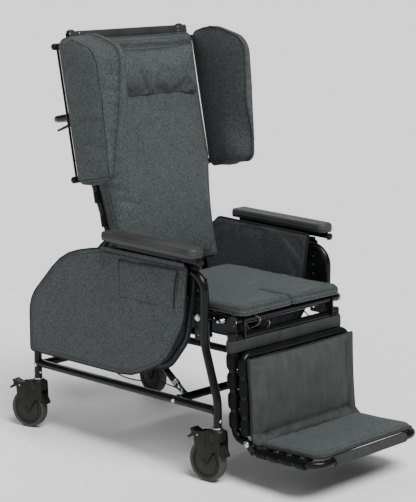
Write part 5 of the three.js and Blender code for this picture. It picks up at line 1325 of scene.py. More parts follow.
def build_fork(name, matrix, axle_z):
    """A caster's black fork: a crown, two cheeks and the hood over the wheel, with axle and stem ring."""
    axle = (CASTER_TRAIL, axle_z)
    crown = Drawing(32)
    crown.turned([
        (0, 128), (CROWN_RADIUS - 4, 128), (CROWN_RADIUS - 0.6, 130), (CROWN_RADIUS, 133),
        (CROWN_RADIUS, 150), (CROWN_RADIUS + 0.9, 151), (CROWN_RADIUS + 0.9, 156), (CROWN_RADIUS - 0.5, 158),
        (CROWN_RADIUS - 3, 163), (CROWN_RADIUS - 7, CROWN_TOP_Z), (0, CROWN_TOP_Z),
    ], "z", (0, 0, 0))
    boss = 15
    outline = rounded([
        (-CROWN_RADIUS + 2, 160, 8), (-CROWN_RADIUS - 1, 96, 5), (-CROWN_RADIUS + 8, 92, 3), (-4, 112, 12),
        (CASTER_TRAIL - boss + 2, axle_z - boss * 0.2, 6), (CASTER_TRAIL + 1, axle_z - boss - 3, 7),
        (CASTER_TRAIL + boss, axle_z + 2, 10), (74, 112, 10), (76, 136, 10), (68, 149, 7), (44, 153, 14),
        (CROWN_RADIUS, 161, 10),
    ])
    for low, high in ((-FORK_OUTER, -FORK_INNER), (FORK_INNER, FORK_OUTER)):
        crown.plate(outline, "x", low, high, bevel=0.9)
    rib_outline = rounded([(30, 146, 2), (31, 104, 2), (34, 104, 2), (33, 146, 2)])
    for low, high in ((-FORK_OUTER - 1, -FORK_OUTER + 0.4), (FORK_OUTER - 0.4, FORK_OUTER + 1)):
        crown.plate(rib_outline, "x", low, high, bevel=0.3)
    hood_out = [Vector(point) for point in arc(axle, 75, 163, 112, 10)]
    hood_in = [Vector(point) for point in arc(axle, 69.5, 112, 163, 10)]
    crown.plate(hood_out + hood_in, "x", -FORK_INNER - 0.5, FORK_INNER + 0.5, bevel=0.6)
    for x in (-1, 1):
        crown.dome((x * FORK_OUTER, *axle), (x, 0, 0), 6.4, 2.4)
    crown.made("fork_" + name, matrix, "caster_plastic", "caster_" + name, ["caster_fork_" + name])
    metal = Drawing(24)
    stem_ring = [(8, 0), (15.4, 0), (15.8, 0.8), (15.8, 3.6), (15.2, 4.5), (8, 4.5)]
    metal.turned(stem_ring, "z", (0, 0, CROWN_TOP_Z - 0.2))
    metal.bar("x", -FORK_OUTER + 0.4, FORK_OUTER - 0.4, axle, 5)
    for x in (-1, 1):
        metal.dome((x * FORK_OUTER, *PEDAL_PIVOT), (x, 0, 0), 2.6, 1.3)
    metal.made("caster_metal_" + name, matrix, "zinc_plate", "caster_" + name)


def both_faces(half):
    """A profile of (radius, reach) and its mirror on the wheel's other side."""
    return half + [(radius, -reach) for radius, reach in reversed(half) if reach]


def build_wheel(name, matrix, radius):
    """A caster wheel: a moulded hub with a groove round its face, and a soft grey tyre."""
    rim = radius - 11.4
    centre = (0, CASTER_TRAIL, radius)
    hub = Drawing(48)
    face = 16
    hub.turned(both_faces([
        (5.7, face), (12, face), (14, face - 0.8), (16, face - 2.2), (rim - 13, face - 3.2),
        (rim - 10.5, face - 3.4), (rim - 9.6, face - 5.4), (rim - 7.8, face - 5.4), (rim - 7, face - 3.0),
        (rim - 3, face - 2.8), (rim - 2, face - 3.4), (rim - 1.4, face - 5), (rim, face - 5),
    ]), "x", centre, closed=True)
    hub.made("hub_" + name, matrix, "hub_plastic", "wheel_" + name, ["wheel_hub_" + name])
    tyre = Drawing(72)
    tread = [(rim + 0.2, 12.2), (rim + 3, 13.6), (radius - 6.5, 15)]
    shoulder = [(radius - 6.5 + 6.5 * math.sin(angle), 8.5 + 6.5 * math.cos(angle))
                for angle in (math.radians(step * 15) for step in range(1, 6))]
    tyre.turned(
        both_faces(tread + shoulder + [(radius - 0.15, 6.5), (radius, 0)]), "x", centre, closed=True)
    tyre.made("tread_" + name, matrix, "tyre_rubber", "wheel_" + name, ["tyre_" + name])


def build_pedal(name, matrix):
    """A total-lock pedal: a rocker with a broad lower toe plate and a raised release tip."""
    y, z = PEDAL_PIVOT
    pedal = Drawing(20)
    body = rounded([
        (y - 11, z + 3.5, 4), (y - 11, z - 4.5, 3), (y + 18, z - 6, 3), (103, z - 17, 2.5),
        (105.5, z - 12, 3), (y + 24, z + 1, 9), (y + 32, z + 12, 3), (y + 30, z + 16.5, 3), (y + 8, z + 8, 8),
    ])
    pedal.plate(body, "x", -15.3, 15.3, bevel=1.6, segments=3)
    toe = Drawing(16)
    toe.plate(rounded([
        (-17, TOE_HEEL_Y, 8), (17, TOE_HEEL_Y, 8), (18.5, 104, 7), (-18.5, 104, 7),
    ]), "z", 0, 4.6, bevel=1.4, segments=3)
    for number in range(4):
        reach = TOE_HEEL_Y + 4 + number * 4
        toe.block((-12, reach, 4.2), (12, reach + 1.6, 5.6), bevel=0.5, segments=2)
    pedal.take(toe.mesh, Matrix.Translation((0, TOE_HEEL_Y, z - 8.5)) @ Matrix.Rotation(TOE_LEAN, 4, "X")
               @ Matrix.Translation((0, -TOE_HEEL_Y, 0)))
    pedal.made("pedal_" + name, matrix, "black_plastic", "pedal_" + name, ["brake_pedal_" + name])


def build_casters(sizes):
    """Four total-lock casters, each turned to its own heading."""
    radius = sizes.wheel_diameter / 2
    for name in CASTERS:
        matrix = caster_place(name)
        build_fork(name, matrix, radius)
        build_wheel(name, matrix, radius)
        build_pedal(name, matrix)


# Side panels
PANEL_INNER_X = -289
PANEL_OUTER_X = -295
PANEL_CORNERS = (
    (-333, 638, 8), (-317, 467, 120), (-240, 332, 160), (-90, 262, 260), (384, 262, 14), (384, 438, 120),
    (217, 609, 250), (40, 648.7, 400),
)
POCKET_CORNERS = ((-38, 622, 6), (-39, 500, 12), (-287, 500, 14), (-301, 629, 8))
INNER_PANEL_X = (242.7, 250.7)
INNER_PANEL_CORNERS = (
    (-336, 663, 6), (-316, 531, 200), (-292, 400, 90), (-215, 303, 90), (-100, 280, 120), (150, 280, 30),
    (150, 590, 40), (52, 675, 26),
)


def drape_relief(scale, depth, seed):
    """Soft waves of hung cloth, as a height over a place."""
    def relief(u, v):
        place = Vector((u / scale, v / (scale * 2.2), seed))
        fine = Vector((u / (scale * 0.35), v / (scale * 0.9), seed + 7))
        return depth * (noise.noise(place) + 0.35 * noise.noise(fine))
    return relief


def sewn_inset(cushion, piece, matrix, distance):
    """The line of a closed seam on a side panel's outer face, a distance inside its outline."""
    line = cushion.line_at(PANEL_OUTER_X - 40, -distance)
    return on_surface(piece, line + line[:1], matrix, (1, 0, 0), lift=0.5)


def build_side_panels(sizes):
    """Outer fabric panels that hang over the hoops, with a bound edge, a sewn pocket and a top hem."""
    for side, mirror in SIDES:
        matrix = CHAIR @ mirror
        panel = Cushion(rounded(PANEL_CORNERS), "x", PANEL_INNER_X, PANEL_OUTER_X, sizes.cloth_step)
        panel.built((2.2, 9, 1.2, 60), (1.2, 6, 0.2, 60), 0.4, drape_relief(120, 1.6, 3), rows=2)
        piece = upholstered(
            panel, "outer_panel_" + side, matrix, "upholstery", "base", ["side_panel_" + side],
            pressure=0.4, slack=0.01, cap=1.4 * MM)
        piping([panel.seam_line(1, 0.4)], matrix, "panel_binding_" + side, "base", radius=1.9)
        seams = [sewn_inset(panel, piece, matrix, 13), build_pocket(side, matrix, sizes)]
        build_panel_hem(side, matrix)
        stitches(seams, sizes, "panel_thread_" + side, "base")


def build_pocket(side, matrix, sizes):
    """A pocket sewn on an outer panel, with a dark strip at its mouth as painted shade of the opening. Its
    seam's line is given back.
    """
    pocket = Cushion(rounded(POCKET_CORNERS), "x", PANEL_OUTER_X + 0.6, PANEL_OUTER_X - 3, sizes.cloth_step)
    pocket.built((1.4, 7, 1.6, 50), (0.4, 4, 0, 50), 0.2, drape_relief(90, 1.1, 11), rows=2)
    patch = upholstered(
        pocket, "panel_pocket_" + side, matrix, "upholstery", "base", [], pressure=0.4, slack=0.01,
        cap=1.6 * MM)
    # Painted shade: a dark strip of binding stands in for the shaded opening of the pocket's mouth.
    mouth = Drawing(8)
    low, high = Vector(POCKET_CORNERS[2][:2]), Vector(POCKET_CORNERS[3][:2])
    along = (high - low).normalized()
    places = [low + along * reach + Vector((5 + 4 * math.sin(reach / 118 * math.pi), 0))
              for reach in range(6, 119, 8)]
    mouth.ribbon([(PANEL_OUTER_X - 5.2, place.x, place.y) for place in places], (0, 1, 0), 4.4, 1.6, 0.3)
    mouth.made("pocket_mouth_" + side, matrix, "binding", "base")
    return sewn_inset(pocket, patch, matrix, 7)


def build_panel_hem(side, matrix):
    """The hem along an outer panel's top edge, with its seam."""
    hem = Drawing(12)
    places = [(PANEL_OUTER_X - 1.2, y, 641 + (y + 333) * 0.012) for y in range(-322, 44, 12)]
    hem.ribbon(places, (0, 0, 1), 13, 1.2, 0.5)
    hem.made("panel_top_hem_" + side, matrix, "upholstery", "base")
    seam = [(PANEL_OUTER_X - 1.6, y, z - 7.5) for _, y, z in places]
    piping([seam], matrix, "panel_hem_seam_" + side, "base", radius=0.9, closed=False)


def build_inner_panels(sizes):
    """Padded panels between the seat and the side frames, their curved front edges bound twice."""
    near, far = INNER_PANEL_X
    for side, mirror in SIDES:
        panel = Cushion(rounded(INNER_PANEL_CORNERS), "x", -far, -near, sizes.cloth_step)
        panel.built((2.4, 10, 1.5, 60), (2.0, 8, 1.0, 60), 0.6, drape_relief(90, 1.1, 21), rows=2)
        matrix = CHAIR @ mirror
        upholstered(
            panel, "inner_cover_" + side, matrix, "upholstery", "base", ["inner_panel_" + side],
            pressure=0.3, slack=0.008, cap=1.2 * MM)
        drawing = Drawing(10)
        drawing.tube(panel.line_at(-(near + far) / 2, 0.6), 3.1, closed=True)
        drawing.ribbon(panel.line_at(-far - 0.6, -15), (1, 0, 0), 2.4, 9, 0, closed=True)
        drawing.made("inner_binding_" + side, matrix, "binding", "base")


# Armrests
ARM_SLOPE = math.radians(1.3)
ARM_PAD_X = (259, 324)
ARM_PAD_Y = (-382, 12)
ARM_PAD_TOP_Z = 707
ARM_PAD_THICKNESS = 29
ARM_BAR_X = 291
ARM_BAR_HALF_WIDTH = 6
ARM_BAR_HEIGHT = 18
ARM_BAR_FRONT_Y = ARM_PAD_Y[0] + 8
# How far in and how high the rings of an arm pad stand, from its bottom to its top.
ARM_PAD_SECTION = (
    (7, 0), (3.4, 0.6), (1.6, 2.4), (1.1, 6), (1.0, 10.4), (0.1, 11.2), (0, 12.6), (0.9, 13.4),
    (0.8, 18), (1.2, 20.5), (2.2, 23.4), (4.1, 26), (7, 27.8), (11, 28.7), (17, 29.0), (24, 28.8),
)
# The reach of a knob's rings in front of the bar's end, and the shares of its width.
KNOB_SECTION = ((0, 0.62), (1.5, 0.72), (3.5, 1), (12, 1), (14, 0.94), (15, 0.8))
KNOB_LOBES = 6


def arm_drop(y):
    """How much lower an armrest stands at a place than at its rear end, as a negative height."""
    return (y - ARM_PAD_Y[1]) * math.tan(ARM_SLOPE)


def sloped(drawing):
    """Lowers a drawing towards the front by the armrest's slope."""
    for vert in drawing.mesh.verts:
        vert.co.z += arm_drop(vert.co.y)


def build_armrests():
    """Each armrest: a bar on two flat posts, a moulded pad with a ridge, and a lobed clamping knob."""
    for side, mirror in SIDES:
        matrix = CHAIR @ mirror
        build_arm_rail(side, matrix)
        build_arm_pad(side, matrix)
        build_arm_knob(side, matrix)


def build_arm_rail(side, matrix):
    """The bar under an arm pad, on its two posts."""
    outer, inner = -ARM_BAR_X - ARM_BAR_HALF_WIDTH, -ARM_BAR_X + ARM_BAR_HALF_WIDTH
    top = ARM_PAD_TOP_Z - ARM_PAD_THICKNESS - 0.3
    rail = Drawing()
    rail.block(
        (outer, ARM_BAR_FRONT_Y, top - ARM_BAR_HEIGHT), (inner, ARM_PAD_Y[1] - 14, top), bevel=1.6)
    sloped(rail)
    for y in ARM_POST_YS:
        low, high = y - ARM_POST_HALF_WIDTH, y + ARM_POST_HALF_WIDTH
        foot = ARM_PAD_TOP_Z + arm_drop(y) - ARM_PAD_THICKNESS - ARM_BAR_HEIGHT
        rail.block((-ARM_POST_X[1], low, 540), (-ARM_POST_X[0], high, foot + 5), bevel=0.9)
        rail.block((outer, low, foot), (-ARM_POST_X[0], high, foot + 5), bevel=0.9)
    rail.made("arm_bar_" + side, matrix, "powder_coat", "arm_" + side, ["arm_rail_" + side])


def build_arm_pad(side, matrix):
    """A moulded arm pad, round at its front."""
    nose = (ARM_PAD_X[1] - ARM_PAD_X[0]) / 2 * 0.86
    outline = stepped(rounded([
        (-ARM_PAD_X[1], ARM_PAD_Y[0], nose), (-ARM_PAD_X[0], ARM_PAD_Y[0], nose),
        (-ARM_PAD_X[0], ARM_PAD_Y[1], 10), (-ARM_PAD_X[1], ARM_PAD_Y[1], 10),
    ], step=BEND_STEP), 16)
    bottom = ARM_PAD_TOP_Z - ARM_PAD_THICKNESS
    pad = Drawing()
    pad.skin([
        [laid_along("z", point.x, point.y, bottom + height) for point in offset_outline(outline, -inset)]
        for inset, height in ARM_PAD_SECTION
    ])
    sloped(pad)
    pad.made("arm_cushion_" + side, matrix, "arm_foam", "arm_" + side, ["arm_pad_" + side],
             angle=math.radians(60))


def build_arm_knob(side, matrix):
    """The lobed knob that clamps an armrest, on its threaded stud."""
    z = ARM_PAD_TOP_Z + arm_drop(ARM_PAD_Y[0]) - ARM_PAD_THICKNESS - 0.3 - 11.5
    face = ARM_BAR_FRONT_Y - 0.3
    steps = 48
    rings = []
    for reach, share in KNOB_SECTION:
        ring = []
        for step in range(steps):
            angle = 2 * math.pi * step / steps
            radius = (10.4 + 1.0 * math.cos(KNOB_LOBES * angle)) * share
            aside, up = radius * math.cos(angle), radius * math.sin(angle)
            ring.append(Vector((-ARM_BAR_X + aside, face - reach, z + up)))
        rings.append(ring)
    knob = Drawing(16)
    knob.skin(rings)
    knob.made("star_knob_" + side, matrix, "black_plastic", "knob_" + side, ["arm_knob_" + side],
              angle=math.radians(50))
    stud = Drawing(16)
    stud.bar("y", face - 1, face + 12, (-ARM_BAR_X, z), 3.4)
    stud.made("knob_stud_" + side, matrix, "zinc_plate", "knob_" + side)


# Tension straps

def strap_path(half_span, height, radius, facing):
    """A tension strap across two tubes, sleeved round each: places (across, up) seen along the tubes."""
    right = [(half_span - 34, radius - 4.4), (half_span - 20, radius - 5.2)]
    right += arc((half_span, 0), radius, 162, 90 + 360, 18)
    left = [(-u, v) for u, v in reversed(right)]
    return [(u, height + facing * v) for u, v in right + left]


def stud_place(matrix, place, way):
    """A place of a drawing and a way, in metres, for a small copy to stand on."""
    return matrix @ Vector(place), matrix.to_3x3() @ Vector(way)


def rivets_on(places, name, body, radius=3.1):
    """Domed rivets at (place, way) in metres, as one piece on a body."""
    rivet = Drawing(12)
    rivet.dome((0, 0, 0), (0, 0, 1), radius, 1.5, steps=10)
    copy = rivet.made("rivet", Matrix.Scale(MM, 4), "zinc_plate")
    piece = copies_on(places, copy, name, "zinc_plate")
    shaded(piece.data)
    seat_piece(piece, body)


def end_cap(caps, section, radius, axis, centre):
    """A moulded cap on a tube's end, its section given as (share of the tube's radius, reach)."""
    caps.turned([(radius * share, reach) for share, reach in section], axis, centre)


# Seat
SEAT_RAIL_X = 222
SEAT_RAIL_END_Y = 104
SEAT_STRAP_WIDTH = 46
SEAT_STRAP_COUNT = 5
SEAT_STRAP_PITCH = 76
SEAT_FIRST_STRAP_Y = -400
SEAT_CUSHION_CORNERS = ((-223, -490, 26), (223, -490, 26), (223, -10, 22), (-223, -10, 22))
SEAT_SLIT_LENGTH = 130
STRUT_X = 226
TILT_STRUT_LOWER = (-245, 232)
TILT_STRUT_UPPER = (40, 450)
RECLINE_STRUT_X = -150
RECLINE_STRUT_FRONT = (-285, 400)
RECLINE_LEVER = (5, -76)
SEAT_CROSS_TUBE_YS = (-285, -25)
SEAT_CAP = ((0, 0), (1.02, 0), (1.06, 1.2), (1.06, 6), (0.95, 8), (0, 8.4))
SEAT_RING = ((0.9, -1.2), (1.1, -1.2), (1.12, 0), (1.1, 1.2), (0.9, 1.2))
SEAT_BOLT = (-424, SEAT_RAIL_Z - 2)
BRASS_STOP = (
    (0, -9), (6, -9), (8.5, -7.5), (8.5, -2), (11, -1.4), (11, 1.4), (8.5, 2), (8.5, 9), (7, 10.5), (0, 10.5),
)


def build_seat_frame(sizes):
    """The seat's rails, cross tubes and lugs, its tension straps, and its plated fittings."""
    radius = sizes.tube_diameter / 2
    tubes = Drawing(sizes.tube_sides)
    for x in (-SEAT_RAIL_X, SEAT_RAIL_X):
        tubes.bar("y", SEAT_FRONT_TUBE_Y, SEAT_RAIL_END_Y, (x, SEAT_RAIL_Z), radius)
    tubes.bar("x", -235, 235, (SEAT_FRONT_TUBE_Y, SEAT_RAIL_Z), radius)
    for y in SEAT_CROSS_TUBE_YS:
        tubes.bar("x", -SEAT_RAIL_X, SEAT_RAIL_X, (y, SEAT_RAIL_Z), radius - 2)
        for x in (-1, 1):
            weld_bead(tubes, (x * (SEAT_RAIL_X - radius), y, SEAT_RAIL_Z), (1, 0, 0), radius - 2)
    for x in (-1, 1):
        ends = sorted((x * SEAT_RAIL_X, x * 259.2))
        tubes.bar("x", ends[0], ends[1], TILT_PIVOT, 10)
        lug(tubes, x * STRUT_X, (33.6, 478.6), TILT_STRUT_UPPER, 19, 12, LOOSE_LUG_BORE)
    root = (SEAT_CROSS_TUBE_YS[0], SEAT_RAIL_Z)
    lug(tubes, RECLINE_STRUT_X, root, RECLINE_STRUT_FRONT, radius, 8, LUG_BORE)
    tubes.made("seat_tubes", CHAIR, "powder_coat", "seat", ["seat_frame"])
    build_seat_straps(sizes, radius)
    build_seat_fittings(radius)


def build_seat_straps(sizes, radius):
    """A row of tension straps across the seat rails, with their rivets."""
    thickness = sizes.strap_thickness
    strap = Drawing(12)
    path = strap_path(SEAT_RAIL_X, SEAT_RAIL_Z, radius + thickness / 2, 1)
    strap.ribbon([(u, SEAT_FIRST_STRAP_Y, v) for u, v in path], (0, 1, 0), SEAT_STRAP_WIDTH, thickness, 1.2)
    one = strap.made("seat_strap", CHAIR, "webbing")
    row = row_of(one, SEAT_STRAP_COUNT, (0, SEAT_STRAP_PITCH * MM, 0), "seat_straps", "webbing")
    shaded(row.data)
    seat_piece(row, "seat")
    places = []
    for number in range(SEAT_STRAP_COUNT):
        y = SEAT_FIRST_STRAP_Y + number * SEAT_STRAP_PITCH
        for x in (-1, 1):
            for aside in (-12, 12):
                below = (x * (SEAT_RAIL_X - 27), y + aside, SEAT_RAIL_Z + radius - 5.4)
                places.append(stud_place(CHAIR, below, (0, 0, -1)))
                outside = (x * (SEAT_RAIL_X + radius + thickness + 0.8), y + aside, SEAT_RAIL_Z - 1)
                places.append(stud_place(CHAIR, outside, (x, 0, 0)))
    rivets_on(places, "seat_rivets", "seat")


def build_seat_fittings(radius):
    """End caps, the bolts and springs at the seat's front, and a brass stop under it."""
    caps = Drawing(24)
    metal = Drawing(20)
    for x in (-1, 1):
        end_cap(caps, SEAT_CAP, radius, "x", (235 if x > 0 else -243.2, SEAT_FRONT_TUBE_Y, SEAT_RAIL_Z))
        metal.turned([(radius * share, reach) for share, reach in SEAT_RING], "x",
                     (x * 234, SEAT_FRONT_TUBE_Y, SEAT_RAIL_Z), closed=True)
        metal.bar("x", *sorted((x * 212, x * 262)), SEAT_BOLT, 4, edge=0.6)
        metal.hexagon((x * 244, *SEAT_BOLT), (x, 0, 0), 11, 5)
        metal.coil((x * 237, *SEAT_BOLT), (x * 244, *SEAT_BOLT), 6.4, 0.9, 4)
    metal.made("seat_fittings", CHAIR, "zinc_plate", "seat")
    caps.made("front_tube_caps", CHAIR, "black_plastic", "seat")
    stop = Drawing(24)
    stop.turned(BRASS_STOP, "x", (-200, -310, SEAT_RAIL_Z - 26))
    stop.block((-203, -313, SEAT_RAIL_Z - 22), (-197, -307, SEAT_RAIL_Z - 8), bevel=0.8)
    stop.made("brass_stop", CHAIR, "brass", "seat")


def split_outline(corners, slit_length, slit_half):
    """A cushion's outline with a narrow slit in from the middle of its front edge."""
    outline = rounded(corners)
    front = corners[0][1]
    steps = 10
    edge = []
    for step in range(1, steps):
        share = step / steps
        edge.append((slit_half * (1 - share * 0.85), front + 7 + (slit_length - 7) * share))
    edge = [(slit_half + 9, front), (slit_half, front + 7)] + edge
    slit = [(-u, v) for u, v in edge] + [(0, front + slit_length)] + edge[::-1]
    out = []
    for index, point in enumerate(outline):
        out.append(point)
        following = outline[(index + 1) % len(outline)]
        if abs(point.y - front) < 1e-3 and abs(following.y - front) < 1e-3 and point.x < 0 < following.x:
            out.extend(Vector(place) for place in slit)
    return out


def build_seat_cushion(sizes):
    """The seat cushion: a crowned boxed cushion, split from its front edge, with sewn edges."""
    low = SEAT_RAIL_Z + sizes.tube_diameter / 2 + sizes.strap_thickness + 0.6
    outline = drawn_in(
        stepped(split_outline(SEAT_CUSHION_CORNERS, SEAT_SLIT_LENGTH, 3.2), sizes.cloth_step * 1.2),
        SEAT_CUSHION_CORNERS, 4)
    cushion = Cushion(outline, "z", low, low + 30, sizes.cloth_step)
    cushion.built((9, 22, 7, 150), (3, 10, 0, 100), 2.5, drape_relief(110, 2.0, 31), rows=2)
    piece = upholstered(
        cushion, "seat_cover", CHAIR, "upholstery", "seat", ["seat_cushion"], pressure=5, slack=0.025,
        cap=6 * MM)
    piping([cushion.seam_line(0, 0.6)], CHAIR, "seat_piping", "seat", finish="upholstery", radius=2.2)
    seam = on_surface(piece, cushion.line_at(low + 90, -10), CHAIR, (0, 0, -1), reach=90)
    stitches([seam], sizes, "seat_thread", "seat")


# Back
BACK_TUBE_Y = -20
BACK_UPPER_X = 237
BACK_LOWER_X = 194
BACK_TOP_Z = 826
BACK_BOTTOM_Z = -50
FLARE = (165, 400)
BACK_STRAP_ZS = (82, 158, 234, 310, 428, 508, 630, 706)
BACK_STRAP_WIDTH = 44
BACK_CAP = ((0, 0), (1.04, 0), (1.06, 3), (0.95, 8), (0.6, 11), (0, 12))
BACK_CHANNEL_Z = 758
HEAD_BAR_Z = 812
BACK_CUSHION_CORNERS = (
    (-214, 58, 24), (214, 58, 24), (214, 215, 60), (238, 390, 60), (238, 796, 26), (-238, 796, 26),
    (-238, 390, 60), (-214, 215, 60),
)
PILLOW_CORNERS = ((-212, 592, 34), (212, 592, 34), (212, 756, 18), (-212, 756, 18))
PILLOW_REAR = 83
BACK_PATH = (
    (BACK_UPPER_X, BACK_TUBE_Y, BACK_TOP_Z), (BACK_UPPER_X, BACK_TUBE_Y, FLARE[1]),
    (BACK_LOWER_X, BACK_TUBE_Y, FLARE[0]), (BACK_LOWER_X, BACK_TUBE_Y, BACK_BOTTOM_Z),
)


def back_tube_x(z):
    """How far from the middle the back tube runs at a height."""
    share = min(1.0, max(0.0, (z - FLARE[0]) / (FLARE[1] - FLARE[0])))
    return BACK_LOWER_X + (BACK_UPPER_X - BACK_LOWER_X) * share


def build_back_frame(sizes):
    """The back's bent uprights, foot tube, pivot ears and strut lever, with its tension straps."""
    radius = sizes.tube_diameter / 2
    thickness = sizes.strap_thickness
    tubes = Drawing(sizes.tube_sides)
    for x in (-1, 1):
        path = bent_path([(x * u, y, z) for u, y, z in BACK_PATH], (110, 110))
        tubes.tube(path, radius, edge=1.2)
        ear = rounded([
            (BACK_TUBE_Y, -19, 0), (radius, -radius, 11), (radius, radius, 11), (BACK_TUBE_Y, 19, 0)])
        tubes.plate(ear, "x", x * BACK_LOWER_X - 3, x * BACK_LOWER_X + 3, bevel=0.7)
        ends = sorted((x * BACK_LOWER_X, x * (SEAT_RAIL_X + radius)))
        tubes.bar("x", ends[0], ends[1], (0, 0), 6)
    tubes.bar("x", -BACK_LOWER_X, BACK_LOWER_X, (BACK_TUBE_Y, BACK_BOTTOM_Z), radius)
    root = (BACK_TUBE_Y, BACK_BOTTOM_Z)
    lug(tubes, RECLINE_STRUT_X, root, RECLINE_LEVER, radius, 12, LOOSE_LUG_BORE)
    tubes.made("back_tubes", BACK, "powder_coat", "back", ["back_frame"])
    straps = Drawing(12)
    places = []
    for z in BACK_STRAP_ZS:
        path = strap_path(back_tube_x(z), BACK_TUBE_Y, radius + thickness / 2, -1)
        straps.ribbon([(u, v, z) for u, v in path], (0, 0, 1), BACK_STRAP_WIDTH, thickness, 1.4)
        for x in (-1, 1):
            for aside in (-12, 12):
                back_face = (x * (back_tube_x(z) - 27), BACK_TUBE_Y - radius + 3.6, z + aside)
                places.append(stud_place(BACK, back_face, (0, 1, 0)))
    straps.made("back_straps", BACK, "webbing", "back")
    rivets_on(places, "back_rivets", "back")
    caps = Drawing(24)
    for x in (-1, 1):
        end_cap(caps, BACK_CAP, radius, "z", (x * BACK_UPPER_X, BACK_TUBE_Y, BACK_TOP_Z - 5))
    caps.made("back_tube_caps", BACK, "black_plastic", "back")


def build_head_bar(sizes):
    """The flat strap across the top of the back, wrapped round the tubes by studded tabs."""
    radius = sizes.tube_diameter / 2
    front = BACK_TUBE_Y - radius - 0.3
    band = Drawing(12)
    half = 257
    places = [(x, front - 2 - 1.2 * math.cos(math.pi * x / (2 * half)), HEAD_BAR_Z)
              for x in range(-half, half + 1, half // 8)]
    band.ribbon(places, (0, 0, 1), 27, 4, 0.7)
    band.made("head_strap", BACK, "grey_strap", "back", ["head_bar"])
    tabs = Drawing(12)
    studs = []
    for x in (-1, 1):
        path = [(x * BACK_UPPER_X + (radius + 2) * math.cos(angle),
                 BACK_TUBE_Y + (radius + 2) * math.sin(angle), HEAD_BAR_Z)
                for angle in (math.radians(step * 15) for step in range(24))]
        tabs.ribbon(path, (0, 0, 1), 22, 2.4, 0.5, closed=True)
        for z in (-6, 6):
            for across in (BACK_UPPER_X + 17, BACK_UPPER_X - 22):
                place = (x * across, front - 5.2, HEAD_BAR_Z + z)
                studs.append(stud_place(BACK, place, (0, -1, 0)))
    tabs.made("head_strap_tabs", BACK, "webbing", "back")
    rivets_on(studs, "head_strap_studs", "back", radius=2.4)


def back_relief(u, v):
    """Relief of the back cushion: a sewn channel under its top roll and soft upright waves."""
    channel = -11 * math.exp(-((v - BACK_CHANNEL_Z) / 7) ** 2)
    waist = 9 * math.exp(-((v - 230) / 150) ** 2)
    waves = 1.8 * noise.noise(Vector((u / 60, v / 260, 41)))
    return channel + waist + waves


def build_back_cushion(sizes):
    """The back cushion with its top roll, piped round both faces."""
    low = -(BACK_TUBE_Y - sizes.tube_diameter / 2 - sizes.strap_thickness) + 0.6
    outline = cushion_outline(BACK_CUSHION_CORNERS, sizes.cloth_step * 1.2, 3)
    cushion = Cushion(outline, "y", low, low + 44, sizes.cloth_step)
    cushion.built((12, 30, 9, 120), (4, 12, 0, 100), 3.5, back_relief, rows=5)
    piece = upholstered(
        cushion, "back_cover", BACK, "upholstery", "back", ["back_cushion"], pressure=5, slack=0.025,
        cap=6 * MM)
    piping([cushion.seam_line(1, 0.6), cushion.seam_line(0, 0.6)], BACK, "back_piping", "back",
           finish="upholstery", radius=1.8)
    channel = [laid_along("y", x, BACK_CHANNEL_Z, low) for x in range(-226, 227, 6)]
    lines = (cushion.line_at(low, -14), channel)
    seams = [on_surface(piece, line, BACK, (0, 1, 0), reach=120) for line in lines]
    stitches(seams, sizes, "back_thread", "back")


def pillow_relief(u, v):
    """Gathers at the pillow's two ends, and soft waves."""
    side = math.exp(-((abs(u) - 205) / 26) ** 2)
    gathers = 3.2 * side * noise.noise(Vector((u / 30, v / 13, 53)))
    return gathers + 1.5 * noise.noise(Vector((u / 70, v / 40, 3)))


def build_pillow(sizes):
    """The head pillow: fuller in the middle, drawn to pointed upper corners."""
    outline = cushion_outline(PILLOW_CORNERS, sizes.cloth_step, 7)
    cushion = Cushion(outline, "y", PILLOW_REAR, PILLOW_REAR + 20, sizes.cloth_step * 0.85)
    cushion.built((11, 34, 19, 82), (5, 18, 0, 60), 2.5, pillow_relief, rows=3)
    upholstered(
        cushion, "pillow_cover", BACK, "upholstery", "back", ["head_pillow"], pressure=7, slack=0.035,
        cap=7 * MM)
    piping([cushion.seam_line(1, 0.3)], BACK, "pillow_piping", "back", finish="upholstery", radius=1.6)


# Wings
WING_CORNERS = (
    (-45, 352, 26), (-45, 798, 30), (-150, 806, 160), (-283, 740, 64), (-258, 590, 300), (-204, 352, 34),
)
WING_INNER_X = -258
WING_OUTER_X = -322
WING_LOW_Z = 352
WING_HEIGHT = 454
WING_ROD_X = 287
WING_POST_ZS = (370, 784)
# How far behind a wing's front edge its outer seam runs at the bottom, and how much further at the top.
WING_SEAM_NEAR = 12
WING_SEAM_SPREAD = 56


def front_of(outline, v):
    """The lowest first coordinate of an outline at a height."""
    found = []
    for index, here in enumerate(outline):
        there = outline[index - 1]
        if here.y != there.y and min(here.y, there.y) <= v <= max(here.y, there.y):
            found.append(here.x + (there.x - here.x) * (v - here.y) / (there.y - here.y))
    return min(found) if found else min(outline, key=lambda point: abs(point.y - v)).x


def wing_seam(v):
    """How far behind a wing's front edge its outer seam runs: far at the top, near at the bottom."""
    share = min(1.0, max(0.0, (v - WING_LOW_Z) / WING_HEIGHT))
    return WING_SEAM_NEAR + WING_SEAM_SPREAD * share ** 1.1


def wing_shape(outline, place):
    """A place of a wing's plain block, moved so that its front slopes out at the top and in at the bottom."""
    x, u, v = place
    behind = max(0.0, u - front_of(outline, v))
    outer_share = min(1.0, max(0.0, (x - WING_INNER_X) / (WING_OUTER_X - WING_INNER_X)))
    reach = wing_seam(v)
    slope = max(0.0, 1 - behind / reach) * (10 + 34 * (reach - WING_SEAM_NEAR) / WING_SEAM_SPREAD)
    low_share = min(1.0, max(0.0, (575 - v) / 165))
    low_share *= low_share * (3 - 2 * low_share)
    taper = max(0.0, 1 - behind / 80) ** 1.4 * 42 * low_share * min(1.0, low_share / 0.01)
    return Vector((x + slope * outer_share - taper * (1 - outer_share), u, v))


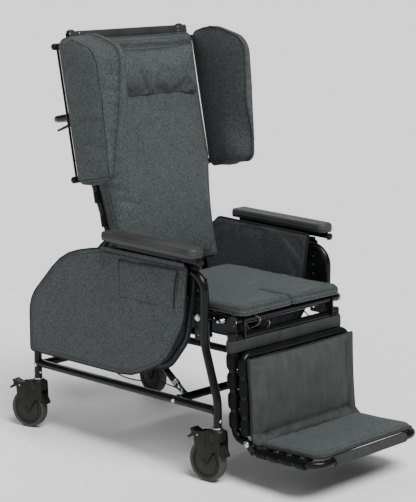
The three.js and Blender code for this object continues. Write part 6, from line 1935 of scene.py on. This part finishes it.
def wing_relief(u, v):
    """Puckers at a wing's upper and lower corners, and soft waves."""
    top = math.exp(-((v - 760) / 60) ** 2) + 0.6 * math.exp(-((v - 380) / 40) ** 2)
    puckers = 3.0 * top * noise.noise(Vector((u / 16, v / 60, 61)))
    return puckers + 2.2 * noise.noise(Vector((u / 75, v / 120, 5)))


def build_wings(sizes):
    """The wing cushions beside the back, each with a seam down its front and puckers at its corners."""
    for side, mirror in SIDES:
        matrix = BACK @ mirror
        outline = stepped(rounded(WING_CORNERS), sizes.cloth_step)
        cushion = Cushion(outline, "x", WING_INNER_X, WING_OUTER_X, sizes.cloth_step)
        cushion.built((9, 30, 9, 90), (9, 30, 9, 90), 4, wing_relief, rows=8)
        for vert in cushion.mesh.vertices:
            vert.co = wing_shape(cushion.outline, vert.co)
        piece = upholstered(
            cushion, "wing_cover_" + side, matrix, "upholstery", "back", ["wing_" + side], pressure=6,
            slack=0.03, cap=7 * MM)
        rims = [[wing_shape(cushion.outline, place) for place in cushion.seam_line(face, 0.3)]
                for face in (0, 1)]
        piping(rims, matrix, "wing_piping_" + side, "back", finish="upholstery", radius=1.3)
        down = [(-400, front_of(cushion.outline, v) + wing_seam(v), v) for v in range(790, 366, -6)]
        along = [(-400, u, 364) for u in range(int(down[-1][1]) + 6, -52, 6)]
        seam = on_surface(piece, down + along, matrix, (1, 0, 0), lift=0.0, reach=200)
        seam = [matrix.inverted() @ place for place in seam]
        piping([seam], matrix, "wing_seam_" + side, "back", radius=1.0, closed=False)
        build_wing_bracket(sizes, side, matrix)


def build_wing_bracket(sizes, side, matrix):
    """The posts that carry a wing from the back tube, and the thin rod behind it."""
    bracket = Drawing(24)
    for z in WING_POST_ZS:
        near = back_tube_x(z) + sizes.tube_diameter / 2 * 0.75
        bracket.bar("x", -300, -near, (-6, z), 10.6, edge=1.4)
        bracket.block((-WING_ROD_X - 11, -44, z - 5.5), (-WING_ROD_X + 11, -6, z + 5.5), bevel=1.2)
        bracket.turned([(0, 0), (13.5, 0), (14, 1.5), (14, 8), (13, 9.5), (0, 9.5)], "x", (-near - 12, -6, z))
    bracket.bar("z", *WING_POST_ZS, (-WING_ROD_X, -6), 4, edge=0.6)
    bracket.made("wing_carrier_" + side, matrix, "powder_coat", "back", ["wing_bracket_" + side])
    ends = Drawing(24)
    for z in WING_POST_ZS:
        ends.dome((-300, -6, z), (-1, 0, 0), 10.4, 7, steps=24)
        ends.hexagon((-WING_ROD_X, 4.4, z), (0, 1, 0), 9, 4)
    ends.made("wing_bolts_" + side, matrix, "powder_coat", "back")


# Push bar
PUSH_BAR_Z = 569
PUSH_BAR_REACH = 150
PUSH_BAR_HALF = 225
LEVER_PIVOT = (36, 547)
GRIP_HALF = 150
GRIP_RADIUS = 13.4
GRIP_STEPS = 60


def build_push_bar(sizes):
    """The push bar with its foam grip, and the two release levers under it."""
    start = BACK_TUBE_Y + sizes.tube_diameter / 2 * 0.7
    bar = Drawing(sizes.tube_sides)
    path = bent_path([
        (-PUSH_BAR_HALF, start, PUSH_BAR_Z), (-PUSH_BAR_HALF, PUSH_BAR_REACH, PUSH_BAR_Z),
        (PUSH_BAR_HALF, PUSH_BAR_REACH, PUSH_BAR_Z), (PUSH_BAR_HALF, start, PUSH_BAR_Z),
    ], (55, 55))
    bar.tube(path, 11)
    for x in (-PUSH_BAR_HALF, PUSH_BAR_HALF):
        for aside in (-5.8, 5.8):
            root = (LEVER_PIVOT[0], PUSH_BAR_Z)
            lug(bar, x + aside, root, LEVER_PIVOT, 8, 8, 3.3, half=1.5, bevel=0.4)
    bar.made("push_tube", BACK, "powder_coat", "back", ["push_bar"])
    grip = Drawing(28)
    places = []
    radii = []
    for step in range(GRIP_STEPS + 1):
        places.append((GRIP_HALF * (2 * step / GRIP_STEPS - 1), PUSH_BAR_REACH, PUSH_BAR_Z))
        radii.append(GRIP_RADIUS + 0.5 * math.cos(step * math.pi / 1.5))
    grip.tube(places, GRIP_RADIUS, edge=1.6, radii=radii)
    grip.made("push_grip", BACK, "arm_foam", "back")
    for side, mirror in SIDES:
        build_release_lever(side, BACK @ mirror)


def build_release_lever(side, matrix):
    """A squeeze lever that hangs between its lugs, with its pin and cable barrel."""
    y, z = LEVER_PIVOT
    lever = Drawing(16)
    outline = rounded([
        (y - 6, z - 6, 3), (y + 30, z - 9, 20), (y + 84, z - 18, 3), (y + 84, z - 12, 3), (y + 40, z - 3, 20),
        (y + 12, z + 6, 10), (y - 6, z + 6, 3),
    ])
    lever.plate(outline, "x", -PUSH_BAR_HALF - 4, -PUSH_BAR_HALF + 4, bevel=1.3, segments=3)
    lever.made("squeeze_lever_" + side, matrix, "black_plastic", "lever_" + side, ["release_lever_" + side])
    pin = Drawing(16)
    pin.bar("x", -PUSH_BAR_HALF - 8, -PUSH_BAR_HALF + 8, (y, z), 3)
    pin.dome((-PUSH_BAR_HALF - 7.6, y, z), (-1, 0, 0), 4.4, 2)
    pin.dome((-PUSH_BAR_HALF + 7.6, y, z), (1, 0, 0), 4.4, 2)
    pin.made("lever_pin_" + side, matrix, "zinc_plate", "lever_" + side)


# Legrest
LEG_COLUMN_X = 236
LEG_COLUMN_Y = 7
LEG_STRAP_WIDTH = 47
LEG_STRAP_PITCH = 59
LEG_STRAP_COUNT = 4
LEG_FIRST_STRAP_Z = -117
CALF_X = 235
CALF_Y = -33.5
CALF_TOP_Z = -100
CALF_BOTTOM_Z = -330
CALF_FIRST_STRAP_Z = -134
CALF_PAD_CORNERS = ((-238, -360, 7), (239, -360, 5), (238, -104, 6), (-238, -106, 8))
CALF_HEM_Z = -328
CALF_SEAM_X = 192
CALF_FOLD = (
    "legrest", "footrest", tuple(LEG @ Vector((0, -55, CALF_HEM_Z))), tuple(LEG @ Vector((0, -55, -354))),
)
LEG_TOP_TUBE_Z = -52
LEG_FOOT_Z = -352
LEG_CAP = ((0, 0), (1.04, 0), (1.06, 2), (0.96, 7), (0.6, 9.5), (0, 10))
CROSS_STRAP_Z = -74
FOOT_HINGE_LOCAL = (-47.01, -357.78)


def leg_straps(sizes, name, first, centre_y, span, facing):
    """A row of tension straps down a pair of upright tubes, with their rivets."""
    radius = sizes.tube_diameter / 2
    thickness = sizes.strap_thickness
    strap = Drawing(12)
    path = strap_path(span, centre_y, radius + thickness / 2, facing)
    strap.ribbon([(u, v, first) for u, v in path], (0, 0, 1), LEG_STRAP_WIDTH, thickness + 1.2, 2.6)
    one = strap.made(name + "_one", LEG, "webbing")
    down = LEG.to_3x3() @ Vector((0, 0, -LEG_STRAP_PITCH))
    row = row_of(one, LEG_STRAP_COUNT, tuple(down), name, "webbing")
    shaded(row.data)
    seat_piece(row, "legrest")
    places = []
    for number in range(LEG_STRAP_COUNT):
        z = first - number * LEG_STRAP_PITCH
        for x in (-1, 1):
            for aside in (-13, 13):
                inner = (x * (span - 27), centre_y + facing * (radius + thickness + 0.9), z + aside)
                places.append(stud_place(LEG, inner, (0, facing, 0)))
                front = (x * (span - 21), centre_y - facing * 3, z + aside)
                places.append(stud_place(LEG, front, (-x, 0, 0)))
    rivets_on(places, name + "_rivets", "legrest", radius=2.7)


def build_legrest(sizes):
    """The legrest's columns, hanger plates, straps, grey cross strap and calf frame."""
    radius = sizes.tube_diameter / 2
    build_leg_columns(sizes, radius)
    leg_straps(sizes, "leg_straps", LEG_FIRST_STRAP_Z, LEG_COLUMN_Y, LEG_COLUMN_X, 1)
    build_calf_frame(sizes, radius)
    leg_straps(sizes, "calf_straps", CALF_FIRST_STRAP_Z, CALF_Y, CALF_X, -1)
    caps = Drawing(24)
    for x in (-1, 1):
        end_cap(caps, LEG_CAP, radius, "z", (x * LEG_COLUMN_X, LEG_COLUMN_Y, -42))
    caps.made("leg_tube_caps", LEG, "black_plastic", "legrest")
    build_cross_strap(radius)
    build_calf_pad(sizes)


def build_leg_columns(sizes, radius):
    """The two bent columns with their top tube, their hanger plates and the footrest's hinge ears."""
    tubes = Drawing(sizes.tube_sides)
    for x in (-1, 1):
        path = bent_path([
            (x * LEG_COLUMN_X, LEG_COLUMN_Y, -38), (x * LEG_COLUMN_X, LEG_COLUMN_Y, LEG_FOOT_Z),
            (x * LEG_COLUMN_X, -34, LEG_FOOT_Z),
        ], (36,))
        tubes.tube(path, radius, edge=1.2)
        collar = radius + 3
        outline = rounded([
            (-collar, collar, collar * 0.99), (-collar, LEG_TOP_TUBE_Z, 0), (collar, LEG_TOP_TUBE_Z, 0),
            (collar, collar, collar * 0.99),
        ])
        tubes.plate(outline, "x", x * 200 - 2.5, x * 200 + 2.5, [hole(0, 0, radius + 0.4)], bevel=0.6)
        lug(tubes, x * 238, (-21.3, LEG_FOOT_Z), FOOT_HINGE_LOCAL, 10, 10, 5)
    tubes.bar("x", -LEG_COLUMN_X, LEG_COLUMN_X, (LEG_COLUMN_Y, LEG_TOP_TUBE_Z), radius)
    for x in (-1, 1):
        weld_bead(tubes, (x * (LEG_COLUMN_X - radius), LEG_COLUMN_Y, LEG_TOP_TUBE_Z), (1, 0, 0), radius)
    tubes.made("leg_tubes", LEG, "powder_coat", "legrest", ["legrest_frame"])


def build_calf_frame(sizes, radius):
    """The calf frame's closed loop of tube, on four blocks in front of the columns."""
    calf = Drawing(sizes.tube_sides)
    loop = bent_path([
        (0, CALF_Y, CALF_TOP_Z), (CALF_X, CALF_Y, CALF_TOP_Z), (CALF_X, CALF_Y, CALF_BOTTOM_Z),
        (-CALF_X, CALF_Y, CALF_BOTTOM_Z), (-CALF_X, CALF_Y, CALF_TOP_Z), (0, CALF_Y, CALF_TOP_Z),
    ], (30, 30, 30, 30))
    calf.tube(loop[:-1], radius, closed=True)
    for share in (0.5, 2.5):
        z = LEG_FIRST_STRAP_Z - LEG_STRAP_PITCH * share
        for x in (-1, 1):
            reach = LEG_COLUMN_Y - radius + 1
            calf.block((x * CALF_X - 6.5, CALF_Y, z - 3), (x * CALF_X + 6.5, reach, z + 3))
    calf.made("calf_tubes", LEG, "powder_coat", "legrest", ["calf_frame"])


def build_cross_strap(radius):
    """The grey strap across the top of the legrest, wrapped back round the columns."""
    rear = LEG_COLUMN_Y - radius - 0.3
    half = LEG_COLUMN_X
    places = [(x, rear - 1.8 - 1.6 * math.cos(math.pi * x / (2 * half)) ** 2, CROSS_STRAP_Z)
              for x in range(-half, half + 1, 16)]
    wrap_right = [
        (half + (radius + 2) * math.cos(angle), LEG_COLUMN_Y + (radius + 2) * math.sin(angle), CROSS_STRAP_Z)
        for angle in (math.radians(-80 + step * 13) for step in range(14))
    ]
    wrap_left = [(-x, y, z) for x, y, z in reversed(wrap_right)]
    strap = Drawing(12)
    strap.ribbon(wrap_left + places + wrap_right, (0, 0, 1), 34, 3.4, 0.6)
    strap.made("grey_cross_strap", LEG, "grey_strap", "legrest", ["leg_cross_strap"])


def calf_relief(u, v):
    """Upright folds of the calf pad's loose cover, and the soft channels beside its edges."""
    folds = 2.6 * noise.noise(Vector((u / 26, v / 190, 71)))
    folds += 1.2 * noise.noise(Vector((u / 11, v / 120, 17)))
    channel = -3.2 * (math.exp(-((u - CALF_SEAM_X) / 5) ** 2) + 0.5 * math.exp(-((u + 205) / 5) ** 2))
    hem = -2.6 * math.exp(-((v - CALF_HEM_Z) / 4.5) ** 2)
    return folds + channel + hem


def build_calf_pad(sizes):
    """The calf pad: a thin pad with a hem along its lower edge and upright folds."""
    rear = -CALF_Y + sizes.tube_diameter / 2 + sizes.strap_thickness + 0.6
    outline = cushion_outline(CALF_PAD_CORNERS, sizes.cloth_step, 4)
    cushion = Cushion(outline, "y", rear, rear + 13, sizes.cloth_step * 0.9)
    cushion.built((4.5, 12, 5.5, 90), (2, 8, 0, 60), 1.5, calf_relief, rows=2)
    dark = cushion.mesh.attributes["seam"].data
    for vert, shade in zip(cushion.mesh.vertices, dark):
        band = 1 / (1 + math.exp(-(vert.co.x - 199) / 1.6))
        shade.value = max(shade.value, 0.8 * band)
        hem = max(0.0, -332 - vert.co.z)
        vert.co.y -= 0.03 * hem * hem
    piece = upholstered(
        cushion, "calf_cover", LEG, "calf_cloth", CALF_FOLD, ["calf_pad"], pressure=2.5, slack=0.03,
        cap=4.5 * MM)
    piping([cushion.seam_line(1, 0.4)], LEG, "calf_piping", CALF_FOLD, radius=1.5)
    hem = [laid_along("y", x, CALF_HEM_Z, rear) for x in range(-226, 227, 6)]
    side = [laid_along("y", CALF_SEAM_X, z, rear) for z in range(-336, -114, 6)]
    seams = [on_surface(piece, line, LEG, (0, 1, 0), reach=120) for line in (hem, side)]
    stitches(seams, sizes, "calf_thread", CALF_FOLD)


# Footrest
FOOT_TUBE_RADIUS = 11
FOOT_TUBE_Z = -23
FOOT_REAR = (233, 14)
FOOT_FRONT = (243, -258)
FOOT_EAR_X = 246.1
FOOT_SLEEVE_RADIUS = 15
FOOT_STRAP_YS = (-52, -102, -152, -202)
FOOT_STRAP_WIDTH = 38
FOOT_PAD_CORNERS = ((-224, -256, 44), (224, -256, 44), (223, -27, 20), (-223, -27, 20))


def build_footrest(sizes):
    """The footrest's bent loop, hinge ears and straps, its pad, front sleeve and hinge bolts."""
    radius = FOOT_TUBE_RADIUS
    tubes = Drawing(sizes.tube_sides)
    loop = bent_path([
        (0, FOOT_REAR[1], FOOT_TUBE_Z), (FOOT_REAR[0], FOOT_REAR[1], FOOT_TUBE_Z),
        (FOOT_FRONT[0], FOOT_FRONT[1], FOOT_TUBE_Z), (-FOOT_FRONT[0], FOOT_FRONT[1], FOOT_TUBE_Z),
        (-FOOT_REAR[0], FOOT_REAR[1], FOOT_TUBE_Z), (0, FOOT_REAR[1], FOOT_TUBE_Z),
    ], (58, 58, 58, 58))
    tubes.tube(loop[:-1], radius, closed=True)
    for x in (-1, 1):
        lug(tubes, x * FOOT_EAR_X, (-26, FOOT_TUBE_Z), (0, 0), 11, 9.5, 5)
        ends = sorted((x * 222, x * 248.6))
        tubes.block((ends[0], -58, FOOT_TUBE_Z - 3), (ends[1], -17, FOOT_TUBE_Z + 3))
    tubes.made("foot_tubes", FOOT, "powder_coat", "footrest", ["footrest_frame"])
    build_foot_straps(sizes, radius)
    build_foot_pad(sizes)
    sleeve = Drawing(32)
    places = [(x, FOOT_FRONT[1], FOOT_TUBE_Z) for x in range(-165, 166, 11)]
    sleeve.tube(places, FOOT_SLEEVE_RADIUS, edge=1.6)
    sleeve.made("toe_sleeve", FOOT, "grey_strap", "footrest", ["foot_sleeve"])
    for side, mirror in SIDES:
        bolt = Drawing(20)
        bolt.bar("x", -250, -234, (0, 0), 4.5)
        bolt.dome((-249.2, 0, 0), (-1, 0, 0), 8.6, 5.5)
        bolt.hexagon((-235, 0, 0), (1, 0, 0), 13, 5.5)
        bolt.turned([(5, 0), (9.6, 0), (9.6, 1.4), (5, 1.4)], "x", (-250.4, 0, 0), closed=True)
        bolt.coil((-233, 0, 0), (-222, 0, 0), 6.6, 0.9, 5)
        bolt.made("foot_pivot_" + side, FOOT @ mirror, "zinc_plate", "footrest", ["foot_bolt_" + side])


def build_foot_straps(sizes, radius):
    """Straps sleeved round the footrest's sides, each with two bright staples."""
    thickness = sizes.strap_thickness
    straps = Drawing(12)
    staples = Drawing(8)
    for y in FOOT_STRAP_YS:
        share = (FOOT_REAR[1] - y) / (FOOT_REAR[1] - FOOT_FRONT[1])
        span = FOOT_REAR[0] + (FOOT_FRONT[0] - FOOT_REAR[0]) * share
        path = strap_path(span, FOOT_TUBE_Z, radius + thickness / 2, 1)
        straps.ribbon([(u, y, v) for u, v in path], (0, 1, 0), FOOT_STRAP_WIDTH, thickness + 0.8, 2.6)
        for x in (-1, 1):
            for aside in (-4.5, 4.5):
                ends = sorted((x * (span - 14), x * (span - 3)))
                staples.bar("x", *ends, (y + aside, FOOT_TUBE_Z + radius + thickness + 2.6), 1.5, edge=0.5)
    straps.made("foot_straps", FOOT, "webbing", "footrest")
    staples.made("foot_staples", FOOT, "zinc_plate", "footrest")


def build_foot_pad(sizes):
    """The foot pad with its bound edge."""
    low = FOOT_TUBE_Z + FOOT_TUBE_RADIUS + sizes.strap_thickness + 0.6
    outline = cushion_outline(FOOT_PAD_CORNERS, sizes.cloth_step, 3)
    cushion = Cushion(outline, "z", low, low + 17, sizes.cloth_step * 0.9)
    cushion.built((6, 24, 5, 90), (3, 8, 0, 60), 1.5, drape_relief(80, 1.4, 83), rows=3)
    piece = upholstered(
        cushion, "foot_cover", FOOT, "upholstery", "footrest", ["foot_pad"], pressure=3, slack=0.02,
        cap=4 * MM)
    piping([cushion.seam_line(0, 0.6)], FOOT, "foot_piping", "footrest", radius=2.0)
    seam = on_surface(piece, cushion.line_at(low + 60, -12), FOOT, (0, 0, -1), reach=90)
    stitches([seam], sizes, "foot_thread", "footrest")


# Struts
STRUT_EYE = 22


def fork_end(drawing, pin, root):
    """The fork at a strut's end: two cheeks about a lug, with a web between them."""
    way = 1 if root > pin else -1
    for x in (4.3, -4.3):
        lug(drawing, x, (root, 0), (pin, 0), 8, 8, 3.9, half=1.5, bevel=0.5)
    ends = sorted((root, root + 4 * way))
    drawing.block((-5.8, ends[0], -8), (5.8, ends[1], 8), bevel=0.8)
    drawing.bar("x", -7.4, 7.4, (pin, 0), 4)
    drawing.dome((-7.2, pin, 0), (-1, 0, 0), 6, 2.4)
    drawing.hexagon((7.2, pin, 0), (1, 0, 0), 9, 3)


def build_strut(cylinder_name, rod_name, x, low, high, cylinder_length):
    """A gas strut between two pins: a black cylinder with its collar, and a bright rod with its fork."""
    reach = Vector((high[0] - low[0], high[1] - low[1]))
    matrix = placed((x, *low), -math.atan2(reach.y, reach.x))
    span = reach.length
    cylinder = Drawing(28)
    end = STRUT_EYE + cylinder_length
    cylinder.turned([
        (0, STRUT_EYE), (7, STRUT_EYE), (9.8, STRUT_EYE + 2), (10.5, STRUT_EYE + 5), (10.5, end - 9),
        (9.6, end - 7.5), (10.4, end - 6), (10, end - 1), (8, end), (0, end),
    ], "y", (0, 0, 0))
    cylinder.made(cylinder_name + "_tube", matrix, "gas_cylinder", cylinder_name, [cylinder_name])
    lower_fork = Drawing(20)
    fork_end(lower_fork, 0, STRUT_EYE)
    lower_fork.coil((0, STRUT_EYE + 5, 0), (0, STRUT_EYE + 20, 0), 11.6, 1.1, 6)
    lower_fork.made(cylinder_name + "_fork", matrix, "zinc_plate", cylinder_name)
    rod = Drawing(20)
    rod.bar("y", end - 8, span - STRUT_EYE, (0, 0), 5)
    fork_end(rod, span, span - STRUT_EYE)
    rod.made(rod_name + "_shaft", matrix, "zinc_plate", rod_name, [rod_name])


def build_struts():
    """The tilt struts on both sides and the recline strut under the seat."""
    for side, x in (("right", -STRUT_X), ("left", STRUT_X)):
        build_strut("tilt_cylinder_" + side, "tilt_rod_" + side, x, TILT_STRUT_LOWER, TILT_STRUT_UPPER, 182)
    lever_y, lever_z = RECLINE_LEVER
    cos, sin = math.cos(-RECLINE_REST), math.sin(-RECLINE_REST)
    pin = (BACK_PIVOT[1] + lever_y * cos - lever_z * sin, BACK_PIVOT[2] + lever_y * sin + lever_z * cos)
    build_strut("recline_cylinder", "recline_rod", RECLINE_STRUT_X, RECLINE_STRUT_FRONT, pin, 230)


# Cables and wires, along their places
CABLE_DIAMETER = 4
STRUT_CABLE = (
    (-287, 66, 296), (-272, 48, 285), (-272, 30, 268), (-272, 5, 256), (-272, -25, 248.5), (-272, -55, 246),
    (-272, -90, 247), (-272, -120, 251), (-268, -150, 257), (-262, -185, 258), (-250, -215, 250),
    (-240, -235, 243), (-228, -245, 234),
)
SEAT_CABLE = (
    (205, -318, 472), (200, -339, 445), (200, -373, 421), (200, -393, 411), (200, -418, 420),
    (200, -430, 427), (200, -440, 440), (200, -455, 472),
)
FRONT_WIRES = (
    ((-152, -474, 494), (-137, -477, 484), (-134, -477, 474), (-144, -476, 464), (-167, -474, 459)),
    ((-99, -474, 470), (-90, -475, 463), (-91, -475, 454), (-100, -474, 447)),
)


def build_cable(name, corners, body):
    """A sheathed release cable that hangs along its places between two parts of one body."""
    route = smooth_route(corners, 3)
    sheath = Drawing(12)
    sheath.tube(route, CABLE_DIAMETER / 2, edge=0.3)
    cable = sheath.made(name, CHAIR, "black_plastic", body)
    path = [CHAIR @ place for place in route]
    length = sum((there - here).length for here, there in zip(path, path[1:]))


def build_cables():
    """The release cables under the chair and the bright wires under the seat's front tube."""
    build_cable("strut_cable", STRUT_CABLE, "base")
    build_cable("seat_cable", SEAT_CABLE, "seat")
    wires = Drawing(8)
    for corners in FRONT_WIRES:
        wires.tube(smooth_route(corners, 5), 0.8, edge=0.2)
    wires.made("front_wires", CHAIR, "zinc_plate", "seat")


# Stage and camera
CAMERA_PLACE = (-3.729, -3.5586, 1.6244)
CAMERA_TURN = (79.0, 0.0, -46.1)
CAMERA_LENS = 120.94
CAMERA_SENSOR = 36
FLOOR_HALF = 300
FLOOR_TONE = (0.9, 0.9, 0.9, 1)
WORLD_STRENGTH = 0.15
# Soft lights: the way each comes from, its strength and how many degrees wide it is.
SOFT_LIGHTS = (
    ("key", (-0.5, -2.4, 4.2), 4.5, 32),
    ("side", (-3.4, -0.9, 1.5), 0.36, 40),
    ("back", (1.6, 2.6, 2.4), 0.9, 40),
)


def build_stage():
    """A plain pale floor, soft studio light and the camera at the photograph's angle."""
    scene = bpy.context.scene
    camera = bpy.data.cameras.new("camera")
    camera.lens = CAMERA_LENS
    camera.sensor_width = CAMERA_SENSOR
    camera.sensor_fit = "AUTO"
    camera.clip_end = 1000
    stand = bpy.data.objects.new("camera", camera)
    stand.location = CAMERA_PLACE
    stand.rotation_euler = [math.radians(angle) for angle in CAMERA_TURN]
    scene.collection.objects.link(stand)
    scene.camera = stand
    floor = bpy.data.meshes.new("floor")
    corners = [(x * FLOOR_HALF, y * FLOOR_HALF, 0) for x, y in ((-1, -1), (1, -1), (1, 1), (-1, 1))]
    floor.from_pydata(corners, [], [(0, 1, 2, 3)])
    plain_matte("floor", FLOOR_TONE, 0.8)
    link("floor", floor, "floor")
    world = bpy.data.worlds.new("studio")
    scene.world = world
    world.use_nodes = True
    background = world.node_tree.nodes["Background"]
    background.inputs["Color"].default_value = (1, 1, 1, 1)
    background.inputs["Strength"].default_value = WORLD_STRENGTH
    for light in SOFT_LIGHTS:
        soft_light(*light)


def soft_light(name, way, power, spread):
    """A wide, soft and far light."""
    lamp = bpy.data.lights.new(name, "SUN")
    lamp.energy = power
    lamp.angle = math.radians(spread)
    stand = bpy.data.objects.new(name, lamp)
    stand.rotation_euler = Vector(way).to_track_quat("Z", "Y").to_euler()
    bpy.context.scene.collection.objects.link(stand)


class WHEELCHAIR_OT_finishes(bpy.types.Operator):
    """Makes the finishes of every piece"""

    bl_idname = "wheelchair.finishes"
    bl_label = "Finishes"

    def execute(self, context):
        make_finishes(context.scene.wheelchair_colours)
        return {"FINISHED"}


class WHEELCHAIR_OT_stage(bpy.types.Operator):
    """Sets the floor, the lights and the camera"""

    bl_idname = "wheelchair.stage"
    bl_label = "Stage"

    def execute(self, context):
        build_stage()
        return {"FINISHED"}


class WHEELCHAIR_OT_base(bpy.types.Operator):
    """Builds the side frames, their crossbars and the tilt bolts"""

    bl_idname = "wheelchair.base"
    bl_label = "Base frame"

    def execute(self, context):
        sizes = context.scene.wheelchair_sizes
        build_side_frames(sizes)
        build_crossbars(sizes)
        build_pivot_bolts()
        return {"FINISHED"}


class WHEELCHAIR_OT_casters(bpy.types.Operator):
    """Builds the four braked casters"""

    bl_idname = "wheelchair.casters"
    bl_label = "Casters"

    def execute(self, context):
        build_casters(context.scene.wheelchair_sizes)
        return {"FINISHED"}


class WHEELCHAIR_OT_side_panels(bpy.types.Operator):
    """Sews the outer and inner side panels"""

    bl_idname = "wheelchair.side_panels"
    bl_label = "Side panels"

    def execute(self, context):
        build_side_panels(context.scene.wheelchair_sizes)
        build_inner_panels(context.scene.wheelchair_sizes)
        return {"FINISHED"}


class WHEELCHAIR_OT_armrests(bpy.types.Operator):
    """Builds the armrests with their pads and knobs"""

    bl_idname = "wheelchair.armrests"
    bl_label = "Armrests"

    def execute(self, context):
        build_armrests()
        return {"FINISHED"}


class WHEELCHAIR_OT_seat(bpy.types.Operator):
    """Builds the seat frame with its straps and the split seat cushion"""

    bl_idname = "wheelchair.seat"
    bl_label = "Seat"

    def execute(self, context):
        build_seat_frame(context.scene.wheelchair_sizes)
        build_seat_cushion(context.scene.wheelchair_sizes)
        return {"FINISHED"}


class WHEELCHAIR_OT_back(bpy.types.Operator):
    """Builds the back frame, its cushions, the wings and the push bar"""

    bl_idname = "wheelchair.back"
    bl_label = "Back"

    def execute(self, context):
        sizes = context.scene.wheelchair_sizes
        build_back_frame(sizes)
        build_head_bar(sizes)
        build_back_cushion(sizes)
        build_pillow(sizes)
        build_wings(sizes)
        build_push_bar(sizes)
        return {"FINISHED"}


class WHEELCHAIR_OT_legrest(bpy.types.Operator):
    """Builds the legrest with its straps and calf pad"""

    bl_idname = "wheelchair.legrest"
    bl_label = "Legrest"

    def execute(self, context):
        build_legrest(context.scene.wheelchair_sizes)
        return {"FINISHED"}


class WHEELCHAIR_OT_footrest(bpy.types.Operator):
    """Builds the footrest with its pad, sleeve and hinge bolts"""

    bl_idname = "wheelchair.footrest"
    bl_label = "Footrest"

    def execute(self, context):
        build_footrest(context.scene.wheelchair_sizes)
        return {"FINISHED"}


class WHEELCHAIR_OT_struts(bpy.types.Operator):
    """Builds the gas struts of the tilt and the recline"""

    bl_idname = "wheelchair.struts"
    bl_label = "Gas struts"

    def execute(self, context):
        build_struts()
        return {"FINISHED"}


class WHEELCHAIR_OT_cables(bpy.types.Operator):
    """Builds the release cables and the wires under the seat"""

    bl_idname = "wheelchair.cables"
    bl_label = "Cables"

    def execute(self, context):
        build_cables()
        return {"FINISHED"}


STEPS = (
    WHEELCHAIR_OT_finishes, WHEELCHAIR_OT_stage, WHEELCHAIR_OT_base, WHEELCHAIR_OT_casters,
    WHEELCHAIR_OT_side_panels, WHEELCHAIR_OT_armrests, WHEELCHAIR_OT_seat, WHEELCHAIR_OT_back,
    WHEELCHAIR_OT_legrest, WHEELCHAIR_OT_footrest, WHEELCHAIR_OT_struts, WHEELCHAIR_OT_cables,
)


class WHEELCHAIR_PT_parts(bpy.types.Panel):
    """Lists the wheelchair's sizes, colours and pieces"""

    bl_idname = "WHEELCHAIR_PT_parts"
    bl_label = "Wheelchair"
    bl_space_type = "VIEW_3D"
    bl_region_type = "UI"
    bl_category = "Wheelchair"

    def draw(self, context):
        layout = self.layout
        for group in (context.scene.wheelchair_sizes, context.scene.wheelchair_colours):
            box = layout.box()
            for key in group.__annotations__:
                box.prop(group, key)
        for step in STEPS:
            layout.operator(step.bl_idname)


CLASSES = (ChairSizes, ChairColours, *STEPS, WHEELCHAIR_PT_parts)


def register():
    for each in CLASSES:
        bpy.utils.register_class(each)
    bpy.types.Scene.wheelchair_sizes = bpy.props.PointerProperty(type=ChairSizes)
    bpy.types.Scene.wheelchair_colours = bpy.props.PointerProperty(type=ChairColours)


def unregister():
    del bpy.types.Scene.wheelchair_colours
    del bpy.types.Scene.wheelchair_sizes
    for each in reversed(CLASSES):
        bpy.utils.unregister_class(each)


def main():
    register()
    for step in STEPS:
        category, name = step.bl_idname.split(".")
        getattr(getattr(bpy.ops, category), name)()


if __name__ == "__main__":
    main()
